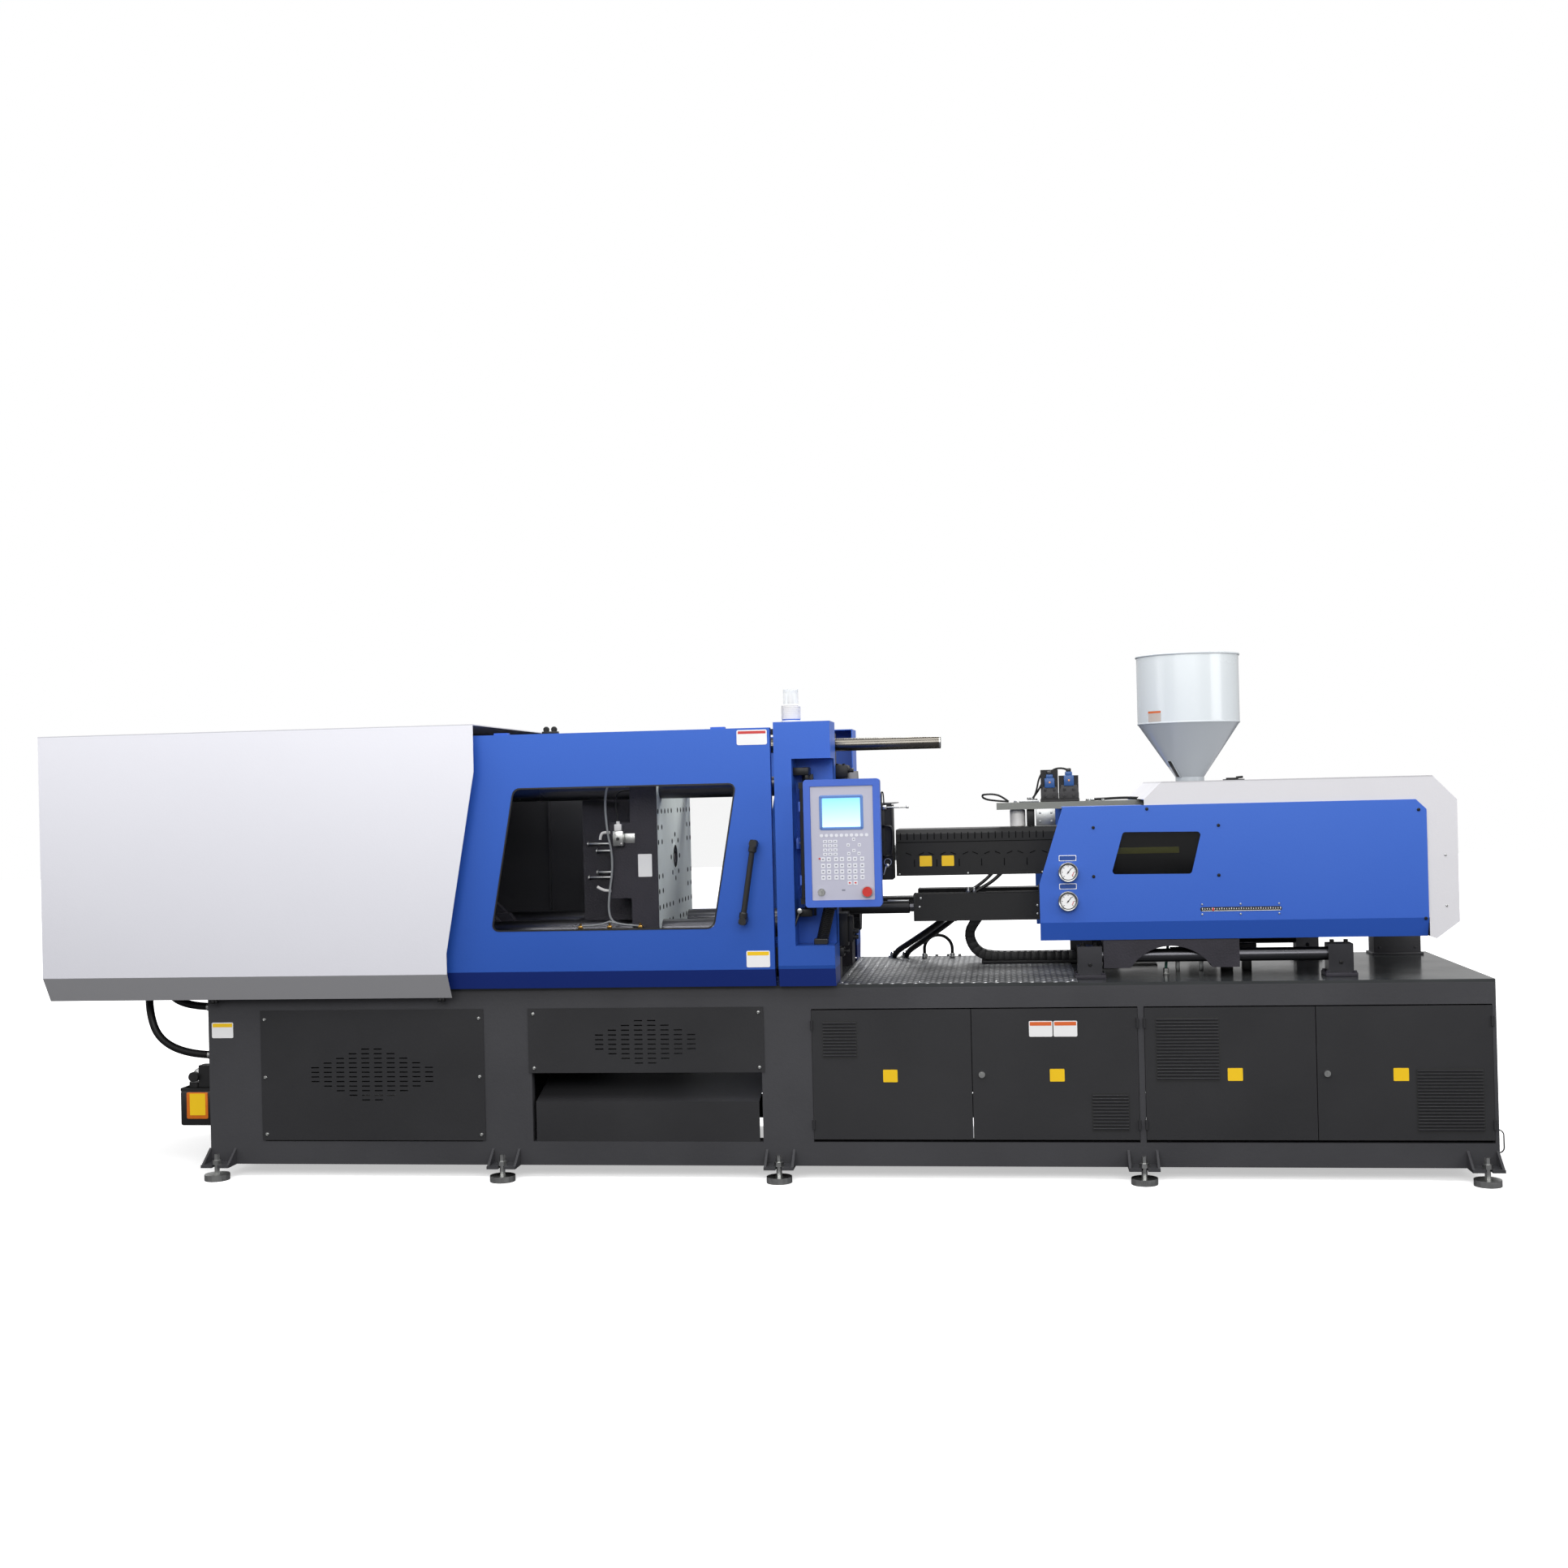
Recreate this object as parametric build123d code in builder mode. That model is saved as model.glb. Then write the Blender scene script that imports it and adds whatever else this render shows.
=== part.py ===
from build123d import *
import os
from math import acos, atan2, cos, degrees, hypot, radians, sin, sqrt, tan

# Toggle-clamp injection moulding machine, in millimetres.
# +X runs from the clamp end to the injection end, -Y faces the operator, +Z is up.
# The origin is the middle of the machine's outline on the floor.

# Base
base_left = -2360
base_length = 5420
base_width = 1160
foot_height = 55
beam_height = 100
beam_width = 90
deck_height = 813
rim_height = 100
deck_thickness = 12
sheet = 4
post_thickness = 40

# Clamp unit
axis_rise = 532
axis_z = deck_height + axis_rise
fixed_face_x = 190
fixed_thickness = 220
platen_size = 800
platen_corner = 60
tie_spacing = 615
tie_diameter = 85
mould_height = 560
moving_thickness = 120
moving_back = 90
ear_reach = 260
link_length = 260
pin_height = 330
pin_diameter = 48
link_end_radius = 38
tail_reach = 120
tail_thickness = 280
tail_wall = 60
opening_stroke = 440
rail_height = 80
rail_width = 80
shoe_gap = 0.3
fit = 0.05
play = 3

# Guards
cover_left = -3060
cover_top_rise = 1132
cover_top = deck_height + cover_top_rise
cover_front = 700
cover_bottom_rise = -32
cover_bottom = deck_height + cover_bottom_rise
cover_bevel = 106
cover_right_top = -1095
cover_right_low = -1232
door_face = 640
door_thickness = 40
door_left = -1250
door_right = 165
door_top_rise = 1085
door_top = deck_height + door_top_rise
column_left = 180
column_width = 238
column_top_rise = 1106
column_top = deck_height + column_top_rise

# Injection unit
barrel_radius = 60
screw_radius = 27.5
barrel_front = 651
throat_x = 1945
housing_front = 1840
housing_length = 210
carriage_travel = 350
dosing_stroke = 200
guide_y = 400
guide_rise = 92
guide_z = deck_height + guide_rise
guide_radius = 28
unit_front = 480
unit_left = 1268
unit_right = 2835
unit_top_rise = 723
unit_top = deck_height + unit_top_rise
unit_bottom_rise = 163
unit_bottom = deck_height + unit_bottom_rise
hopper_radius = 220
hopper_rim_rise = 1370
hopper_rim = deck_height + hopper_rim_rise
hopper_seam_rise = 1074
hopper_seam = deck_height + hopper_seam_rise
hopper_neck = 62

# Values worked out from the driving sizes
half = base_width / 2
base_right = base_left + base_length
beam_top = foot_height + beam_height
rim_bottom = deck_height - rim_height
moving_face_x = fixed_face_x - mould_height
moving_wall_x = moving_face_x - moving_thickness - moving_back
platen_pin_x = moving_wall_x - ear_reach
tail_pin_x = platen_pin_x - 2 * link_length
tail_front_x = tail_pin_x - tail_reach
tail_back_x = tail_front_x - tail_thickness
fixed_back_x = fixed_face_x + fixed_thickness
rail_top = deck_height + rail_height
platen_half = platen_size / 2
tie_radius = tie_diameter / 2
pin_radius = pin_diameter / 2
fold = acos((2 * link_length - opening_stroke) / (2 * link_length))
column_right = column_left + column_width

os.makedirs("parts", exist_ok=True)


def save(piece, name):
    """Label a finished piece and write it as one STEP file."""
    piece.part.label = name
    export_step(piece.part, f"parts/{name}.step")


def block(x, y, z, mode=Mode.ADD):
    """Box between pairs of coordinates, in the part being built."""
    with Locations(((x[0] + x[1]) / 2, (y[0] + y[1]) / 2, (z[0] + z[1]) / 2)):
        Box(abs(x[1] - x[0]), abs(y[1] - y[0]), abs(z[1] - z[0]), mode=mode)


def across(y):
    """Upright plane seen from the operator's side, at a distance in front of the axis."""
    return Plane.XZ.offset(y)


def along(x):
    """Upright plane across the machine at a station on its length."""
    return Plane.YZ.offset(x)


# Base: welded skid, corner posts, bulkheads and end walls
post_stations = [
    (base_left, -2107),
    (-1126, -905),
    (91, 305),
    (1651, 1676),
    (base_right - 15, base_right),
]
vent_bay, drop_bay, left_cabinet, right_cabinet = [
    (left[1], right[0]) for left, right in zip(post_stations, post_stations[1:])
]
foot_stations = [base_left + 56, -1025, 163, 1659, base_right - 65]
bracket_width = 125
bracket_reach = 90
bracket_plate = 12
gusset_height = 70
gusset_thickness = 10
screw_slot = 13
screw_reach = 63

with BuildPart() as base_frame:
    with BuildSketch(Plane.XY.offset(foot_height)):
        with Locations(((base_left + base_right) / 2, 0)):
            Rectangle(base_length, base_width)
            Rectangle(base_length - 2 * beam_width, base_width - 2 * beam_width, mode=Mode.SUBTRACT)
        for low, high in post_stations[1:4]:
            with Locations(((low + high) / 2, 0)):
                Rectangle(beam_width, base_width - beam_width)
    extrude(amount=beam_height)
    with BuildSketch(Plane.XY.offset(rim_bottom)):
        with Locations(((base_left + base_right) / 2, 0)):
            Rectangle(base_length, base_width)
            Rectangle(base_length - 2 * beam_width, base_width - 2 * beam_width, mode=Mode.SUBTRACT)
    extrude(amount=rim_height - deck_thickness)
    with BuildSketch(Plane.XY.offset(beam_top)):
        for low, high in post_stations:
            for side in (-1, 1):
                with Locations(((low + high) / 2, side * (half - post_thickness / 2))):
                    Rectangle(high - low, post_thickness)
            if low > base_left and high < base_right:
                with Locations(((low + high) / 2, 0)):
                    Rectangle(sheet, base_width - 2 * post_thickness)
        for end in (base_left + sheet / 2, base_right - sheet / 2):
            with Locations((end, 0)):
                Rectangle(sheet, base_width)
    extrude(amount=rim_bottom - beam_top)
    with BuildSketch(Plane.XY.offset(foot_height)) as bracket_plates:
        for station in foot_stations:
            for side in (-1, 1):
                with Locations((station, side * (half + bracket_reach / 2))):
                    Rectangle(bracket_width, bracket_reach)
                with Locations((station, side * (half + screw_reach + bracket_reach / 2))):
                    Rectangle(2 * screw_slot, 2 * screw_slot + bracket_reach, mode=Mode.SUBTRACT)
    extrude(amount=bracket_plate)
    for station in foot_stations:
        for edge in (-bracket_width / 2, bracket_width / 2 - gusset_thickness):
            with BuildSketch(along(station + edge)):
                for side in (-1, 1):
                    with BuildLine():
                        Polyline(
                            (side * half, foot_height + bracket_plate),
                            (side * (half + bracket_reach - 9), foot_height + bracket_plate),
                            (side * half, foot_height + gusset_height),
                            close=True,
                        )
                    make_face()
            extrude(amount=gusset_thickness)
save(base_frame, "base_frame")

# Levelling feet: round pads on threaded stems with a nut on each bracket
pad_radius = 54
pad_sides = 16
pad_height = 26
stem_radius = screw_slot - 1
stem_over = 45
nut_across = 20
foot_nut_height = 18
with BuildPart() as levelling_feet:
    for station in foot_stations:
        for side in (-1, 1):
            centre = (station, side * (half + screw_reach))
            with BuildSketch(Plane.XY):
                with Locations(centre):
                    RegularPolygon(pad_radius, pad_sides)
            extrude(amount=pad_height)
            with BuildSketch(Plane.XY.offset(pad_height)):
                with Locations(centre):
                    RegularPolygon(stem_radius, 6)
            extrude(amount=foot_height + bracket_plate + stem_over - pad_height)
            with BuildSketch(Plane.XY.offset(foot_height + bracket_plate)):
                with Locations(centre):
                    RegularPolygon(nut_across, 6)
            extrude(amount=foot_nut_height)
save(levelling_feet, "levelling_feet")

# Deck: flooring plate with the drop opening, two hardened rails and the raised tread plate
drop_left = -560
drop_right = 150
drop_half = 220
rail_y = 360
rail_over = 90
rail_gap = 60
rail_left = tail_back_x - rail_over
tread_left = 418
tread_right = 1412
tread_thickness = 4
with BuildPart() as deck:
    with BuildSketch(Plane.XY.offset(deck_height - deck_thickness)):
        with Locations(((base_left + base_right) / 2, 0)):
            Rectangle(base_length, base_width)
        with Locations(((drop_left + drop_right) / 2, 0)):
            Rectangle(drop_right - drop_left, 2 * drop_half, mode=Mode.SUBTRACT)
    extrude(amount=deck_thickness)
    for side in (-1, 1):
        block((rail_left, fixed_face_x - rail_gap), (side * (rail_y - rail_width / 2), side * (rail_y + rail_width / 2)),
              (deck_height, rail_top))
    block((tread_left, tread_right), (-half, half), (deck_height, deck_height + tread_thickness))
save(deck, "deck")

# Base front: vent panel, discharge panel, chute and rear panels
lap = 12
panel_gap = 5
panel_low = beam_top + panel_gap
panel_high = rim_bottom + lap
discharge_high = 449
slot_pitch_x = 57
slot_pitch_z = 20
slot_length = 36
slot_height = 5
vent_height = 445
drop_vent_height = 580


def slot_field(centre_x, centre_z, counts):
    """Columns of level slots whose count follows a rounded outline, cut from the sketch being drawn."""
    for column, count in enumerate(counts):
        place = centre_x + (column - (len(counts) - 1) / 2) * slot_pitch_x
        with Locations((place, centre_z)):
            with GridLocations(slot_pitch_x, slot_pitch_z, 1, count):
                Rectangle(slot_length, slot_height, mode=Mode.SUBTRACT)


with BuildPart() as vent_panel:
    with BuildSketch(across(half)):
        with Locations(((vent_bay[0] + vent_bay[1]) / 2, (panel_low + panel_high) / 2)):
            Rectangle(vent_bay[1] - vent_bay[0] + 2 * lap, panel_high - panel_low)
        slot_field((vent_bay[0] + vent_bay[1]) / 2, vent_height, (4, 6, 8, 10, 12, 12, 10, 8, 6, 4))
    extrude(amount=sheet)
save(vent_panel, "vent_panel")

with BuildPart() as discharge_panel:
    with BuildSketch(across(half)):
        with Locations(((drop_bay[0] + drop_bay[1]) / 2, (discharge_high + panel_high) / 2)):
            Rectangle(drop_bay[1] - drop_bay[0] + 2 * lap, panel_high - discharge_high)
        slot_field((drop_bay[0] + drop_bay[1]) / 2, drop_vent_height, (4, 6, 8, 10, 10, 8, 6, 4))
    extrude(amount=sheet)
save(discharge_panel, "discharge_panel")

chute_lip = 325
chute_back = 600
chute_depth = 870
chute_inset = 15
with BuildPart() as discharge_chute:
    with BuildSketch(along(drop_bay[0] + chute_inset)):
        with BuildLine():
            Polyline(
                (-half + sheet, beam_top),
                (-half + 2 * sheet, beam_top),
                (-half + 2 * sheet, chute_lip - sheet),
                (chute_depth - half, chute_back - sheet),
                (chute_depth - half, chute_back),
                (-half + sheet, chute_lip),
                close=True,
            )
        make_face()
    extrude(amount=drop_bay[1] - drop_bay[0] - 2 * chute_inset)
save(discharge_chute, "discharge_chute")

with BuildPart() as rear_panels:
    for low, high in (vent_bay, drop_bay, left_cabinet, right_cabinet):
        block((low - lap, high + lap), (half, half + sheet), (panel_low, panel_high))
save(rear_panels, "rear_panels")

# Cabinet doors: folded pans on two hinge knuckles each, in two pairs
door_gap = 3
pan_depth = 18
pan_skin = 3
knuckle_radius = 6
door_seat = 0.3
door_low = beam_top + 12
door_high = rim_bottom - 5
left_shift = 6.5
right_shift = 2
left_split = (left_cabinet[0] + left_cabinet[1]) / 2 - left_shift
right_split = (right_cabinet[0] + right_cabinet[1]) / 2 - right_shift
knuckle_inset = 62
knuckle_length = 40
louvre_count = 5
louvre_height = 8
cabinet_doors = [
    ("cabinet_door_1", left_cabinet[0], left_split, -1, (48, 140, 510, 659)),
    ("cabinet_door_2", left_split, left_cabinet[1], 1, (490, 145, 205, 355)),
    ("cabinet_door_3", right_cabinet[0], right_split, -1, (48, 249, 410, 665)),
    ("cabinet_door_4", right_split, right_cabinet[1], 1, (390, 254, 202, 452)),
]
for name, low, high, hinge_side, (louvre_inset, louvre_width, louvre_low, louvre_high) in cabinet_doors:
    left = low + door_gap / 2
    right = high - door_gap / 2
    hinge_x = left if hinge_side < 0 else right
    with BuildPart() as cabinet_door:
        block((left, right), (-half - pan_skin, -half - pan_skin + pan_depth), (door_low, door_high))
        block((left + pan_skin, right - pan_skin), (-half, -half + pan_depth),
              (door_low + pan_skin, door_high - pan_skin), mode=Mode.SUBTRACT)
        with BuildSketch(across(half + pan_skin)):
            with Locations((low + louvre_inset + louvre_width / 2, (louvre_low + louvre_high) / 2)):
                with GridLocations(0, (louvre_high - louvre_low) / louvre_count, 1, louvre_count):
                    Rectangle(louvre_width, louvre_height)
        extrude(amount=-pan_skin, mode=Mode.SUBTRACT)
        for height in (door_low + knuckle_inset, door_high - knuckle_inset):
            with BuildSketch(Plane.XY.offset(height - knuckle_length / 2)):
                with Locations((hinge_x, -half - knuckle_radius - door_seat)):
                    RegularPolygon(knuckle_radius, 8)
            extrude(amount=knuckle_length)
    save(cabinet_door, name)

lock_radius = 13
lock_height = 437
lock_inset = 40
lock_depth = 9
grip_depth = 3
for name, centre_x in (("cabinet_lock_1", left_split + lock_inset), ("cabinet_lock_2", right_split + lock_inset)):
    with BuildPart() as cabinet_lock:
        with BuildSketch(across(half + pan_skin + door_seat)):
            with Locations((centre_x, lock_height)):
                Circle(lock_radius)
        extrude(amount=lock_depth)
        with BuildSketch(across(half + pan_skin + door_seat + lock_depth)):
            with Locations((centre_x, lock_height)):
                Rectangle(grip_depth, 16)
        extrude(amount=grip_depth)
    save(cabinet_lock, name)

# Fixed platen: mould face, tie bar bores, locating bore for mould and nozzle, and feet
locating_radius = 80
bolt_radius = 10
bolt_depth = 40
bolt_span_y = 420
bolt_span_z = 280
foot_inner = 250
foot_lap = 80
foot_rise = axis_z - platen_half - deck_height + foot_lap
safety_wall = 50
rod_y = 200
rod_rise = 296
rod_z = deck_height + rod_rise
rod_radius = 20
guard_pin_y = 260
guard_pin_rise = 754
guard_pin_z = deck_height + guard_pin_rise
guard_pin_radius = 8
lug_radius = 20
lug_length = 40
safety_y = 350
safety_rise = 1012
safety_z = deck_height + safety_rise
safety_radius = 27.5
safety_rise = safety_z + safety_wall - axis_z - platen_half + foot_lap
with BuildPart() as fixed_platen:
    with BuildSketch(along(fixed_face_x)):
        with Locations((0, axis_z)):
            RectangleRounded(platen_size, platen_size, platen_corner)
        for side in (-1, 1):
            with Locations((side * (foot_inner + platen_half) / 2, deck_height + foot_rise / 2)):
                Rectangle(platen_half - foot_inner, foot_rise)
        with Locations((-safety_y, safety_z + safety_wall - safety_rise / 2)):
            Rectangle(2 * safety_wall, safety_rise)
        with Locations((0, axis_z)):
            with GridLocations(tie_spacing, tie_spacing, 2, 2):
                Circle(tie_radius + fit, mode=Mode.SUBTRACT)
            Circle(locating_radius, mode=Mode.SUBTRACT)
        with Locations((-safety_y, safety_z)):
            Circle(safety_radius + 1, mode=Mode.SUBTRACT)
    extrude(amount=fixed_thickness)
    with BuildSketch(along(fixed_face_x)):
        with Locations((0, axis_z)):
            with GridLocations(bolt_span_y, bolt_span_z, 2, 2):
                Circle(bolt_radius)
    extrude(amount=bolt_depth, mode=Mode.SUBTRACT)
    with BuildSketch(along(fixed_back_x)):
        with Locations((guard_pin_y, guard_pin_z)):
            Circle(lug_radius)
        with Locations((guard_pin_y, guard_pin_z - lug_radius)):
            Rectangle(2 * lug_radius, 2 * lug_radius)
        with Locations((guard_pin_y, guard_pin_z)):
            Circle(guard_pin_radius + fit, mode=Mode.SUBTRACT)
    extrude(amount=lug_length)
save(fixed_platen, "fixed_platen")

# Tie bars: plain bars with a hexagonal head behind the fixed platen
tie_over = 130
tie_end_x = tail_back_x - tie_over
head_radius = 74
head_length = 40
with BuildPart() as tie_bars:
    with BuildSketch(along(tie_end_x)):
        with Locations((0, axis_z)):
            with GridLocations(tie_spacing, tie_spacing, 2, 2):
                Circle(tie_radius)
    extrude(amount=fixed_back_x - tie_end_x)
    with BuildSketch(along(fixed_back_x)):
        with Locations((0, axis_z)):
            with GridLocations(tie_spacing, tie_spacing, 2, 2):
                RegularPolygon(head_radius, 6)
    extrude(amount=head_length)
save(tie_bars, "tie_bars")

# Toggle layout: the planes across the machine that keep links, ears and plates apart
core_half = 88
plate_thickness = 45
rear_inner = core_half + play
rear_outer = rear_inner + plate_thickness
ear_inner = rear_outer + play
ear_outer = ear_inner + plate_thickness
cross_outer = ear_inner + 40
ear_radius = 45
ear_root = 80
knee_x = tail_pin_x + link_length
arm_x = 140
arm_drop = 40
cross_pin_offset = 36
cross_pin_height = 120
cross_pin_radius = 22
cross_end_radius = 28
cross_dx = arm_x + cross_pin_offset
cross_dz = pin_height - arm_drop - cross_pin_height
cross_length = hypot(cross_dx, cross_dz)
open_x = arm_x * cos(fold) - arm_drop * sin(fold)
open_z = pin_height - arm_x * sin(fold) - arm_drop * cos(fold)
cross_reach = sqrt(cross_length**2 - (open_z - cross_pin_height) ** 2)
cross_travel = cross_reach - open_x - cross_pin_offset
slot_play = 0.5
slot_travel = 100
window_y = 190
window_z = 235

# Moving platen: mould plate, back box, slotted ears and sliding shoes
shoe_lap = 40
rib_radius = 20
rib_height = 330
ear_flank = 60


def shoes():
    """Sliding feet that carry a platen on the two rails, in the sketch being drawn."""
    low = rail_top + shoe_gap
    high = axis_z - platen_half + shoe_lap
    for side in (-1, 1):
        with Locations((side * rail_y, (low + high) / 2)):
            Rectangle(rail_width, high - low)


ejector_radius = 25
ejector_stroke = 120
ejector_piston = 30
ejector_length = ejector_stroke + ejector_piston + 40
with BuildPart() as moving_platen:
    with BuildSketch(along(moving_face_x - moving_thickness)):
        with Locations((0, axis_z)):
            RectangleRounded(platen_size, platen_size, platen_corner)
            with GridLocations(tie_spacing, tie_spacing, 2, 2):
                Circle(tie_radius + fit, mode=Mode.SUBTRACT)
        shoes()
    extrude(amount=moving_thickness)
    with BuildSketch(along(moving_wall_x)):
        with Locations((0, axis_z)):
            RectangleRounded(2 * (ear_outer + rib_radius), platen_size, rib_radius)
            Rectangle(platen_size, rib_height)
    extrude(amount=moving_back)
    for side in (-1, 1):
        with BuildSketch(across(ear_outer if side < 0 else -ear_inner)) as ears:
            for up in (-1, 1):
                height = axis_z + up * pin_height
                with BuildLine():
                    Polyline(
                        (platen_pin_x, height - ear_radius),
                        (moving_wall_x, height - (ear_root if up > 0 else ear_flank)),
                        (moving_wall_x, height + (ear_flank if up > 0 else ear_root)),
                        (platen_pin_x, height + ear_radius),
                        close=True,
                    )
                make_face()
                with Locations((platen_pin_x, height)):
                    Circle(ear_radius)
                with Locations((platen_pin_x + slot_travel / 2, height)):
                    SlotCenterToCenter(slot_travel, 2 * (pin_radius + slot_play), mode=Mode.SUBTRACT)
        extrude(amount=-plate_thickness)
    with BuildSketch(along(moving_wall_x)):
        with Locations((0, axis_z)):
            Circle(ejector_radius + fit)
    extrude(amount=moving_back + moving_thickness, mode=Mode.SUBTRACT)
    with BuildSketch(along(moving_face_x - bolt_depth)):
        with Locations((0, axis_z)):
            with GridLocations(bolt_span_y, bolt_span_z, 2, 2):
                Circle(bolt_radius)
    extrude(amount=bolt_depth, mode=Mode.SUBTRACT)
save(moving_platen, "moving_platen")

# Tail stock: plate with a blind recess that takes the crosshead, two ears and shoes
rod_gland = 50
with BuildPart() as tail_stock:
    with BuildSketch(along(tail_back_x)):
        with Locations((0, axis_z)):
            RectangleRounded(platen_size, platen_size, platen_corner)
        shoes()
        with Locations((0, axis_z)):
            with GridLocations(tie_spacing, tie_spacing, 2, 2):
                Circle(tie_radius + fit, mode=Mode.SUBTRACT)
            Circle(rod_gland + play, mode=Mode.SUBTRACT)
    extrude(amount=tail_thickness)
    block((tail_back_x + tail_wall, tail_front_x), (-window_y, window_y), (axis_z - window_z, axis_z + window_z),
          mode=Mode.SUBTRACT)
    with BuildSketch(across(-core_half)):
        for up in (-1, 1):
            height = axis_z + up * pin_height
            with BuildLine():
                Polyline(
                    (tail_pin_x, height - link_end_radius),
                    (tail_front_x, height - ear_flank),
                    (tail_front_x, height + ear_flank),
                    (tail_pin_x, height + link_end_radius),
                    close=True,
                )
            make_face()
            with Locations((tail_pin_x, height)):
                Circle(link_end_radius)
                Circle(pin_radius + fit, mode=Mode.SUBTRACT)
    extrude(amount=2 * core_half)
save(tail_stock, "tail_stock")

nut_radius = 78
nut_length = 80
with BuildPart() as tail_nuts:
    with BuildSketch(along(tail_back_x - nut_length)):
        with Locations((0, axis_z)):
            with GridLocations(tie_spacing, tie_spacing, 2, 2):
                RegularPolygon(nut_radius, 6)
                Circle(tie_radius + fit, mode=Mode.SUBTRACT)
    extrude(amount=nut_length)
save(tail_nuts, "tail_nuts")

# Clamp cylinder on the tail stock, and the crosshead with its piston rod
flange_radius = 165
flange_length = 40
tube_radius = 118
bore_radius = 95
cylinder_lid = 60
cylinder_cap = 40
bore_start = tail_back_x - cylinder_lid
bore_length = 400
piston_length = 60
cross_x = tail_pin_x - cross_pin_offset
with BuildPart() as clamp_cylinder:
    with BuildSketch(Plane.XY):
        with BuildLine():
            Polyline(
                (tail_back_x, rod_gland + fit),
                (tail_back_x, flange_radius),
                (tail_back_x - flange_length, flange_radius),
                (tail_back_x - flange_length, tube_radius),
                (bore_start - bore_length - cylinder_cap, tube_radius),
                (bore_start - bore_length - cylinder_cap, 0),
                (bore_start - bore_length, 0),
                (bore_start - bore_length, bore_radius),
                (bore_start, bore_radius),
                (bore_start, rod_gland + fit),
                close=True,
            )
        make_face()
    revolve(axis=Axis.X)
clamp_cylinder.part.move(Location((0, 0, axis_z)))
save(clamp_cylinder, "clamp_cylinder")

cross_half = 35
cross_width = rear_outer - 4
cross_over = 30
piston_gap = 10
with BuildPart() as crosshead:
    with BuildSketch(across(-cross_width)):
        with Locations((cross_x, axis_z)):
            RectangleRounded(2 * cross_half, 2 * (cross_pin_height + cross_over), 15)
            with GridLocations(0, 2 * cross_pin_height, 1, 2):
                Circle(cross_pin_radius + fit, mode=Mode.SUBTRACT)
    extrude(amount=2 * cross_width)
    with BuildSketch(along(cross_x - cross_half)):
        with Locations((0, axis_z)):
            Circle(rod_gland)
    extrude(amount=-(cross_x - cross_half - bore_start + piston_gap))
    with BuildSketch(along(bore_start - piston_gap)):
        with Locations((0, axis_z)):
            Circle(bore_radius - fit)
    extrude(amount=-piston_length)
save(crosshead, "crosshead")

# Toggle links, upper and lower: rear pair with its two pins, front block, crosshead pair
cross_angle = degrees(atan2(cross_dz, cross_dx))
belly = 34
for name, up in (("upper", 1), ("lower", -1)):
    height = axis_z + up * pin_height
    with BuildPart() as rear_link:
        for start in (-rear_outer, rear_inner):
            with BuildSketch(across(-start)):
                with Locations((tail_pin_x + link_length / 2, height)):
                    SlotCenterToCenter(link_length, 2 * link_end_radius)
                with BuildLine():
                    Polyline(
                        (tail_pin_x + 40, height),
                        (tail_pin_x + arm_x - 30, height - up * (arm_drop + belly)),
                        (tail_pin_x + arm_x + 30, height - up * (arm_drop + belly)),
                        (tail_pin_x + link_length - 30, height),
                        close=True,
                    )
                make_face()
            extrude(amount=-plate_thickness)
        with BuildSketch(across(rear_inner)):
            for place in (tail_pin_x, knee_x):
                with Locations((place, height)):
                    Circle(pin_radius)
        extrude(amount=-2 * rear_inner)
    save(rear_link, f"rear_link_{name}")

    with BuildPart() as front_link:
        with BuildSketch(across(core_half)):
            with Locations(((knee_x + platen_pin_x) / 2, height)):
                SlotCenterToCenter(link_length, 2 * link_end_radius)
            with Locations((knee_x, height)):
                Circle(pin_radius + fit, mode=Mode.SUBTRACT)
        extrude(amount=-2 * core_half)
        with BuildSketch(across(ear_outer)):
            with Locations((platen_pin_x, height)):
                Circle(pin_radius)
        extrude(amount=-2 * ear_outer)
    save(front_link, f"front_link_{name}")

    with BuildPart() as cross_link:
        for start in (-cross_outer, ear_inner):
            with BuildSketch(across(-start)):
                middle = (cross_x + cross_dx / 2, axis_z + up * (cross_pin_height + cross_dz / 2))
                with Locations(Location((*middle, 0), (0, 0, up * cross_angle))):
                    SlotCenterToCenter(cross_length, 2 * cross_end_radius)
            extrude(amount=-(cross_outer - ear_inner))
        with BuildSketch(across(ear_inner)):
            with Locations((cross_x, axis_z + up * cross_pin_height)):
                Circle(cross_pin_radius)
        extrude(amount=-2 * ear_inner)
    save(cross_link, f"crosshead_link_{name}")

# Ejector: cylinder behind the moving platen and its rod through the centre bore
ejector_tube = 70
ejector_bore = 50
ejector_end = moving_wall_x - ejector_length
ejector_flange = 25
ejector_lid = 20
ejector_cap = 15
with BuildPart() as ejector_cylinder:
    for start, length, side in (
        (ejector_end, ejector_length, 2 * ejector_tube),
        (moving_wall_x - ejector_flange, ejector_flange, 2 * (ejector_tube + ejector_flange)),
    ):
        with BuildSketch(along(start)):
            with Locations((0, axis_z)):
                Rectangle(side, side)
        extrude(amount=length)
    with BuildSketch(along(ejector_end + ejector_cap)):
        with Locations((0, axis_z)):
            Circle(ejector_bore)
    extrude(amount=ejector_length - ejector_cap - ejector_lid, mode=Mode.SUBTRACT)
    with BuildSketch(along(moving_wall_x)):
        with Locations((0, axis_z)):
            Circle(ejector_radius + fit)
    extrude(amount=-ejector_lid, mode=Mode.SUBTRACT)
save(ejector_cylinder, "ejector_cylinder")

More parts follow.
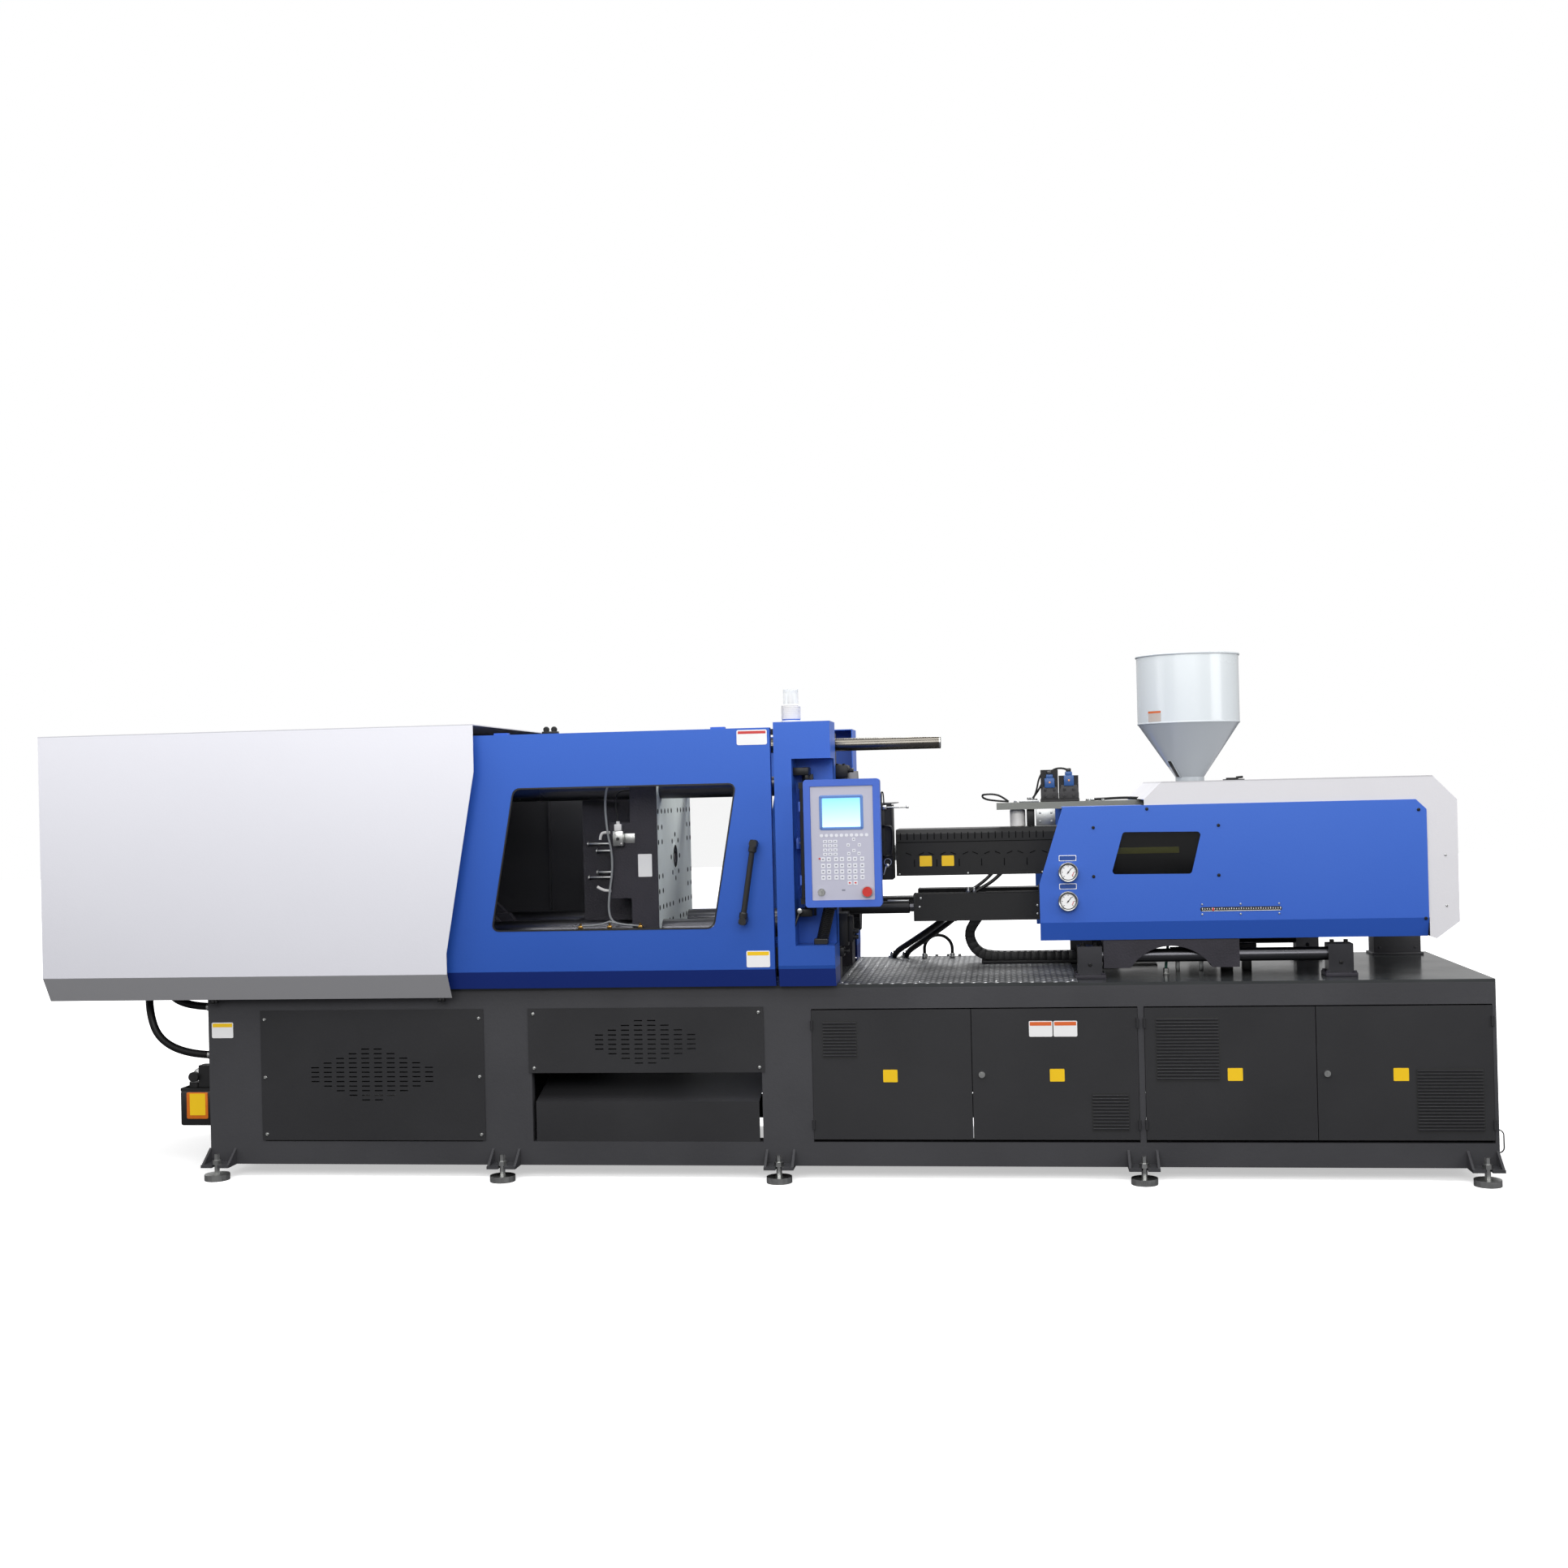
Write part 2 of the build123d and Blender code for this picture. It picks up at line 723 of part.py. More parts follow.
piston_x = ejector_end + ejector_cap + 1
rod_setback = 4
with BuildPart() as ejector_rod:
    with BuildSketch(along(piston_x)):
        with Locations((0, axis_z)):
            Circle(ejector_bore - fit)
    extrude(amount=ejector_piston)
    with BuildSketch(along(piston_x + ejector_piston)):
        with Locations((0, axis_z)):
            Circle(ejector_radius)
    extrude(amount=moving_face_x - rod_setback - piston_x - ejector_piston)
save(ejector_rod, "ejector_rod")

# Mechanical safety rod: carried by the moving platen, runs through the fixed platen's bracket
safety_end = 866
clamp_back = 110
clamp_length = 60
clamp_width = 90
clamp_top = safety_z + 45
platen_top = axis_z + platen_half
with BuildPart() as safety_rod:
    with BuildSketch(along(moving_face_x - clamp_back)):
        with Locations((-safety_y, safety_z)):
            Circle(safety_radius)
    extrude(amount=safety_end - moving_face_x + clamp_back)
    with BuildSketch(along(moving_face_x - clamp_back)):
        with Locations((10 - safety_y, (platen_top + clamp_top) / 2)):
            Rectangle(clamp_width, clamp_top - platen_top)
    extrude(amount=clamp_length)
save(safety_rod, "safety_rod")

# Guard frame: rails for the two sliding doors, posts on the deck and cross beams under the covers
rail_front = 596
rail_depth = 24
rail_base_rise = 1055
rail_base = deck_height + rail_base_rise
rail_cap_rise = 1080
rail_cap = deck_height + rail_cap_rise
frame_inset = 70
frame_left = cover_left + frame_inset
frame_half = 20
post_depth = 46
post_places = (base_left + 40, -1400)
with BuildPart() as guard_frame:
    for side in (-1, 1):
        block((frame_left, column_left), (side * rail_front, side * (rail_front - rail_depth)), (rail_base, rail_cap))
        for place in post_places:
            block((place - frame_half, place + frame_half), (side * rail_front, side * (rail_front - post_depth)),
                  (deck_height, rail_base))
    for place in (frame_left + frame_half, post_places[0]):
        block((place - frame_half, place + frame_half), (-rail_front, rail_front), (rail_cap, cover_top - sheet))
    inner = rail_front - rail_depth - play
    block((post_places[1] - frame_half, post_places[1] + frame_half), (-inner, inner), (rail_base, cover_top - sheet))
save(guard_frame, "guard_frame")

# Clamp covers: front and rear skirts with a slanted edge, top with the end wall
bevel_in = 60
edge_high_rise = 931
edge_high = deck_height + edge_high_rise
edge_low_rise = 162
edge_low = deck_height + edge_low_rise
for name, side in (("clamp_cover_front", -1), ("clamp_cover_rear", 1)):
    with BuildPart() as clamp_cover:
        with BuildSketch(along(cover_left)):
            with BuildLine():
                Polyline(
                    (side * cover_front, cover_top - sheet),
                    (side * cover_front, cover_bottom + cover_bevel),
                    (side * (cover_front - bevel_in), cover_bottom),
                    (side * (cover_front - bevel_in - sheet), cover_bottom),
                    (side * (cover_front - sheet), cover_bottom + cover_bevel),
                    (side * (cover_front - sheet), cover_top - sheet),
                    close=True,
                )
            make_face()
        extrude(amount=cover_right_top - cover_left)
        with BuildSketch(across(cover_front + 10)):
            with BuildLine():
                Polyline(
                    (cover_right_top, edge_high),
                    (cover_right_low, edge_low),
                    (cover_right_low, cover_bottom - 10),
                    (cover_right_top + 10, cover_bottom - 10),
                    (cover_right_top + 10, edge_high),
                    close=True,
                )
            make_face()
        extrude(amount=-2 * cover_front - 20, mode=Mode.SUBTRACT)
    save(clamp_cover, name)

with BuildPart() as clamp_cover_top:
    block((cover_left, cover_right_top), (-cover_front, cover_front), (cover_top - sheet, cover_top))
    block((cover_left, cover_left + sheet), (-cover_front + sheet, cover_front - sheet),
          (cover_bottom + cover_bevel, cover_top - sheet))
save(clamp_cover_top, "clamp_cover_top")

# Sliding safety doors: folded pans with a slanted window, hung on the guard frame's rails
door_base = deck_height + 2
door_bevel_high = 73
door_bevel_deep = 28
door_skin = 3
door_border = 25
glass_lap = 12
glass_thickness = 5
window_radius = 35
window_top_rise = 857
window_top = deck_height + window_top_rise
window_base_rise = 247
window_base = deck_height + window_base_rise
window_points = [(-943, window_top), (20, window_top), (-87, window_base), (-1052, window_base)]
hanger_places = (-1000, -60)
hanger_half = 30
hanger_height = 14


def window_outline(grow=0):
    """Slanted window with rounded corners, made wider all round by a lap."""
    with BuildSketch(Plane.XY, mode=Mode.PRIVATE) as outline:
        with BuildLine():
            Polyline(*window_points, close=True)
        make_face()
        fillet(outline.vertices(), window_radius)
        if grow:
            offset(amount=grow, kind=Kind.ARC)
    return outline.sketch


def low_bevel(face, deep, low, high, left, right):
    """Cut the slanted skirt along the bottom edge of a blue front."""
    with BuildSketch(along(left)) as wedge:
        with BuildLine():
            Polyline(
                (-face - 1, low - 1),
                (-face - 1, low + high),
                (-face, low + high),
                (-face + deep, low),
                (-face + deep, low - 1),
                close=True,
            )
        make_face()
    extrude(wedge.sketch, amount=right - left, mode=Mode.SUBTRACT)


with BuildPart() as front_door:
    block((door_left, door_right), (-door_face, -door_face + door_thickness), (door_base, door_top))
    block((door_left + door_border, door_right - door_border), (-door_face + door_skin, -door_face + door_thickness),
          (door_base + door_bevel_high + glass_lap, door_top - door_border), mode=Mode.SUBTRACT)
    with BuildSketch(across(door_face)):
        add(window_outline())
    extrude(amount=-door_thickness, mode=Mode.SUBTRACT)
    low_bevel(door_face, door_bevel_deep, door_base, door_bevel_high, door_left, door_right)
    for place in hanger_places:
        block((place - hanger_half, place + hanger_half), (-door_face + door_thickness - 10, -rail_front + rail_depth),
              (rail_cap + shoe_gap, rail_cap + hanger_height))
save(front_door, "front_door")

with BuildPart() as front_window:
    with BuildSketch(across(door_face - door_skin)):
        add(window_outline(glass_lap))
    extrude(amount=-glass_thickness)
save(front_window, "front_window")

with BuildPart() as rear_door:
    add(front_door.part.mirror(Plane.XZ))
save(rear_door, "rear_door")

with BuildPart() as rear_window:
    add(front_window.part.mirror(Plane.XZ))
save(rear_window, "rear_window")

# Door handle: slanted bar on two round posts
handle_top = (92, deck_height + 602)
handle_low = (41, deck_height + 281)
handle_reach = 48
handle_radius = 12
post_radius = 16
with BuildPart() as front_handle:
    for end in (handle_top, handle_low):
        with BuildSketch(across(door_face)):
            with Locations(end):
                Circle(post_radius)
        extrude(amount=handle_reach + post_radius)
    bar = (handle_top[0] - handle_low[0], 0, handle_top[1] - handle_low[1])
    with BuildSketch(Plane((handle_low[0], -door_face - handle_reach, handle_low[1]), z_dir=bar)):
        Circle(handle_radius)
    extrude(amount=hypot(bar[0], bar[2]))
save(front_handle, "front_handle")

# Column covers on both sides of the fixed platen, the front one with a notch and the beacon socket
column_back = 430
column_bevel_high = 89
notch_left = 254
notch_low_rise = 171
notch_low = deck_height + notch_low_rise
notch_high_rise = 951
notch_high = deck_height + notch_high_rise
notch_back = 500
beacon_place = (246, -541)
socket_radius = 39
socket_height = 70
with BuildPart() as column_cover_front:
    for inset, mode in ((0, Mode.ADD), (sheet, Mode.SUBTRACT)):
        with BuildSketch(along(column_left + inset)):
            with BuildLine():
                Polyline(
                    (-column_back, deck_height),
                    (-door_face + door_bevel_deep + inset, deck_height),
                    (-door_face + inset, deck_height + column_bevel_high),
                    (-door_face + inset, column_top - inset),
                    (-column_back, column_top - inset),
                    close=True,
                )
            make_face()
        extrude(amount=column_width - 2 * inset, mode=mode)
    block((notch_left, column_right + 1), (-door_face - 1, -notch_back), (notch_low, notch_high), mode=Mode.SUBTRACT)
    with BuildSketch(Plane.XY.offset(column_top)):
        with Locations(beacon_place):
            Circle(socket_radius)
    extrude(amount=socket_height)
save(column_cover_front, "column_cover_front")

with BuildPart() as column_cover_rear:
    for inset, mode in ((0, Mode.ADD), (sheet, Mode.SUBTRACT)):
        with BuildSketch(along(column_left + inset)):
            with BuildLine():
                Polyline(
                    (column_back, deck_height),
                    (door_face - door_bevel_deep - inset, deck_height),
                    (door_face - inset, deck_height + column_bevel_high),
                    (door_face - inset, column_top - inset),
                    (column_back, column_top - inset),
                    close=True,
                )
            make_face()
        extrude(amount=column_width - 2 * inset, mode=mode)
save(column_cover_rear, "column_cover_rear")

# Warning beacon: clear dome on its socket
lens_radius = 32
lens_height = 70
with BuildPart() as beacon_lens:
    with BuildSketch(Plane.XY.offset(column_top + socket_height)):
        with Locations(beacon_place):
            Circle(lens_radius)
    extrude(amount=lens_height)
save(beacon_lens, "beacon_lens")

# Control panel on a swivel post in front of the column's notch
hinge_x = 300
hinge_y = 668
hinge_radius = 12
panel_left = 311
panel_width = 315
panel_low_rise = 336
panel_low_z = deck_height + panel_low_rise
panel_height = 525
panel_face_y = 735
panel_depth = 60
face_margin = 28
face_depth = 5
lug_height = 40
lug_inset = 90
lug_wall = 16
arm_half = 15
arm_inset = 10
arm_height = 25
with BuildPart() as panel_bracket:
    for height in (panel_low_z + arm_inset, panel_low_z + panel_height - arm_inset - arm_height):
        block((hinge_x - arm_half, hinge_x + arm_half), (play - panel_face_y + panel_depth, -platen_half),
              (height, height + arm_height))
    with BuildSketch(Plane.XY.offset(panel_low_z + arm_inset + arm_height)):
        with Locations((hinge_x, -hinge_y)):
            Circle(hinge_radius)
    extrude(amount=panel_height - 2 * (arm_inset + arm_height))
save(panel_bracket, "panel_bracket")

switch_rise = 398
estop_place = (567, deck_height + switch_rise)
estop_stem = 8
estop_travel = 4
estop_depth = 18
estop_radius = 20
estop_head = 12
key_place = (378, deck_height + switch_rise)
key_radius = 12
key_width = 18
key_reach = 14
panel_centre = (panel_left + panel_width / 2, panel_low_z + panel_height / 2)
with BuildPart() as control_panel:
    with BuildSketch(across(panel_face_y - panel_depth)):
        with Locations(panel_centre):
            RectangleRounded(panel_width, panel_height, 14)
    extrude(amount=panel_depth)
    with BuildSketch(across(panel_face_y)):
        with Locations(panel_centre):
            Rectangle(panel_width - 2 * face_margin, panel_height - 2 * face_margin)
    extrude(amount=-face_depth, mode=Mode.SUBTRACT)
    for height in (panel_low_z + lug_inset, panel_low_z + panel_height - lug_inset - lug_height):
        block((hinge_x - lug_wall, panel_left + lug_height), (-panel_face_y + panel_depth, -hinge_y + lug_wall),
              (height, height + lug_height))
    with BuildSketch(Plane.XY.offset(panel_low_z)):
        with Locations((hinge_x, -hinge_y)):
            Circle(hinge_radius + fit)
    extrude(amount=panel_height, mode=Mode.SUBTRACT)
    with BuildSketch(across(panel_face_y - face_depth)):
        with Locations(estop_place):
            Circle(estop_stem + fit)
    extrude(amount=-estop_travel - estop_depth - 1, mode=Mode.SUBTRACT)
save(control_panel, "control_panel")

with BuildPart() as emergency_stop:
    with BuildSketch(across(panel_face_y - face_depth - estop_depth)):
        with Locations(estop_place):
            RegularPolygon(estop_stem, 6)
    extrude(amount=estop_depth + estop_travel + 2)
    with BuildSketch(across(panel_face_y - face_depth + estop_travel + 2)):
        with Locations(estop_place):
            Circle(estop_radius)
    extrude(amount=estop_head)
save(emergency_stop, "emergency_stop")

with BuildPart() as key_switch:
    with BuildSketch(across(panel_face_y - face_depth + door_seat)):
        with Locations(key_place):
            Circle(key_radius)
    extrude(amount=lock_depth)
    with BuildSketch(across(panel_face_y - face_depth + door_seat + lock_depth)):
        with Locations(key_place):
            Rectangle(grip_depth, key_width)
    extrude(amount=key_reach)
save(key_switch, "key_switch")

# Grease pump on the left end of the base: tank, lid, filler cap, outlet block and gauge
tank_length = 140
tank_width = 120
tank_y = -500
tank_low = 221
tank_high = 370
tank_corner = 14
lid_lap = 4
cap_place = (-2455, -520)
cap_radius = 26
cap_height = 22
outlet_length = 70
outlet_high = 480
dial_place = (-2447, 432)
dial_radius = 22
with BuildPart() as lubricator:
    block((base_left - tank_length, base_left), (tank_y - tank_width / 2, tank_y + tank_width / 2), (tank_low, tank_high))
    fillet(lubricator.edges().filter_by(Axis.Z), tank_corner)
    block((base_left - tank_length - lid_lap, base_left),
          (tank_y - tank_width / 2 - lid_lap, tank_y + tank_width / 2 + lid_lap), (tank_high, tank_high + tank_corner))
    with BuildSketch(Plane.XY.offset(tank_high + tank_corner)):
        with Locations(cap_place):
            Circle(cap_radius)
    extrude(amount=cap_height)
    block((base_left - outlet_length, base_left), (tank_y - tank_width / 3, tank_y + 20),
          (tank_high + tank_corner, outlet_high))
    with BuildSketch(across(tank_width / 4 - tank_y)):
        with Locations(dial_place):
            Circle(dial_radius)
    extrude(amount=30)
save(lubricator, "lubricator")

# Injection guide rods on four pillars, and the two carriage rods from the fixed platen
casting_left = 1528
casting_right = 2083
box_left = 732
pillar_gap = 7
pillar_length = 100
pillar_half = 45
pillar_top_rise = 135
pillar_top = deck_height + pillar_top_rise
rod_overlap = 68
near_pillar = casting_left - pillar_gap
far_pillar = casting_right + carriage_travel + pillar_gap
carriage_rod_end = box_left + carriage_travel + rod_overlap
with BuildPart() as slide_rods:
    for side in (-1, 1):
        block((near_pillar - pillar_length, near_pillar), (side * guide_y - pillar_half, side * guide_y + pillar_half),
              (deck_height, pillar_top))
        block((far_pillar, far_pillar + pillar_length), (side * guide_y - pillar_half, side * guide_y + pillar_half),
              (deck_height, pillar_top))
        with BuildSketch(along(near_pillar)):
            with Locations((side * guide_y, guide_z)):
                Circle(guide_radius)
        extrude(amount=far_pillar - near_pillar)
    with BuildSketch(along(fixed_back_x)):
        with Locations((-rod_y, rod_z), (rod_y, rod_z)):
            Circle(rod_radius)
    extrude(amount=carriage_rod_end - fixed_back_x)
save(slide_rods, "slide_rods")

# Injection carriage: arched side castings on the guide rods, table, barrel housing and cylinders
bearing_length = 110
bearing_drop = 48
arch_rise = 8
table_top_rise = 172
table_top = deck_height + table_top_rise
table_low_rise = 142
table_low = deck_height + table_low_rise
housing_top_rise = 747
housing_top = deck_height + housing_top_rise
housing_half = 300
cylinder_y = 220
cylinder_rod_radius = 25
throat_radius = 32
cylinder_radius = 55
cylinder_bore = 40
cylinder_wall = 30
piston_setback = 10
piston_thickness = 30
cylinder_rest = 150
cylinder_front = housing_front - dosing_stroke - cylinder_wall - piston_setback - piston_thickness - cylinder_rest
casting_half = 46
housing_shoulder = axis_z + 60
housing_crown = 120
with BuildPart() as injection_carriage:
    for side in (-1, 1):
        with BuildSketch(across(casting_half - side * guide_y)):
            with BuildLine():
                Polyline(
                    (casting_left + bearing_length, guide_z - bearing_drop),
                    (casting_left, guide_z - bearing_drop),
                    (casting_left, table_top),
                    (casting_right, table_top),
                    (casting_right, guide_z - bearing_drop),
                    (casting_right - bearing_length, guide_z - bearing_drop),
                )
                ThreePointArc(
                    (casting_right - bearing_length, guide_z - bearing_drop),
                    ((casting_left + casting_right) / 2, table_low - arch_rise),
                    (casting_left + bearing_length, guide_z - bearing_drop),
                )
            make_face()
        extrude(amount=-2 * casting_half)
        with BuildSketch(along(casting_left)):
            with Locations((side * guide_y, guide_z)):
                Circle(guide_radius + fit)
        extrude(amount=casting_right - casting_left, mode=Mode.SUBTRACT)
    block((casting_left, casting_right), (-guide_y, guide_y), (table_low, table_top))
    with BuildSketch(along(housing_front)):
        with BuildLine():
            Polyline(
                (-housing_half, table_top),
                (-housing_half, housing_shoulder),
                (-housing_crown, housing_top),
                (housing_crown, housing_top),
                (housing_half, housing_shoulder),
                (housing_half, table_top),
                close=True,
            )
        make_face()
        with Locations((0, axis_z)):
            Circle(barrel_radius + fit, mode=Mode.SUBTRACT)
        with Locations((-cylinder_y, axis_z), (cylinder_y, axis_z)):
            Circle(cylinder_rod_radius + fit, mode=Mode.SUBTRACT)
    extrude(amount=housing_length)
    with BuildSketch(Plane.XY.offset(axis_z)):
        with Locations((throat_x, 0)):
            Circle(throat_radius)
    extrude(amount=housing_top - axis_z, mode=Mode.SUBTRACT)
    with BuildSketch(along(cylinder_front)):
        with Locations((-cylinder_y, axis_z), (cylinder_y, axis_z)):
            Circle(cylinder_radius)
    extrude(amount=housing_front - cylinder_front)
    with BuildSketch(along(cylinder_front + cylinder_wall)):
        with Locations((-cylinder_y, axis_z), (cylinder_y, axis_z)):
            Circle(cylinder_bore)
    extrude(amount=housing_front - cylinder_front - cylinder_wall, mode=Mode.SUBTRACT)
save(injection_carriage, "injection_carriage")

# Barrel with its nozzle, three heater bands and the feed throat
nozzle_tip_x = fixed_face_x + 45
nozzle_radius = 24
nozzle_bore = 6
nozzle_back = 600
nozzle_cone = 14
bore_end = barrel_front + 40
barrel_end = housing_front + housing_length
band_radius = 74
band_length = 130
band_places = (760, 1010, 1260)
with BuildPart() as barrel:
    with BuildSketch(Plane.XY):
        with BuildLine():
            Polyline(
                (nozzle_tip_x, nozzle_bore),
                (nozzle_tip_x, nozzle_radius / 2),
                (nozzle_tip_x + nozzle_cone, nozzle_radius),
                (nozzle_back, nozzle_radius),
                (nozzle_back, nozzle_radius + nozzle_cone),
                (barrel_front, nozzle_radius + nozzle_cone),
                (barrel_front, barrel_radius),
                (barrel_end, barrel_radius),
                (barrel_end, screw_radius + fit),
                (bore_end, screw_radius + fit),
                (bore_end, nozzle_bore),
                close=True,
            )
        make_face()
        for place in band_places:
            with Locations((place, (barrel_radius + band_radius) / 2)):
                Rectangle(band_length, band_radius - barrel_radius + 2)
    revolve(axis=Axis.X)
    with BuildSketch(Plane.XY):
        with Locations((throat_x, 0)):
            Circle(throat_radius)
    extrude(amount=band_radius, mode=Mode.SUBTRACT)
barrel.part.move(Location((0, 0, axis_z)))
save(barrel, "barrel")

# Screw, and the injection plate with its piston rods and the hydraulic motor
shank_radius = 22
shank_depth = 40
plate_gap = 60
plate_x = barrel_end + plate_gap
plate_length = 80
plate_width = 580
plate_height = 330
plate_corner = 30
tip_gap = 2
tip_length = 32
neck_length = 20
piston_front = cylinder_front + cylinder_wall + piston_setback
with BuildPart() as screw:
    with BuildSketch(Plane.XY):
        with BuildLine():
            Polyline(
                (bore_end - tip_gap, 0),
                (bore_end - tip_gap + tip_length, screw_radius),
                (barrel_end - neck_length, screw_radius),
                (barrel_end - neck_length / 2, shank_radius),
                (plate_x + shank_depth, shank_radius),
                (plate_x + shank_depth, 0),
                close=True,
            )
        make_face()
    revolve(axis=Axis.X)
screw.part.move(Location((0, 0, axis_z)))
save(screw, "screw")

motor_radius = 115
motor_flange = 50
flange_side = 2 * motor_radius + 20
motor_length = 180
with BuildPart() as injection_plate:
    with BuildSketch(along(plate_x)):
        with Locations((0, axis_z)):
            RectangleRounded(plate_width, plate_height, plate_corner)
    extrude(amount=plate_length)
    with BuildSketch(along(plate_x)):
        with Locations((0, axis_z)):
            Circle(shank_radius + fit)
    extrude(amount=shank_depth + shoe_gap, mode=Mode.SUBTRACT)
    with BuildSketch(along(piston_front + piston_thickness)):
        with Locations((-cylinder_y, axis_z), (cylinder_y, axis_z)):
            Circle(cylinder_rod_radius)
    extrude(amount=plate_x - piston_front - piston_thickness)
    with BuildSketch(along(piston_front)):
        with Locations((-cylinder_y, axis_z), (cylinder_y, axis_z)):
            Circle(cylinder_bore - fit)
    extrude(amount=piston_thickness)
    with BuildSketch(along(plate_x + plate_length)):
        with Locations((0, axis_z)):
            Rectangle(flange_side, flange_side)
    extrude(amount=motor_flange)
    with BuildSketch(along(plate_x + plate_length + motor_flange)):
        with Locations((0, axis_z)):
            Circle(motor_radius)
    extrude(amount=motor_length)
save(injection_plate, "injection_plate")

# Carriage cylinders: long boxed housings that slide over the two fixed rods
box_low_rise = 237
box_low = deck_height + box_low_rise
box_high_rise = 355
box_high = deck_height + box_high_rise
box_half = 55
box_foot = casting_left + 60
box_bore_rest = 30
with BuildPart() as carriage_cylinders:
    for side in (-1, 1):
        block((box_left, box_foot), (side * rod_y - box_half, side * rod_y + box_half), (box_low, box_high))
        block((casting_left, box_foot), (side * rod_y - box_half, side * rod_y + box_half), (table_top, box_low))
        with BuildSketch(along(box_left)):
            with Locations((side * rod_y, rod_z)):
                Circle(rod_radius + fit)
        extrude(amount=carriage_rod_end + box_bore_rest - box_left, mode=Mode.SUBTRACT)
save(carriage_cylinders, "carriage_cylinders")

# Barrel cover: sheet hood round the heated barrel with an end wall at each end
hood_half = 150
hood_low_rise = 430
hood_low = deck_height + hood_low_rise
hood_top_rise = 634
hood_top = deck_height + hood_top_rise
hood_shoulder = 20
hood_end = 1405
with BuildPart() as barrel_cover:
    for inset, mode in ((0, Mode.ADD), (sheet, Mode.SUBTRACT)):
        with BuildSketch(along(barrel_front + inset)):
            with BuildLine():
                Polyline(
                    (-hood_half + inset, hood_low),
                    (-hood_half + inset, hood_top - hood_shoulder),
                    (-hood_half + hood_shoulder, hood_top - inset),
                    (hood_half - hood_shoulder, hood_top - inset),
                    (hood_half - inset, hood_top - hood_shoulder),
                    (hood_half - inset, hood_low),
                    close=True,
                )
            make_face()
        extrude(amount=hood_end - barrel_front - 2 * inset, mode=mode)
    with BuildSketch(along(barrel_front - 1)):
        with Locations((0, axis_z)):
            Circle(barrel_radius + fit)
    extrude(amount=hood_end - barrel_front + 2, mode=Mode.SUBTRACT)
save(barrel_cover, "barrel_cover")

# Valve block above the barrel: machined plate on a post, with two solenoid valves
valve_plate_left = 1096
valve_plate_low_rise = 712
valve_plate_low = deck_height + valve_plate_low_rise
valve_plate_high_rise = 742
valve_plate_high = deck_height + valve_plate_high_rise
valve_plate_half = 100
valve_post_x = 1183
valve_post_radius = 26
valve_half = 40
valves = ((1294, 1369, 142), (1374, 1458, 115))
with BuildPart() as valve_block:
    block((valve_plate_left, housing_front), (-valve_plate_half, valve_plate_half), (valve_plate_low, valve_plate_high))
    with BuildSketch(Plane.XY.offset(hood_top)):
        with Locations((valve_post_x, 0)):
            Circle(valve_post_radius)
    extrude(amount=valve_plate_low - hood_top)
    for low, high, tall in valves:
        block((low, high), (-valve_half, valve_half), (valve_plate_high, valve_plate_high + tall))
save(valve_block, "valve_block")

# Injection covers: blue fronts with a slanted nose and window, white hood between them
skirt_high = 77
skirt_deep = 30
unit_return = 300
nose_top = 1372
nose_low_rise = 399
nose_low = deck_height + nose_low_rise
tail_corner = 42
hood_outline = [(1706, 747), (1780, 819), (2861, 819), (2956, 719), (2956, 223), (2864, 154)]
hood_points = [(x, deck_height + rise) for x, rise in hood_outline]
pane_corner = 14
pane_outline = [(1617, 613), (1936, 609), (1893, 435), (1566, 438)]
unit_window = [(x, deck_height + rise) for x, rise in pane_outline]
gauge_places = ((1388, deck_height + 451), (1385, deck_height + 330))
gauge_radius = 40
gauge_depth = 22
with BuildPart() as unit_side:
    with BuildSketch(along(unit_left)):
        with BuildLine():
            Polyline(
                (-unit_front + skirt_deep, unit_bottom),
                (-unit_front, unit_bottom + skirt_high),
                (-unit_front, unit_top),
                (-unit_return, unit_top),
                (-unit_return, unit_top - sheet),
                (-unit_front + sheet, unit_top - sheet),
                (-unit_front + sheet, unit_bottom + skirt_high),
                (-unit_front + skirt_deep + sheet, unit_bottom),
                close=True,
            )
        make_face()
    extrude(amount=unit_right - unit_left)
    with BuildSketch(across(unit_front + 1)) as trims:
        with BuildLine():
            Polyline((unit_left - 1, nose_low), (nose_top, unit_top + 1), (unit_left - 1, unit_top + 1), close=True)
        make_face()
        with BuildLine():
            Polyline(
                (unit_right + 1, unit_top - tail_corner),
                (unit_right - tail_corner, unit_top + 1),
                (unit_right + 1, unit_top + 1),
                close=True,
            )
        make_face()
        with BuildSketch(Plane.XY, mode=Mode.PRIVATE) as pane:
            with BuildLine():
                Polyline(*unit_window, close=True)
            make_face()
            fillet(pane.vertices(), pane_corner)
        add(pane.sketch)
    extrude(amount=-unit_front + unit_return - play, mode=Mode.SUBTRACT)
    block((hood_points[0][0] - play, unit_right), (sheet - unit_front, play - unit_return),
          (unit_top - sheet, unit_top), mode=Mode.SUBTRACT)

with BuildPart() as injection_cover_front:
    add(unit_side.part)
    with BuildSketch(across(unit_front)):
        with Locations(*gauge_places):
            Circle(gauge_radius)
    extrude(amount=gauge_depth)
save(injection_cover_front, "injection_cover_front")

with BuildPart() as injection_cover_rear:
    add(unit_side.part.mirror(Plane.XZ))
save(injection_cover_rear, "injection_cover_rear")

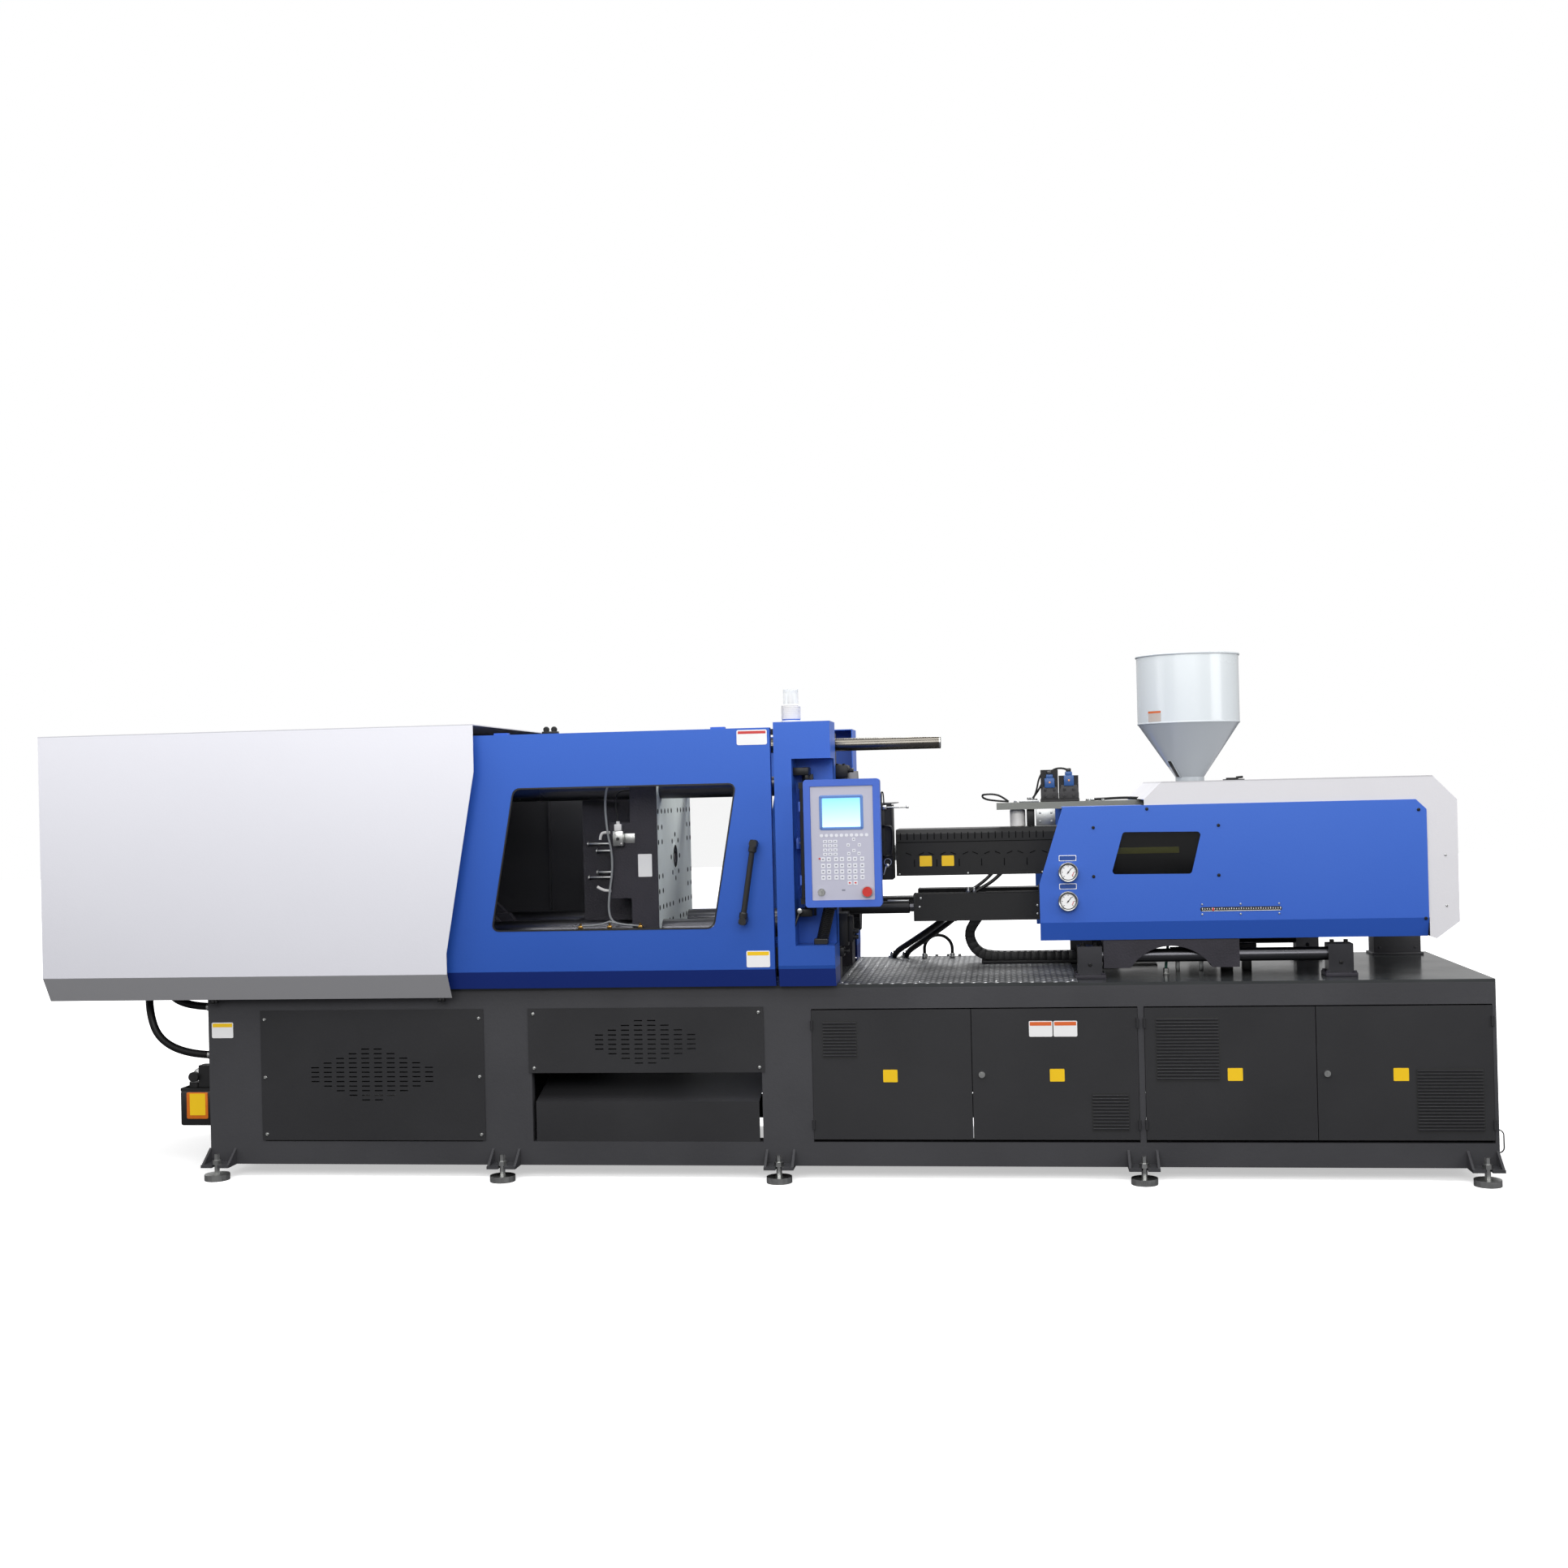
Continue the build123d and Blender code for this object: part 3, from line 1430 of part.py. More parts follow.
cone_low_rise = 837
cone_low = deck_height + cone_low_rise
flange_lap = 30
with BuildPart() as injection_hood:
    with BuildSketch(across(unit_front - sheet)):
        with BuildLine():
            outline = Polyline(*hood_points)
            offset(outline, amount=-sheet, side=Side.RIGHT, kind=Kind.INTERSECTION)
        make_face()
    extrude(amount=-2 * (unit_front - sheet))
    for face in (unit_front - sheet, 2 * sheet - unit_front):
        with BuildSketch(across(face)):
            with BuildLine():
                Polyline(
                    *hood_points,
                    (unit_right + play, unit_bottom),
                    (unit_right + play, unit_bottom + skirt_high),
                    (unit_right - flange_lap, unit_bottom + skirt_high),
                    (unit_right - flange_lap, unit_top - flange_lap),
                    (hood_points[0][0], unit_top - flange_lap),
                    close=True,
                )
            make_face()
        extrude(amount=-sheet)
    with BuildSketch(Plane.XY.offset(unit_top)):
        with Locations((throat_x, 0)):
            Circle(hopper_neck + play)
    extrude(amount=cone_low - unit_top, mode=Mode.SUBTRACT)
save(injection_hood, "injection_hood")

# Hopper: thin drum and cone on the feed throat
hopper_wall = 3
neck_lip = 10
with BuildPart() as hopper:
    with BuildSketch(Plane.XZ):
        with BuildLine():
            Polyline(
                (hopper_neck, housing_top),
                (hopper_neck, cone_low),
                (hopper_radius, hopper_seam),
                (hopper_radius, hopper_rim),
                (hopper_radius - hopper_wall, hopper_rim),
                (hopper_radius - hopper_wall, hopper_seam + 2),
                (hopper_neck - hopper_wall, cone_low + 2),
                (hopper_neck - hopper_wall, housing_top + neck_lip),
                (throat_radius, housing_top + neck_lip),
                (throat_radius, housing_top),
                close=True,
            )
        make_face()
    revolve(axis=Axis.Z)
hopper.part.move(Location((throat_x, 0, 0)))
save(hopper, "hopper")

# Purge guard round the nozzle, hinged on the fixed platen's rear lug
guard_left = fixed_back_x + lug_length + 2
guard_right = barrel_front - 8
pin_seat = 20
guard_low_rise = 420
guard_low = deck_height + guard_low_rise
with BuildPart() as purge_guard:
    with BuildSketch(along(guard_left)):
        with BuildLine():
            Polyline(
                (-guard_pin_y, guard_low),
                (-guard_pin_y, guard_pin_z),
                (guard_pin_y, guard_pin_z),
                (guard_pin_y, guard_pin_z - sheet),
                (-guard_pin_y + sheet, guard_pin_z - sheet),
                (-guard_pin_y + sheet, guard_low),
                close=True,
            )
        make_face()
    extrude(amount=guard_right - guard_left)
    with BuildSketch(along(fixed_back_x + 1)):
        with Locations((guard_pin_y, guard_pin_z)):
            Circle(guard_pin_radius)
    extrude(amount=guard_left + pin_seat - fixed_back_x)
save(purge_guard, "purge_guard")

# Hydraulic hoses: two loops from the clamp cylinder's end cap to the left end of the base
hose_radius = 17
hose_start_x = bore_start - bore_length - cylinder_cap
hose_routes = (
    [(hose_start_x, -60, axis_z), (-2520, -60, axis_z), (-2700, -250, 1110), (-2720, -460, 780), (-2610, -500, 521),
     (base_left, -500, 521)],
    [(hose_start_x, 60, axis_z), (-2460, 60, axis_z), (-2610, -150, 1130), (-2660, -380, 880), (-2560, -500, 735),
     (base_left, -500, 735)],
)


def bends(points):
    """Largest smooth bend radius at each inner point of a route."""
    runs = [Vector(end) - Vector(start) for start, end in zip(points, points[1:])]
    radii = []
    for before, after in zip(runs, runs[1:]):
        turn = radians(before.get_angle(after))
        radii.append(bend_share * min(before.length, after.length) / tan(turn / 2))
    return radii


bend_share = 0.45
with BuildPart() as hydraulic_hoses:
    for route in hose_routes:
        radii = bends(route)
        print("hose bend radii", [round(radius) for radius in radii])
        with BuildLine():
            path = FilletPolyline(*route, radius=radii)
        with BuildSketch(Plane(path @ 0, z_dir=path % 0)):
            RegularPolygon(hose_radius, 6)
        sweep(path=path)
        print("hose volume", round(hydraulic_hoses.part.volume), "length", round(path.length))
save(hydraulic_hoses, "hydraulic_hoses")
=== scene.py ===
"""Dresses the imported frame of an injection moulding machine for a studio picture.

Sizes in the classes are millimetres in the machine's own frame: +X runs to the injection end, -Y faces the operator
and +Z is up. A piece becomes metres when it is finished.
"""
import logging
import math
from dataclasses import dataclass
from enum import Enum
from typing import Any, Sequence

import bmesh
import bpy
from mathutils import Matrix, Vector


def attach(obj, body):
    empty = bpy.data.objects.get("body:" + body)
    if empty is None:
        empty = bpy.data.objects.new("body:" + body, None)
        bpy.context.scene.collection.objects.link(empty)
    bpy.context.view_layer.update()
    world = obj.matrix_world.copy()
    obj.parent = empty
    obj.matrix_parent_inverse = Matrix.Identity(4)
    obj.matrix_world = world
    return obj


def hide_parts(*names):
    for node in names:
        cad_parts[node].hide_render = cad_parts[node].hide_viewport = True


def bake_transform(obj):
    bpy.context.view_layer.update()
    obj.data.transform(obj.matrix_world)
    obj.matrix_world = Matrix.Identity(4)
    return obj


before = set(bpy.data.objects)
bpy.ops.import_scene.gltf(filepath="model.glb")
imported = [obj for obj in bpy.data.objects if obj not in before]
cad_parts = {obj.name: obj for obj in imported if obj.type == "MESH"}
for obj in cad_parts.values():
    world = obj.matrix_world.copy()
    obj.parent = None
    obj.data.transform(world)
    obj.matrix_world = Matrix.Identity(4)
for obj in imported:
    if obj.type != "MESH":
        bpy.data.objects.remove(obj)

log = logging.getLogger("moulding_machine")
MILLIMETRE = 0.001
Point = tuple[float, float, float]
Spot = tuple[float, float]

# Bodies that carry most of the pieces
BASE = "machine_base"
CARRIAGE = "carriage_body"
PLATEN = "moving_platen_body"
DOOR = "front_door_body"
GUARD = "purge_guard_body"

# Places in millimetres: the clamp's middle line, the deck's top and the moving half's mould face
AXIS_Z = 1345.0
DECK_Z = 813.0
MOULD_FACE_X = -370

# Looks that all finishes share: noise from its common low to its common high, and what hangs on it
CLOUD_LOW, CLOUD_HIGH = 0.3, 0.7
SHEEN_SWING = 0.04
COAT_ROUGHNESS = 0.12
GRADE_WANDER = 0.25
SCREEN_GLOW = 0.9
# A tread bar's half length and half width are 1 cell over these, its crown starts at this share of them,
# and a bar that is this high is fully bright, partly as wear and partly as a painted highlight
BAR_LONG, BAR_WIDE, BAR_CROWN = 2.2, 6.5, 0.55
BAR_WEAR_AND_HIGHLIGHT = 0.45
# Edges that turn by more than this, in radians, are bevelled
SHARP = 0.6


def linear(code: str) -> tuple[float, float, float, float]:
    """Turn an sRGB hex colour into linear values.

    Args:
        code: six hex digits after a hash sign.

    Returns:
        Red, green, blue and alpha, linear.
    """
    shades = [int(code[start:start + 2], 16) / 255 for start in (1, 3, 5)]
    mixed = [shade / 12.92 if shade <= 0.04045 else ((shade + 0.055) / 1.055) ** 2.4 for shade in shades]
    return (mixed[0], mixed[1], mixed[2], 1.0)


def add_node(tree: bpy.types.NodeTree, kind: str, settings: dict[Any, Any] | None = None,
             links: dict[Any, bpy.types.NodeSocket] | None = None) -> bpy.types.Node:
    """Add a shader node with its settings and the links into it.

    Args:
        tree: the node tree.
        kind: the node's type name.
        settings: values by socket name or number, or by property name.
        links: output sockets by the input's name or number.

    Returns:
        The new node.
    """
    node = tree.nodes.new(kind)
    sockets = {socket.name for socket in node.inputs}
    for key, value in (settings or {}).items():
        if isinstance(key, int) or key in sockets:
            node.inputs[key].default_value = value
        else:
            setattr(node, key, value)
    for key, source in (links or {}).items():
        tree.links.new(source, node.inputs[key])
    return node


@dataclass
class Nodes:
    """The nodes of one material in the making.

    Attributes:
        tree: the node tree.
        shader: the Principled shader.
        place: the texture coordinates.
        cloud: broad noise that wanders over the surface.
    """

    tree: bpy.types.NodeTree
    shader: bpy.types.Node
    place: bpy.types.Node
    cloud: bpy.types.Node

    def height(self) -> bpy.types.NodeSocket:
        """Give the object's own height as a socket."""
        return add_node(self.tree, "ShaderNodeSeparateXYZ", {}, {"Vector": self.place.outputs["Object"]}).outputs["Z"]

    def climb(self, height: bpy.types.NodeSocket, span_mm: Spot) -> bpy.types.NodeSocket:
        """Turn a height into 0 at the foot of a span and 1 at its head.

        Args:
            height: the height socket.
            span_mm: foot and head.

        Returns:
            The share of the span.
        """
        span = {"From Min": span_mm[0] * MILLIMETRE, "From Max": span_mm[1] * MILLIMETRE}
        return add_node(self.tree, "ShaderNodeMapRange", span, {"Value": height}).outputs["Result"]


@dataclass(frozen=True)
class Finish:
    """A surface: what it is made of and how it was made.

    Attributes:
        grain_mm: real size of the fine texture, or the smallest that still shows in the picture.
        stretch: how the grain is drawn out along each axis.
        mottle: how far the colour wanders, and mottle_mm over what length.
        slot: the material slot for a piece that starts with this finish; the script gives it to no piece.
    """

    name: str
    colour: str
    roughness: float = 0.5
    metallic: float = 0.0
    bump_mm: float = 0.0
    grain_mm: float = 10.0
    stretch: Point = (1.0, 1.0, 1.0)
    mottle: float = 0.06
    mottle_mm: float = 300.0
    coat: float = 0.0
    shine: float = 0.5
    slot: str = "panel_plastic"

    def material(self) -> bpy.types.Material:
        """Give the Blender material, made once."""
        made = bpy.data.materials.get(self.name)
        return made if made else self.make()

    def make(self) -> bpy.types.Material:
        """Build the node tree: colour, roughness and bump from the object's own coordinates.

        Returns:
            The new material.
        """
        made = bpy.data.materials.new(self.name)
        made.use_nodes = True
        tree = made.node_tree
        shader = tree.nodes["Principled BSDF"]
        shader.inputs["Metallic"].default_value = self.metallic
        if not self.metallic:
            shader.inputs["Specular IOR Level"].default_value = self.shine
        if self.coat:
            shader.inputs["Coat Weight"].default_value = self.coat
            shader.inputs["Coat Roughness"].default_value = COAT_ROUGHNESS
        place = add_node(tree, "ShaderNodeTexCoord")
        cloud = add_node(tree, "ShaderNodeTexNoise", {"Scale": 1 / (self.mottle_mm * MILLIMETRE), "Detail": 4.0},
                         {"Vector": place.outputs["Object"]})
        nodes = Nodes(tree, shader, place, cloud)
        tree.links.new(self.tint(nodes), shader.inputs["Base Color"])
        sheen = {"From Min": CLOUD_LOW, "From Max": CLOUD_HIGH, "To Min": max(0.02, self.roughness - SHEEN_SWING),
                 "To Max": self.roughness + SHEEN_SWING}
        rough = add_node(nodes.tree, "ShaderNodeMapRange", sheen, {"Value": cloud.outputs["Fac"]})
        tree.links.new(rough.outputs["Result"], shader.inputs["Roughness"])
        if self.bump_mm:
            bump = add_node(nodes.tree, "ShaderNodeBump", {"Strength": 1.0, "Distance": self.bump_mm * MILLIMETRE},
                            {"Height": self.relief(nodes)})
            tree.links.new(bump.outputs["Normal"], shader.inputs["Normal"])
        self.extras(nodes)
        return made

    def tint(self, nodes: Nodes) -> bpy.types.NodeSocket:
        """Vary the colour a little from place to place.

        Args:
            nodes: the material's nodes.

        Returns:
            The colour socket.
        """
        base = Vector(linear(self.colour)[:3])
        ramp = add_node(nodes.tree, "ShaderNodeValToRGB", {}, {"Fac": nodes.cloud.outputs["Fac"]})
        low, high = ramp.color_ramp.elements
        low.position, high.position = CLOUD_LOW, CLOUD_HIGH
        low.color = (*base * (1 - self.mottle), 1.0)
        high.color = (*[min(1.0, part) for part in base * (1 + self.mottle)], 1.0)
        return ramp.outputs["Color"]

    def relief(self, nodes: Nodes) -> bpy.types.NodeSocket:
        """Give the height of the fine texture.

        Args:
            nodes: the material's nodes.

        Returns:
            The height socket.
        """
        mapping = add_node(
            nodes.tree, "ShaderNodeMapping", {"Scale": self.stretch}, {"Vector": nodes.place.outputs["Object"]})
        grain = add_node(nodes.tree, "ShaderNodeTexNoise", {"Scale": 1 / (self.grain_mm * MILLIMETRE), "Detail": 3.0},
                         {"Vector": mapping.outputs["Vector"]})
        return grain.outputs["Fac"]

    def extras(self, nodes: Nodes) -> None:
        """Add what a special finish needs. A plain one needs nothing.

        Args:
            nodes: the material's nodes.
        """


@dataclass(frozen=True)
class SkirtPaint(Finish):
    """Paint graded by height between two tones, with a third tone below one fold.

    Attributes:
        skirt: the tone below skirt_top_mm.
        top_shade: the tone at the head of span_mm. The main colour is the tone at its foot.
    """

    skirt: str = "#808080"
    skirt_top_mm: float = 0.0
    top_shade: str = "#ffffff"
    span_mm: Spot = (0.0, 1.0)

    def tint(self, nodes: Nodes) -> bpy.types.NodeSocket:
        """Grade the colour by height and switch it at the fold.

        Args:
            nodes: the material's nodes.

        Returns:
            The colour socket.
        """
        height = nodes.height()
        wander = add_node(
            nodes.tree, "ShaderNodeMath", {"operation": "MULTIPLY_ADD", 1: GRADE_WANDER, 2: -GRADE_WANDER / 2},
            {0: nodes.cloud.outputs["Fac"]})
        grade = add_node(
            nodes.tree, "ShaderNodeMath", {"operation": "ADD"}, {0: nodes.climb(height, self.span_mm),
            1: wander.outputs["Value"]})
        face = add_node(nodes.tree, "ShaderNodeValToRGB", {}, {"Fac": grade.outputs["Value"]})
        face.color_ramp.elements[0].color = linear(self.colour)
        face.color_ramp.elements[1].color = linear(self.top_shade)
        low = add_node(
            nodes.tree, "ShaderNodeMath", {"operation": "LESS_THAN", 1: self.skirt_top_mm * MILLIMETRE}, {0: height})
        mixed = add_node(nodes.tree, "ShaderNodeMix", {"data_type": "RGBA", 7: linear(self.skirt)},
                         {0: low.outputs["Value"], 6: face.outputs["Color"]})
        return mixed.outputs[2]


@dataclass(frozen=True)
class TreadPlate(Finish):
    """Rolled floor plate: raised bars that cross in a diamond pattern.

    Attributes:
        pitch_mm: distance between the bars.
        ground: the tone between them.
    """

    pitch_mm: float = 34.0
    ground: str = "#5c5d5f"

    def tint(self, nodes: Nodes) -> bpy.types.NodeSocket:
        """Make the raised bars bright, partly as wear and partly as a painted highlight, and leave the ground between
        them dark.

        Args:
            nodes: the material's nodes.

        Returns:
            The colour socket.
        """
        wear_and_highlight = add_node(nodes.tree, "ShaderNodeMath", {"operation": "MULTIPLY"},
                        {0: self.relief(nodes), 1: nodes.cloud.outputs["Fac"]})
        ramp = add_node(nodes.tree, "ShaderNodeValToRGB", {}, {"Fac": wear_and_highlight.outputs["Value"]})
        ramp.color_ramp.elements[0].color = linear(self.ground)
        ramp.color_ramp.elements[1].position = BAR_WEAR_AND_HIGHLIGHT
        ramp.color_ramp.elements[1].color = linear(self.colour)
        return ramp.outputs["Color"]

    def relief(self, nodes: Nodes) -> bpy.types.NodeSocket:
        """Draw the raised bars: in each cell of a turned grid a bar lies along one axis or the other.

        Args:
            nodes: the material's nodes.

        Returns:
            The height socket.
        """
        cells = 1 / (self.pitch_mm * MILLIMETRE)
        grid = add_node(
            nodes.tree, "ShaderNodeMapping", {"Rotation": (0.0, 0.0, math.radians(45)), "Scale": (cells,) * 3},
            {"Vector": nodes.place.outputs["Object"]})
        cell = add_node(nodes.tree, "ShaderNodeVectorMath", {"operation": "FRACTION"}, {0: grid.outputs["Vector"]})
        local = add_node(nodes.tree, "ShaderNodeVectorMath", {"operation": "SUBTRACT", 1: (0.5, 0.5, 0.5)},
                         {0: cell.outputs["Vector"]})
        split = add_node(nodes.tree, "ShaderNodeSeparateXYZ", {}, {"Vector": local.outputs["Vector"]})
        check = add_node(nodes.tree, "ShaderNodeTexChecker", {"Scale": 1.0}, {"Vector": grid.outputs["Vector"]})
        bars = []
        for first, second in (("X", "Y"), ("Y", "X")):
            long = add_node(
                nodes.tree, "ShaderNodeMath", {"operation": "MULTIPLY", 1: BAR_LONG}, {0: split.outputs[first]})
            wide = add_node(
                nodes.tree, "ShaderNodeMath", {"operation": "MULTIPLY", 1: BAR_WIDE}, {0: split.outputs[second]})
            flat = add_node(
                nodes.tree, "ShaderNodeCombineXYZ", {}, {"X": long.outputs["Value"], "Y": wide.outputs["Value"]})
            reach = add_node(nodes.tree, "ShaderNodeVectorMath", {"operation": "LENGTH"}, {0: flat.outputs["Vector"]})
            bar = add_node(nodes.tree, "ShaderNodeMapRange", {"From Min": 1.0, "From Max": BAR_CROWN},
                           {"Value": reach.outputs["Value"]})
            bars.append(bar.outputs["Result"])
        height = add_node(
            nodes.tree, "ShaderNodeMix", {"data_type": "FLOAT"}, {0: check.outputs["Fac"], 2: bars[0], 3: bars[1]})
        return height.outputs[0]


@dataclass(frozen=True)
class ClearSheet(Finish):
    """Transparent plastic: most light goes straight through, and the surface keeps a gloss."""

    alpha: float = 0.1

    def extras(self, nodes: Nodes) -> None:
        """Let light through.

        Args:
            nodes: the material's nodes.
        """
        nodes.shader.inputs["Alpha"].default_value = self.alpha


@dataclass(frozen=True)
class LitScreen(Finish):
    """Backlit display: pale at the bottom, bluer at the top."""

    foot: str = "#dffaff"
    head: str = "#4f9df0"
    span_mm: Spot = (1476.0, 1599.0)

    def extras(self, nodes: Nodes) -> None:
        """Light the screen with a graded colour.

        Args:
            nodes: the material's nodes.
        """
        glow = add_node(nodes.tree, "ShaderNodeValToRGB", {}, {"Fac": nodes.climb(nodes.height(), self.span_mm)})
        glow.color_ramp.elements[0].color = linear(self.foot)
        glow.color_ramp.elements[1].color = linear(self.head)
        nodes.tree.links.new(glow.outputs["Color"], nodes.shader.inputs["Emission Color"])
        nodes.shader.inputs["Emission Strength"].default_value = SCREEN_GLOW


class Shop(Enum):
    """The finishes of the machine's pieces."""

    # Powder coat, baked: a soft sheen with a faint orange peel. The real peel of 3 mm is too fine to show here,
    # so it is drawn at 9 mm. The guards' folded skirt faces the floor and is painted grey as painted shade, and the
    # coat is painted lighter towards the top as painted light from above
    WHITE_COAT = SkirtPaint("white_powder_coat", "#d9d9e0", 0.42, bump_mm=0.25, grain_mm=9, mottle_mm=900,
                            skirt="#a6a6a9", skirt_top_mm=886, top_shade="#eaeaf1", span_mm=(900, 1900))
    # The same coat painted darker where it faces up, as painted shade: on the roof, and on the hood above its upper
    # edge
    ROOF_COAT = Finish("white_coat_painted_top_shade", "#c9c9d0", 0.46, bump_mm=0.25, grain_mm=9, mottle=0.02)
    HOOD_COAT = SkirtPaint("white_hood_coat", "#d4d3d7", 0.42, bump_mm=0.25, grain_mm=9, skirt="#d4d3d7",
                           top_shade="#a9a8ac", span_mm=(1624, 1632))
    # Powder coat in blue, graded lighter towards the top as painted light and a little darker towards the floor,
    # and darker still below its fold, as painted shade
    BLUE_COAT = SkirtPaint(
        "blue_powder_coat", "#2752aa", 0.4, bump_mm=0.25, grain_mm=9, mottle_mm=700, shine=0.3, skirt="#162e7a",
        skirt_top_mm=888, top_shade="#3664c4", span_mm=(880, 1900), slot="blue_paint")
    # The unit's blue coat: graded lighter towards the top as painted light, a little darker below its fold as painted
    # shade
    UNIT_COAT = SkirtPaint("blue_unit_coat", "#345ebb", 0.4, bump_mm=0.25, grain_mm=9, mottle_mm=700, shine=0.3,
                           skirt="#2f5bbd", skirt_top_mm=1053, top_shade="#3e68c4", span_mm=(1000, 1540))
    FRAME_COAT = Finish("blue_frame_coat", "#3a62c2", 0.45, bump_mm=0.2, grain_mm=6)
    # Satin structural paint on welded plate: broad soft patches of sheen over a slightly uneven coat
    GREY_PAINT = Finish("dark_grey_structure_paint", "#404043", 0.42, bump_mm=0.5, grain_mm=14, mottle=0.1,
                        mottle_mm=500, shine=0.3, slot="base_paint")
    DOOR_PAINT = Finish(
        "dark_grey_panel_paint", "#2e2e30", 0.42, bump_mm=0.3, grain_mm=12, mottle=0.12, mottle_mm=600, shine=0.3)
    DECK_GLOSS = Finish("dark_gloss_deck_paint", "#3a3c3d", 0.18, bump_mm=0.15, grain_mm=60, mottle=0.1)
    # Sand casting under thin paint: rough grain that breaks up every highlight
    CASTING = Finish("painted_grey_iron_casting", "#2f2d34", 0.55, bump_mm=1.2, grain_mm=8, mottle=0.15,
                     mottle_mm=120, shine=0.3, slot="cast_platen")
    # Turned, milled and ground metal: a highlight drawn out along the tool's marks, if it has any, and those are
    # coarser than real so that they show
    GROUND_BAR = Finish(
        "hard_chromed_bar", "#c9c9cc", 0.16, 1.0, bump_mm=0.05, grain_mm=2, stretch=(1, 12, 12), mottle=0.03)
    OILED_BAR = Finish(
        "oiled_round_steel", "#57575b", 0.3, 1.0, bump_mm=0.05, grain_mm=2, stretch=(1, 12, 12), mottle=0.08)
    MOULD_FACE = Finish("ground_mould_face", "#dce4e1", 0.5, 0.1, bump_mm=0.1, grain_mm=4, mottle=0.06, mottle_mm=150,
                        slot="machined_steel")
    MILLED = Finish("milled_steel", "#a9abab", 0.36, 1.0, bump_mm=0.12, grain_mm=3, stretch=(1, 9, 1), mottle=0.08,
                    mottle_mm=90, slot="machined_steel")
    ZINC = Finish("zinc_plated_steel", "#c2c3c1", 0.3, 1.0, bump_mm=0.05, grain_mm=2, mottle=0.08, mottle_mm=30,
                  slot="machined_steel")
    BRONZED = Finish("oil_blacked_round_bar", "#75716a", 0.24, 1.0, bump_mm=0.08, grain_mm=3, stretch=(1, 10, 10),
                     mottle=0.12, mottle_mm=80)
    BLACKED = Finish("black_oxide_steel", "#1f1f20", 0.42, 0.4, bump_mm=0.2, grain_mm=5, mottle=0.15, mottle_mm=60,
                     slot="dark_steel")
    BLACK_COAT = Finish(
        "black_powder_coat", "#1c1c1d", 0.5, bump_mm=0.3, grain_mm=6, mottle=0.1, shine=0.3, slot="dark_steel")
    # Moulded plastics and foils: even colour, hardly any grain, a small sharp highlight
    BLACK_PLASTIC = Finish("black_moulded_nylon", "#1b1b1c", 0.38, bump_mm=0.1, grain_mm=2, slot="black_plastic")
    GREY_FOIL = Finish("lilac_grey_keyboard_foil", "#b4b4c4", 0.45, bump_mm=0.05, grain_mm=2, mottle=0.02)
    KEY_FOIL = Finish("pale_key_foil", "#dcdde4", 0.5, mottle=0.02)
    BEZEL_BLUE = Finish("blue_bezel_foil", "#5c82c4", 0.35, mottle=0.03)
    RED_PLASTIC = Finish("red_moulded_mushroom_head", "#c2322c", 0.32, mottle=0.04, mottle_mm=20)
    WHITE_PLASTIC = Finish("white_ribbed_plastic", "#e6e4e2", 0.4, mottle=0.03)
    AMBER_TANK = Finish("amber_tank_plastic", "#d9711c", 0.3, mottle=0.08, mottle_mm=40, slot="tank_plastic")
    # Clear and smoked sheet: what lies behind shows through under a crisp reflection
    CLEAR = ClearSheet("clear_polycarbonate_sheet", "#14181a", 0.06, alpha=0.022)
    SMOKED = ClearSheet("smoked_acrylic_sheet", "#0a0b0d", 0.06, alpha=0.5, slot="clear_panel")
    DOME = ClearSheet("clear_dome_plastic", "#f3f6f7", 0.08, alpha=0.35)
    # Gloss enamel under clear coat: a hard bright reflection. The cone below the seam is painted darker as painted
    # shade, and the wall is graded lighter towards the rim as painted light
    HOPPER = SkirtPaint("gloss_white_hopper_enamel", "#d5dbdf", 0.25, coat=0.3, skirt="#b4babf", skirt_top_mm=1885,
                        top_shade="#dbe1e4", span_mm=(1885, 2185), slot="hopper_paint")
    # Rolled plate: bright bars on a dull ground, the bright partly wear and partly a painted highlight
    TREAD = TreadPlate("rolled_tread_plate", "#e0e1e2", 0.42, 0.6, bump_mm=2.0, mottle_mm=60, slot="machined_steel")
    # Smooth rubber: nearly black, with one long soft highlight
    HOSE = Finish("smooth_hose_rubber", "#131314", 0.45, bump_mm=0.2, grain_mm=4, shine=0.3)
    SCREEN = LitScreen("backlit_display", "#8fd0f5", 0.2)
    # Printed film, ink and small coloured plastics: flat, clean and even
    LABEL_WHITE = Finish("white_label_film", "#ececec", 0.4, mottle=0.02)
    LABEL_YELLOW = Finish("yellow_label_film", "#f2c512", 0.4, mottle=0.03)
    LABEL_ORANGE = Finish("orange_label_film", "#d9662e", 0.4, mottle=0.03)
    LABEL_RED = Finish("red_label_film", "#c6322f", 0.4, mottle=0.03)
    LABEL_BLUE = Finish("blue_label_film", "#1f4690", 0.35, mottle=0.04)
    PLUG_BLUE = Finish("blue_plug_plastic", "#2c5590", 0.4, mottle=0.04, mottle_mm=30)
    LAMP = Finish("orange_lamp_plastic", "#e59a55", 0.3, mottle=0.04, mottle_mm=10)
    # Black for print, and also for the shade behind the louvre slats and behind the unit's window: painted shade
    INK_AND_SHADE = Finish("black_ink_and_painted_shade", "#202020", 0.5, mottle=0.02)
    RING_FILM = Finish("grey_ring_film", "#a9a9b2", 0.45, mottle=0.02)
    KEY_MARK = Finish("grey_key_print", "#7d7f8e", 0.5, mottle=0.02)
    # Near black that stands for the shade inside slots and holes: painted shade
    SLOT_BLACK = Finish("shadowed_press_slot", "#050506", 0.6, mottle=0.02, shine=0.1, slot="dark_steel")
    LABEL_TAN = Finish("printed_tan_label_film", "#c3b8b0", 0.45, mottle=0.04, mottle_mm=8)
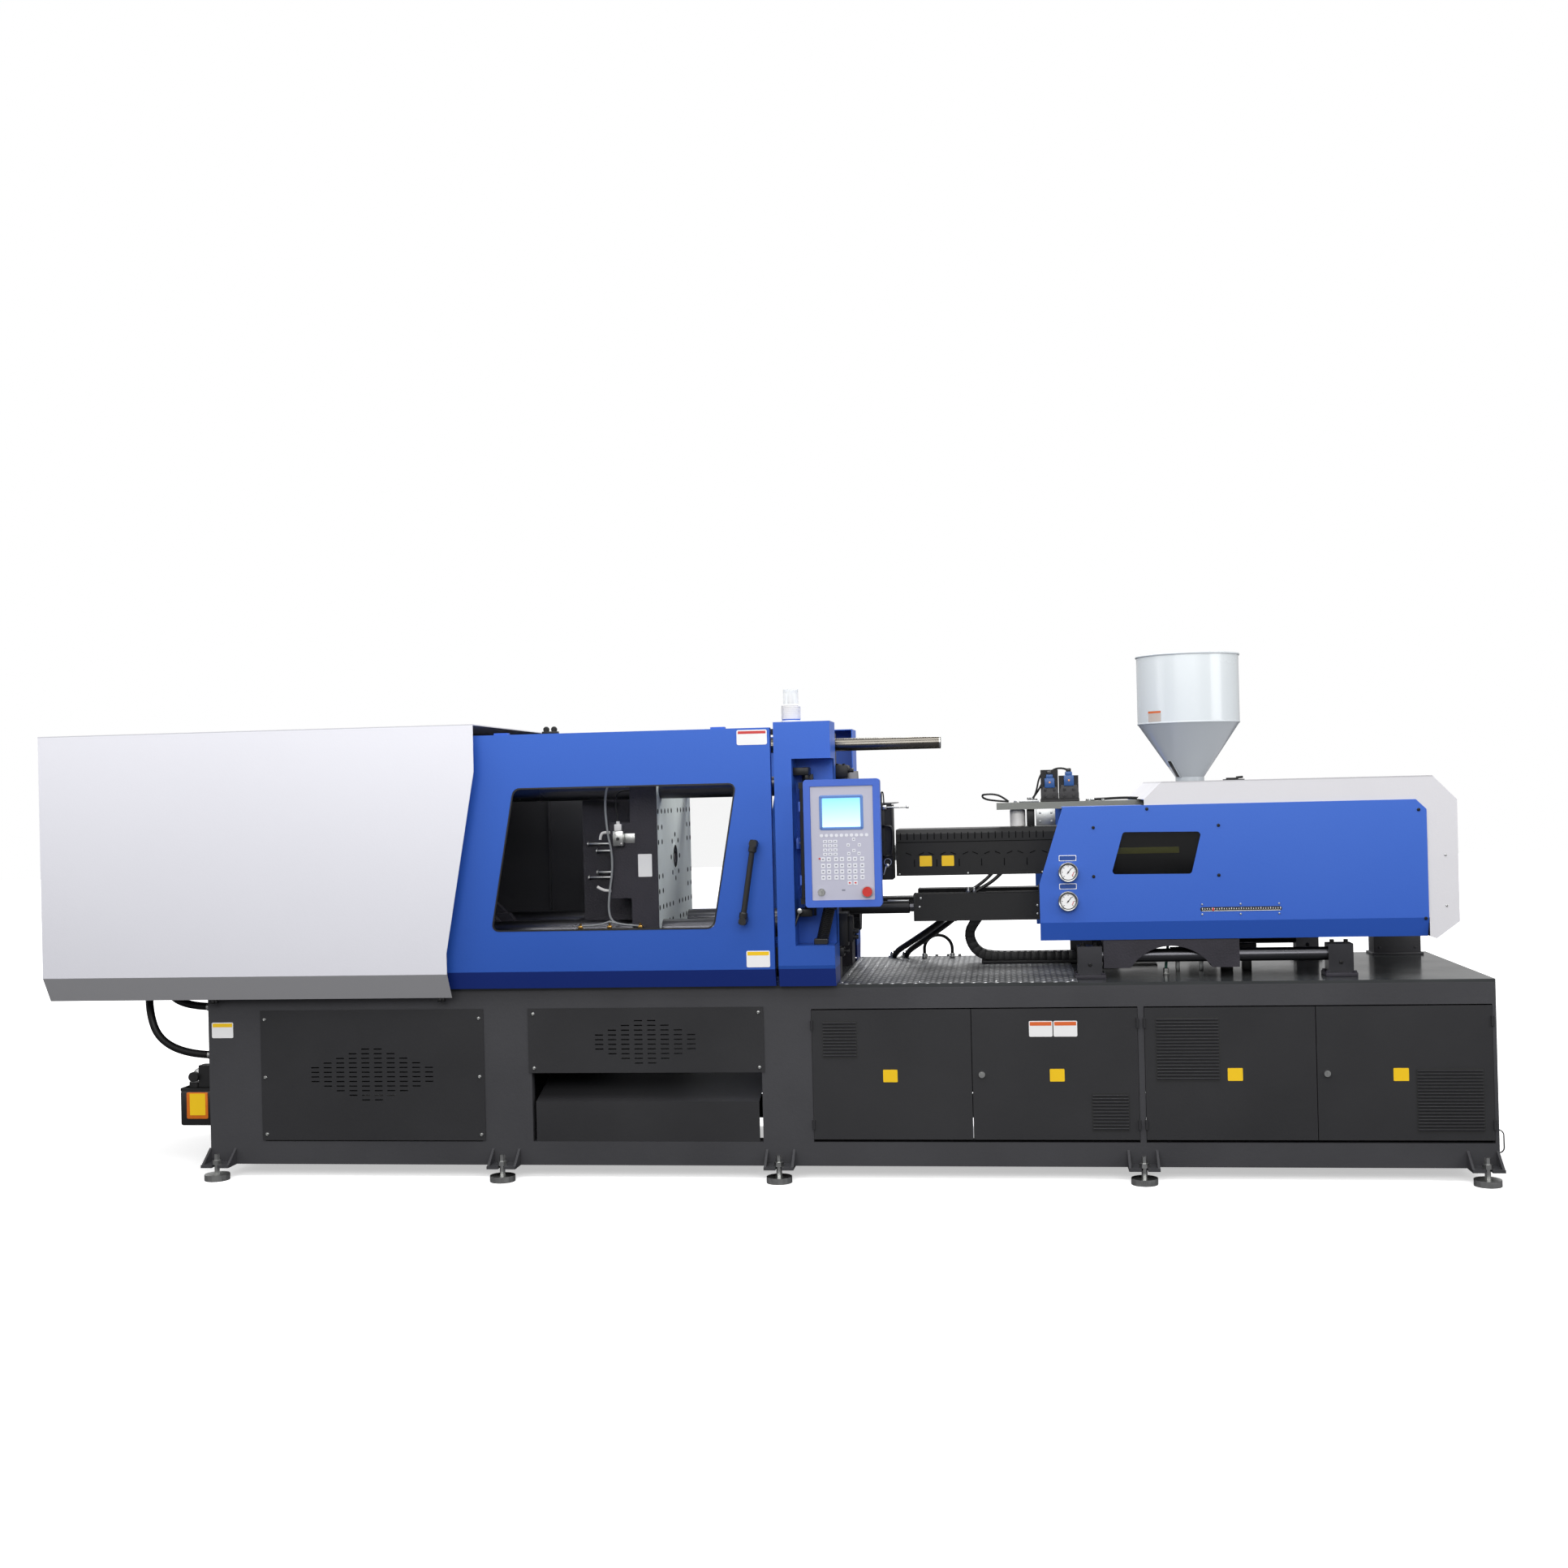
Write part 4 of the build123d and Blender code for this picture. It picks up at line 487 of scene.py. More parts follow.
    # The valve plate and the valves on it are one solid: bare milled steel below, black casting above
    VALVE_BAND = SkirtPaint(
        "steel_plate_under_dark_valves", "#232325", 0.45, bump_mm=0.3, grain_mm=5, mottle=0.1, shine=0.3,
        skirt="#7f817c", skirt_top_mm=1555.5, top_shade="#1d1d1e", span_mm=(1556, 1700))
    OLIVE = Finish("olive_lacquered_strip", "#b4b53c", 0.45, mottle=0.05, slot="dark_steel")
    SMOKED_SOLID = Finish("dark_sight_glass", "#16181a", 0.1, mottle=0.02, slot="hopper_paint")
    GREY_LINE = Finish("grey_cable_sheath", "#8a8d8f", 0.45, mottle=0.05)
    # Turned brass, air hose and a sand cast valve body that looks dry and grainy
    BRASS = Finish("turned_brass", "#b08a4a", 0.3, 1.0, mottle=0.06, mottle_mm=20)
    GREEN_HOSE = Finish("green_air_hose", "#1f6a5a", 0.4, mottle=0.05)
    VALVE_CAST = Finish(
        "sandy_valve_casting", "#343334", 0.6, bump_mm=0.6, grain_mm=4, mottle=0.15, mottle_mm=30, slot="dark_steel")


class Blank:
    """A piece in the making: a bmesh in millimetres in the machine's frame."""

    def __init__(self, name: str) -> None:
        """Start an empty piece.

        Args:
            name: the finished object's name.
        """
        self.name = name
        self.mesh = bmesh.new()
        self.tone = 0

    def paint(self, tone: int) -> "Blank":
        """Use this material number for what is made next."""
        self.tone = tone
        return self

    def _keep(self, verts: Sequence[bmesh.types.BMVert], bevel: float) -> "Blank":
        """Bevel and colour freshly made geometry.

        Args:
            verts: the new vertices.
            bevel: bevel width, or 0 for none.

        Returns:
            The piece itself.
        """
        faces = list({face for vert in verts for face in vert.link_faces})
        for face in faces:
            face.material_index = self.tone
        if bevel:
            edges = [edge for edge in {edge for vert in verts for edge in vert.link_edges}
                     if len(edge.link_faces) == 2 and edge.calc_face_angle(0) > SHARP]
            bmesh.ops.bevel(self.mesh, geom=edges, offset=bevel, segments=2, affect="EDGES", profile=0.5, material=-1)
        return self

    def block(self, low: Point, high: Point, bevel: float = 0.0, turn: Matrix | None = None) -> "Blank":
        """Add a box between two corners.

        Args:
            low: one corner.
            high: the opposite corner.
            bevel: width of the broken edges.
            turn: a rotation about the box's middle.

        Returns:
            The piece itself.
        """
        middle = (Vector(low) + Vector(high)) / 2
        size = [abs(b - a) for a, b in zip(low, high)]
        place = Matrix.Translation(middle) @ (turn.to_4x4() if turn else Matrix.Identity(4))
        place = place @ Matrix.Diagonal((*size, 1.0))
        made = bmesh.ops.create_cube(self.mesh, size=1.0, matrix=place)
        return self._keep(made["verts"], bevel)

    def rod(self, start: Point, end: Point, radius: float, tip: float | None = None, sides: int = 32,
            bevel: float = 0.0) -> "Blank":
        """Add a round bar or a cone between two points.

        Args:
            start: middle of one end.
            end: middle of the other end.
            radius: radius at the start.
            tip: radius at the end, the same if left out.
            sides: faces round it.
            bevel: width of the broken end edges.

        Returns:
            The piece itself.
        """
        run = Vector(end) - Vector(start)
        turn = run.to_track_quat("Z", "Y").to_matrix().to_4x4()
        place = Matrix.Translation((Vector(start) + Vector(end)) / 2) @ turn
        made = bmesh.ops.create_cone(self.mesh, cap_ends=True, segments=sides, radius1=radius, radius2=radius
                                     if tip is None else tip, depth=run.length, matrix=place)
        return self._keep(made["verts"], bevel)

    def slab(self, outline: Sequence[Spot], face_y: float, depth: float, bevel: float = 0.0,
             hole: float = 0.0, corner: float = 0.0, turn: float = 0.0) -> "Blank":
        """Add a plate seen from the operator's side.

        Args:
            outline: corners as x and z.
            face_y: where its front face lies.
            depth: thickness, away from the operator.
            bevel: width of the broken edges.
            hole: width of the rim when the plate is a frame, 0 for a full plate.
            corner: how far each corner is rounded.
            turn: degrees that the finished plate is turned about the upright axis.

        Returns:
            The piece itself.
        """
        before = set(self.mesh.faces)
        verts = [self.mesh.verts.new((x, face_y + depth, z)) for x, z in outline]
        self.mesh.faces.new(verts)
        if corner:
            bmesh.ops.bevel(
                self.mesh, geom=verts, offset=corner, segments=5, affect="VERTICES", profile=0.5, material=-1)
        faces = [face for face in self.mesh.faces if face not in before]
        if hole:
            ring = bmesh.ops.inset_region(
                self.mesh, faces=faces, thickness=hole, use_boundary=True, use_even_offset=True)
            bmesh.ops.delete(self.mesh, geom=faces, context="FACES_ONLY")
            faces = ring["faces"]
        made = bmesh.ops.extrude_face_region(self.mesh, geom=faces)
        moved = [item for item in made["geom"] if isinstance(item, bmesh.types.BMVert)]
        bmesh.ops.translate(self.mesh, verts=moved, vec=(0.0, -depth, 0.0))
        fresh = [face for face in self.mesh.faces if face not in before]
        bmesh.ops.recalc_face_normals(self.mesh, faces=fresh)
        made_verts = list({vert for face in fresh for vert in face.verts})
        bmesh.ops.rotate(
            self.mesh, verts=made_verts, cent=(0.0, 0.0, 0.0), matrix=Matrix.Rotation(math.radians(turn), 3, "Z"))
        return self._keep(made_verts, bevel)

    def plate(self, low: Spot, high: Spot, face_y: float, depth: float, **form: float) -> "Blank":
        """Add a rectangular slab.

        Args:
            low: its lower left corner as x and z.
            high: its upper right corner.
            face_y: where its front face lies.
            depth: thickness, away from the operator.
            form: what else slab takes.

        Returns:
            The piece itself.
        """
        (left, foot), (right, head) = low, high
        return self.slab([(left, foot), (right, foot), (right, head), (left, head)], face_y, depth, **form)

    def lathe(self, profile: Sequence[Spot], centre: Point, axis: Point = (0.0, -1.0, 0.0), steps: int = 48) -> "Blank":
        """Turn a profile round an axis.

        Args:
            profile: distances from the axis and along it.
            centre: a point on the axis.
            axis: the direction of the axis.
            steps: faces round it.

        Returns:
            The piece itself.
        """
        way = Vector(axis).normalized()
        out = way.orthogonal().normalized()
        known = set(self.mesh.verts)
        verts = [self.mesh.verts.new(Vector(centre) + out * reach + way * along) for reach, along in profile]
        edges = [self.mesh.edges.new(pair) for pair in zip(verts, verts[1:])]
        bmesh.ops.spin(
            self.mesh, geom=[*verts, *edges], cent=centre, axis=way, angle=math.tau, steps=steps, use_merge=True)
        fresh = [vert for vert in self.mesh.verts if vert not in known]
        bmesh.ops.remove_doubles(self.mesh, verts=fresh, dist=0.01)
        fresh = [vert for vert in self.mesh.verts if vert not in known]
        bmesh.ops.recalc_face_normals(self.mesh, faces=list({face for vert in fresh for face in vert.link_faces}))
        return self._keep(fresh, 0.0)

    def piece(self, finishes: Sequence[Shop] | Shop, body: str, slot: str | None = None,
              smooth: float = 30.0) -> bpy.types.Object:
        """Finish the piece in metres and let it ride on a body.

        Args:
            finishes: the finish of each material number.
            body: the CAD body that it moves with.
            slot: a material slot, the first finish's own if left out; nothing uses it.
            smooth: the angle in degrees below which edges are shaded round.

        Returns:
            The new object.
        """
        bmesh.ops.scale(self.mesh, vec=(MILLIMETRE,) * 3, verts=self.mesh.verts)
        data = bpy.data.meshes.new(self.name)
        self.mesh.to_mesh(data)
        self.mesh.free()
        listed = finishes if isinstance(finishes, (list, tuple)) else (finishes,)
        for finish in listed:
            data.materials.append(finish.value.material())
        slot = slot or listed[0].value.slot
        made = bpy.data.objects.new(self.name, data)
        bpy.context.scene.collection.objects.link(made)
        data.shade_smooth()
        data.set_sharp_from_angle(angle=math.radians(smooth))
        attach(made, body)
        log.info("piece %s on %s", self.name, body)
        return made


@dataclass
class Studio:
    """Camera, floor, sky and lamps."""

    eye: Point = (1134.8, -7789.7, 1625.4)
    yaw: float = -7.2797
    pitch: float = 0.2746
    roll: float = -1.3713
    lens: float = 39.67

    def camera(self) -> None:
        """Set the camera at the photograph's place, direction and lens."""
        yaw, pitch, roll = (math.radians(angle) for angle in (self.yaw, self.pitch, self.roll))
        ahead = Vector((math.sin(yaw) * math.cos(pitch), math.cos(yaw) * math.cos(pitch), math.sin(pitch)))
        level = Vector((math.cos(yaw), -math.sin(yaw), 0.0))
        above = level.cross(ahead)
        right = level * math.cos(roll) + above * math.sin(roll)
        up = above * math.cos(roll) - level * math.sin(roll)
        data = bpy.data.cameras.new("studio_camera")
        data.lens = self.lens
        data.sensor_width = 36.0
        data.clip_end = 200.0
        view = bpy.data.objects.new("studio_camera", data)
        bpy.context.scene.collection.objects.link(view)
        turn = Matrix((right, up, -ahead)).transposed().to_4x4()
        view.matrix_world = Matrix.Translation(Vector(self.eye) * MILLIMETRE) @ turn
        bpy.context.scene.camera = view

    def floor(self) -> None:
        """Lay a pale floor that the camera sees as white where it is fully lit."""
        sheet = bmesh.new()
        bmesh.ops.create_grid(sheet, x_segments=2, y_segments=2, size=30.0)
        data = bpy.data.meshes.new("studio_floor")
        sheet.to_mesh(data)
        sheet.free()
        ground = bpy.data.objects.new("studio_floor", data)
        bpy.context.scene.collection.objects.link(ground)
        paper = bpy.data.materials.new("white_studio_paper")
        paper.use_nodes = True
        tree = paper.node_tree
        shader = tree.nodes["Principled BSDF"]
        shader.inputs["Roughness"].default_value = 0.9
        shader.inputs["Specular IOR Level"].default_value = 0.0
        path = add_node(tree, "ShaderNodeLightPath")
        seen = add_node(
            tree, "ShaderNodeMath", {"operation": "MAXIMUM"}, {0: path.outputs["Is Camera Ray"],
            1: path.outputs["Is Transmission Ray"]})
        shade = add_node(tree, "ShaderNodeMix", {"data_type": "RGBA", 6: linear("#6a6a6c"), 7: linear("#ffffff")},
                         {0: seen.outputs["Value"]})
        tree.links.new(shade.outputs[2], shader.inputs["Base Color"])
        shader.inputs["Emission Color"].default_value = (1.0, 1.0, 1.0, 1.0)
        place = add_node(tree, "ShaderNodeTexCoord")
        # The paper glows a little beside the machine and fully from 5.5 m out, so no horizon shows
        oval = add_node(tree, "ShaderNodeVectorMath", {"operation": "MULTIPLY", 1: (0.25, 0.5, 1.0)},
                        {0: place.outputs["Object"]})
        reach = add_node(tree, "ShaderNodeVectorMath", {"operation": "LENGTH"}, {0: oval.outputs["Vector"]})
        lift = add_node(tree, "ShaderNodeMapRange", {"From Min": 0.8, "From Max": 1.4, "To Min": 0.5, "To Max": 1.0},
                        {"Value": reach.outputs["Value"]})
        glow = add_node(
            tree, "ShaderNodeMath", {"operation": "MULTIPLY"}, {0: seen.outputs["Value"], 1: lift.outputs["Result"]})
        tree.links.new(glow.outputs["Value"], shader.inputs["Emission Strength"])
        data.materials.append(paper)

    def sky(self) -> None:
        """Light the scene from a plain pale sky that shows as white."""
        world = bpy.data.worlds.new("studio_sky")
        world.use_nodes = True
        tree = world.node_tree
        back = tree.nodes["Background"]
        path = add_node(tree, "ShaderNodeLightPath")
        mirror = add_node(
            tree, "ShaderNodeMath", {"operation": "MAXIMUM"}, {0: path.outputs["Is Camera Ray"],
            1: path.outputs["Is Transmission Ray"]})
        level = add_node(tree, "ShaderNodeMix", {"data_type": "FLOAT", 2: 0.55, 3: 1.0}, {0: mirror.outputs["Value"]})
        back.inputs["Color"].default_value = (1.0, 1.0, 1.0, 1.0)
        tree.links.new(level.outputs[0], back.inputs["Strength"])
        bpy.context.scene.world = world

    def lamps(self) -> None:
        """Hang soft boxes above, in front and on the left."""
        for name, place, aim, size, power in (
            ("top_softbox", (0.0, -2.6, 6.2), (0.0, 0.0, 1.0), (8.0, 3.0), 200.0),
            ("front_softbox", (0.6, -7.5, 4.2), (0.2, 0.0, 1.2), (8.0, 3.0), 300.0),
            ("left_softbox", (-7.0, -3.2, 3.4), (-1.0, 0.0, 1.2), (3.0, 3.0), 55.0),
            ("rear_softbox", (1.1, 1.9, 3.9), (-0.35, 0.0, 1.3), (1.6, 1.6), 105.0),
            ("right_softbox", (6.4, -2.6, 3.0), (1.9, 0.0, 1.7), (2.4, 2.4), 75.0),
        ):
            data = bpy.data.lights.new(name, "AREA")
            data.shape = "RECTANGLE"
            data.size, data.size_y = size
            data.energy = power
            lamp = bpy.data.objects.new(name, data)
            bpy.context.scene.collection.objects.link(lamp)
            lamp.location = place
            lamp.rotation_euler = (Vector(aim) - Vector(place)).to_track_quat("-Z", "Y").to_euler()

    def build(self) -> None:
        """Make the whole studio."""
        bpy.context.scene.view_settings.view_transform = "Standard"
        self.camera()
        self.floor()
        self.sky()
        self.lamps()


@dataclass
class Dressing:
    """Finishes of the CAD nodes."""

    def plan(self) -> dict[Shop, tuple[str, ...]]:
        """List which nodes get which finish."""
        return {
            Shop.GREY_PAINT: ("base_frame", "guard_frame"), Shop.DOOR_PAINT: ("vent_panel", "discharge_panel",
            "discharge_chute", "rear_panels", "cabinet_door_1", "cabinet_door_2", "cabinet_door_3", "cabinet_door_4"),
            Shop.DECK_GLOSS: ("deck",), Shop.WHITE_COAT: ("clamp_cover_front", "clamp_cover_rear"),
            Shop.ROOF_COAT: ("clamp_cover_top",), Shop.HOOD_COAT: ("injection_hood",),
            Shop.BLUE_COAT: ("column_cover_front", "column_cover_rear", "front_door", "rear_door"),
            Shop.UNIT_COAT: ("injection_cover_front", "injection_cover_rear"), Shop.FRAME_COAT: ("control_panel",),
            Shop.CASTING: ("fixed_platen", "moving_platen", "tail_stock", "injection_carriage", "injection_plate",
            "rear_link_upper", "rear_link_lower", "front_link_upper", "front_link_lower", "crosshead_link_upper",
            "crosshead_link_lower", "crosshead"), Shop.GROUND_BAR: ("ejector_rod",),
            Shop.OILED_BAR: ("tie_bars", "slide_rods"), Shop.ZINC: ("levelling_feet", "key_switch", "cabinet_lock_1",
            "cabinet_lock_2", "tail_nuts"), Shop.MILLED: ("barrel", "screw"), Shop.VALVE_BAND: ("valve_block",),
            Shop.BRONZED: ("safety_rod",), Shop.BLACKED: ("clamp_cylinder", "ejector_cylinder", "purge_guard"),
            Shop.BLACK_COAT: ("barrel_cover", "carriage_cylinders", "panel_bracket"),
            Shop.CLEAR: ("front_window", "rear_window"), Shop.DOME: ("beacon_lens",),
            Shop.BLACK_PLASTIC: ("front_handle", "lubricator"), Shop.RED_PLASTIC: ("emergency_stop",),
            Shop.HOPPER: ("hopper",), Shop.HOSE: ("hydraulic_hoses",),}

    def build(self) -> None:
        """Give every CAD node its finish."""
        for finish, names in self.plan().items():
            for name in names:
                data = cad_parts[name].data
                data.materials.clear()
                data.materials.append(finish.value.material())
                log.info("node %s in %s", name, finish.value.name)


def screw_row(blank: Blank, places: Sequence[Point], radius: float = 6.0, axis: Point = (0.0, -1.0, 0.0)) -> Blank:
    """Set button-head screws with a socket into a face.

    Args:
        blank: the piece that holds them.
        places: where each head meets the face.
        radius: radius of a head.
        axis: the way the heads point.

    Returns:
        The piece itself.
    """
    for place in places:
        blank.lathe([(0.0, 0.25 * radius), (0.42 * radius, 0.25 * radius), (0.45 * radius, 0.62 * radius),
                     (0.75 * radius, 0.55 * radius), (radius, 0.15 * radius), (radius, -0.1)], place, axis, 16)
    return blank


def hex_bolts(blank: Blank, places: Sequence[Point], radius: float, height: float,
              axis: Point = (0.0, 0.0, 1.0)) -> Blank:
    """Set hexagon bolts with their washers.

    Args:
        blank: the piece that holds them.
        places: where each washer lies.
        radius: half the width over the head's corners.
        height: head height.
        axis: the way the heads point.

    Returns:
        The piece itself.
    """
    way = Vector(axis)
    for place in places:
        foot = Vector(place)
        blank.rod(foot, foot + way * 0.2 * height, 1.35 * radius, sides=24)
        blank.rod(foot + way * 0.2 * height, foot + way * 1.2 * height, radius, sides=6, bevel=0.08 * radius)
    return blank


def strand(name: str, route: Sequence[Point], radius: float, finish: Shop) -> bpy.types.Object:
    """Lay a round strand along one open smooth spline.

    Args:
        name: the object's name.
        route: the spline's control points in metres.
        radius: the strand's radius in metres, 0 for the bare line.
        finish: its surface.

    Returns:
        The curve object.
    """
    data = bpy.data.curves.new(name, "CURVE")
    data.dimensions = "3D"
    line = data.splines.new("NURBS")
    line.points.add(len(route) - 1)
    for spot, place in zip(line.points, route):
        spot.co = (*place, 1.0)
    line.order_u = 3
    line.use_endpoint_u = True
    data.resolution_u = 14
    data.bevel_depth = radius
    data.bevel_resolution = 5
    data.use_fill_caps = True
    data.materials.append(finish.value.material())
    made = bpy.data.objects.new(name, data)
    bpy.context.scene.collection.objects.link(made)
    return made


def bent_bar(name: str, route: Sequence[Point], radius: float, finish: Shop, body: str) -> bpy.types.Object:
    """Bend a round bar or a fixed pipe and let it ride on a body.

    Args:
        name: the object's name.
        route: control points in metres.
        radius: radius in metres.
        finish: its surface.
        body: the CAD body that it moves with.

    Returns:
        The curve object.
    """
    made = strand(name, route, radius, finish)
    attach(made, body)
    log.info("piece %s on %s", name, body)
    return made


@dataclass(frozen=True)
class Hose:
    """A flexible line between two places, in metres."""

    name: str
    route: tuple[Point, ...]
    length: float
    diameter: float
    bodies: tuple[str, ...]
    finish: Shop = Shop.HOSE
    stiffness: str = "stiff"
    lay: str = "hanging"
    replaced: str = ""

    def lay_out(self) -> bpy.types.Object:
        """Make the hose. One that joins two bodies is made a mesh in place and rides on neither.

        Returns:
            The finished object.
        """
        if len(self.bodies) == 1:
            made = strand(self.name, self.route, self.diameter / 2, self.finish)
            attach(made, self.bodies[0])
            path = None
        else:
            made, path = self.tube()
            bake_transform(made)
        if self.replaced:
            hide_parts(self.replaced)
        log.info("hose %s on %s", self.name, " and ".join(self.bodies))
        return made

    def tube(self) -> tuple[bpy.types.Object, list[Vector]]:
        """Make the hose a mesh and read the points that it follows.

        Returns:
            The mesh object and its centre line.
        """
        bare = strand(self.name + "_line", self.route, 0.0, self.finish)
        line = bpy.data.meshes.new_from_object(bare)
        path = [vert.co.copy() for vert in line.vertices]
        bpy.data.objects.remove(bare)
        full = strand(self.name + "_curve", self.route, self.diameter / 2, self.finish)
        data = bpy.data.meshes.new_from_object(full)
        bpy.data.objects.remove(full)
        data.name = self.name
        data.shade_smooth()
        data.set_sharp_from_angle(angle=math.radians(50))
        made = bpy.data.objects.new(self.name, data)
        bpy.context.scene.collection.objects.link(made)
        return made, path


@dataclass
class Hoses:
    """All flexible lines of the machine."""

    lines: tuple[Hose, ...] = (
        Hose("clamp_supply_hose", ((-2.260, -0.060, 1.345), (-2.520, -0.060, 1.345), (-2.700, -0.250, 1.110),
                                   (-2.720, -0.460, 0.780), (-2.610, -0.500, 0.521), (-2.360, -0.500, 0.521)), 1.444,
             0.034, (BASE, "tail_stock_body"), replaced="hydraulic_hoses"),
        Hose("clamp_return_hose", ((-2.260, 0.060, 1.345), (-2.460, 0.060, 1.345), (-2.610, -0.150, 1.130),
                                   (-2.660, -0.380, 0.880), (-2.560, -0.500, 0.735), (-2.360, -0.500, 0.735)), 1.218,
             0.034, (BASE, "tail_stock_body"), replaced="hydraulic_hoses"),
        Hose(
            "carriage_feed_hose", ((0.868, 0.180, 1.050), (0.832, 0.205, 1.015), (0.735, 0.305, 0.945),
            (0.650, 0.420, 0.885), (0.600, 0.495, 0.850), (0.578, 0.530, 0.813)), 0.5, 0.028, (BASE, CARRIAGE)),
        Hose(
            "carriage_return_hose", ((0.912, 0.180, 1.050), (0.876, 0.205, 1.015), (0.782, 0.305, 0.945),
            (0.702, 0.420, 0.885), (0.656, 0.495, 0.850), (0.636, 0.530, 0.813)), 0.5, 0.026, (BASE, CARRIAGE)),
        Hose(
            "deck_jumper_hose", ((0.736, 0.470, 0.813), (0.736, 0.470, 0.834), (0.736, 0.470, 0.889),
            (0.775, 0.470, 0.928), (0.829, 0.470, 0.928), (0.868, 0.470, 0.889), (0.868, 0.470, 0.834),
            (0.868, 0.470, 0.813)), 0.3, 0.015, (BASE,)),
        Hose(
            "barrel_signal_line", ((1.112, -0.136, 1.250), (1.086, -0.142, 1.225), (1.047, -0.151, 1.198),
            (1.014, -0.159, 1.181), (0.988, -0.165, 1.166)), 0.153, 0.016, (CARRIAGE,), stiffness="medium"),
        Hose(
            "barrel_heater_line", ((1.072, -0.136, 1.250), (1.048, -0.144, 1.226), (1.014, -0.156, 1.200),
            (0.985, -0.167, 1.181), (0.962, -0.175, 1.166)), 0.144, 0.015, (CARRIAGE,), stiffness="medium"),
        Hose("front_valve_cable", ((1.318, -0.020, 1.690), (1.301, -0.022, 1.688), (1.284, -0.026, 1.655),
                                   (1.276, -0.032, 1.615), (1.264, -0.040, 1.580), (1.250, -0.050, 1.553)), 0.16,
             0.008, (CARRIAGE,), stiffness="medium"),
        Hose("rear_valve_cable", ((1.408, 0.000, 1.697), (1.394, -0.001, 1.704), (1.352, -0.006, 1.702),
                                  (1.312, -0.012, 1.662), (1.280, -0.020, 1.600), (1.240, -0.030, 1.553)), 0.24,
             0.009, (CARRIAGE,), stiffness="medium"),
        Hose("hood_entry_cable", ((1.502, -0.075, 1.562), (1.560, -0.078, 1.563), (1.620, -0.084, 1.566),
                                  (1.680, -0.086, 1.566), (1.716, -0.085, 1.563)), 0.215, 0.012, (CARRIAGE,),
             stiffness="medium", lay="loose"),
        Hose("green_air_line", ((1.806, -0.300, 0.985), (1.806, -0.300, 0.940), (1.798, -0.301, 0.880),
                                (1.794, -0.303, 0.840), (1.794, -0.304, 0.813)), 0.173, 0.012, (BASE, CARRIAGE),
             Shop.GREEN_HOSE, "medium"),
        Hose(
            "mains_loop", ((3.060, -0.540, 0.202), (3.074, -0.540, 0.202), (3.087, -0.540, 0.189),
            (3.087, -0.541, 0.171), (3.087, -0.542, 0.141), (3.087, -0.543, 0.123), (3.074, -0.544, 0.110),
            (3.060, -0.544, 0.110)), 0.13, 0.005, (BASE,), stiffness="medium"),
        Hose(
            "platen_grease_line", ((-0.490, -0.398, 1.700), (-0.530, -0.402, 1.702), (-0.583, -0.404, 1.685),
            (-0.600, -0.405, 1.610), (-0.592, -0.408, 1.475), (-0.572, -0.412, 1.390), (-0.570, -0.412, 1.305),
            (-0.584, -0.410, 1.220), (-0.594, -0.408, 1.130), (-0.580, -0.406, 1.078), (-0.530, -0.404, 1.064),
            (-0.490, -0.402, 1.062)), 0.79, 0.010, (PLATEN,), Shop.GREY_LINE, "medium"),
        Hose("switch_line", ((-0.490, -0.398, 1.650), (-0.515, -0.402, 1.652), (-0.545, -0.408, 1.638),
                             (-0.552, -0.412, 1.590), (-0.544, -0.415, 1.545), (-0.540, -0.416, 1.512)), 0.182, 0.007,
             (PLATEN,), stiffness="medium"),
    )

    def build(self) -> None:
        """Lay every line, then fit the crimped ends."""
        for line in self.lines:
            line.lay_out()
        ends = Blank("hose_end_fittings")
        for start, way in (((-2260, -60, 1345), (-1, 0, 0)), ((-2260, 60, 1345), (-1, 0, 0))):
            self.fitting(ends, start, way, 21.0)
        ends.piece(Shop.ZINC, "tail_stock_body")
        ends = Blank("base_hose_end_fittings")
        for start, way in (((-2360, -500, 521), (-1, 0, 0)), ((-2360, -500, 735), (-1, 0, 0)),
                           ((578, 530, 813), (0.4, -0.6, 1)), ((636, 530, 813), (0.4, -0.6, 1))):
            self.fitting(ends, start, way, 18.0)
        for start in ((736, 470, 813), (868, 470, 813), (1794, -304, 813)):
            self.fitting(ends, start, (0, 0, 1), 12.0)
        ends.piece(Shop.ZINC, BASE)
        ends = Blank("carriage_hose_end_fittings")
        for start, radius in (((868, 180, 1050), 18.0), ((912, 180, 1050), 17.0)):
            self.fitting(ends, start, (-0.7, 0.5, -0.7), radius)
        for start in ((990, -165, 1168), (965, -175, 1168), (1250, -50, 1555), (1240, -30, 1555)):
            self.fitting(ends, start, (0, 0, 1), 9.0)
        self.fitting(ends, (1500, -75, 1562), (1, 0, 0), 10.0)
        ends.piece(Shop.ZINC, CARRIAGE)

    def fitting(self, blank: Blank, start: Point, way: Point, radius: float) -> None:
        """Crimp an end: a hexagon at the port and a ribbed sleeve on the hose.

        Args:
            blank: the piece that holds it.
            start: middle of the port.
            way: direction out of the port.
            radius: the sleeve's radius.
        """
        foot = Vector(start)
        along = Vector(way).normalized()
        blank.rod(foot - along, foot + along * 0.8 * radius, 1.2 * radius, sides=6, bevel=0.8)
        blank.lathe([(0.6 * radius, 0.8 * radius), (radius, 0.85 * radius), (radius, 1.3 * radius),
                     (0.92 * radius, 1.4 * radius), (radius, 1.5 * radius), (radius, 2.2 * radius),
                     (0.88 * radius, 2.35 * radius), (0.6 * radius, 2.35 * radius)], start, way, 24)


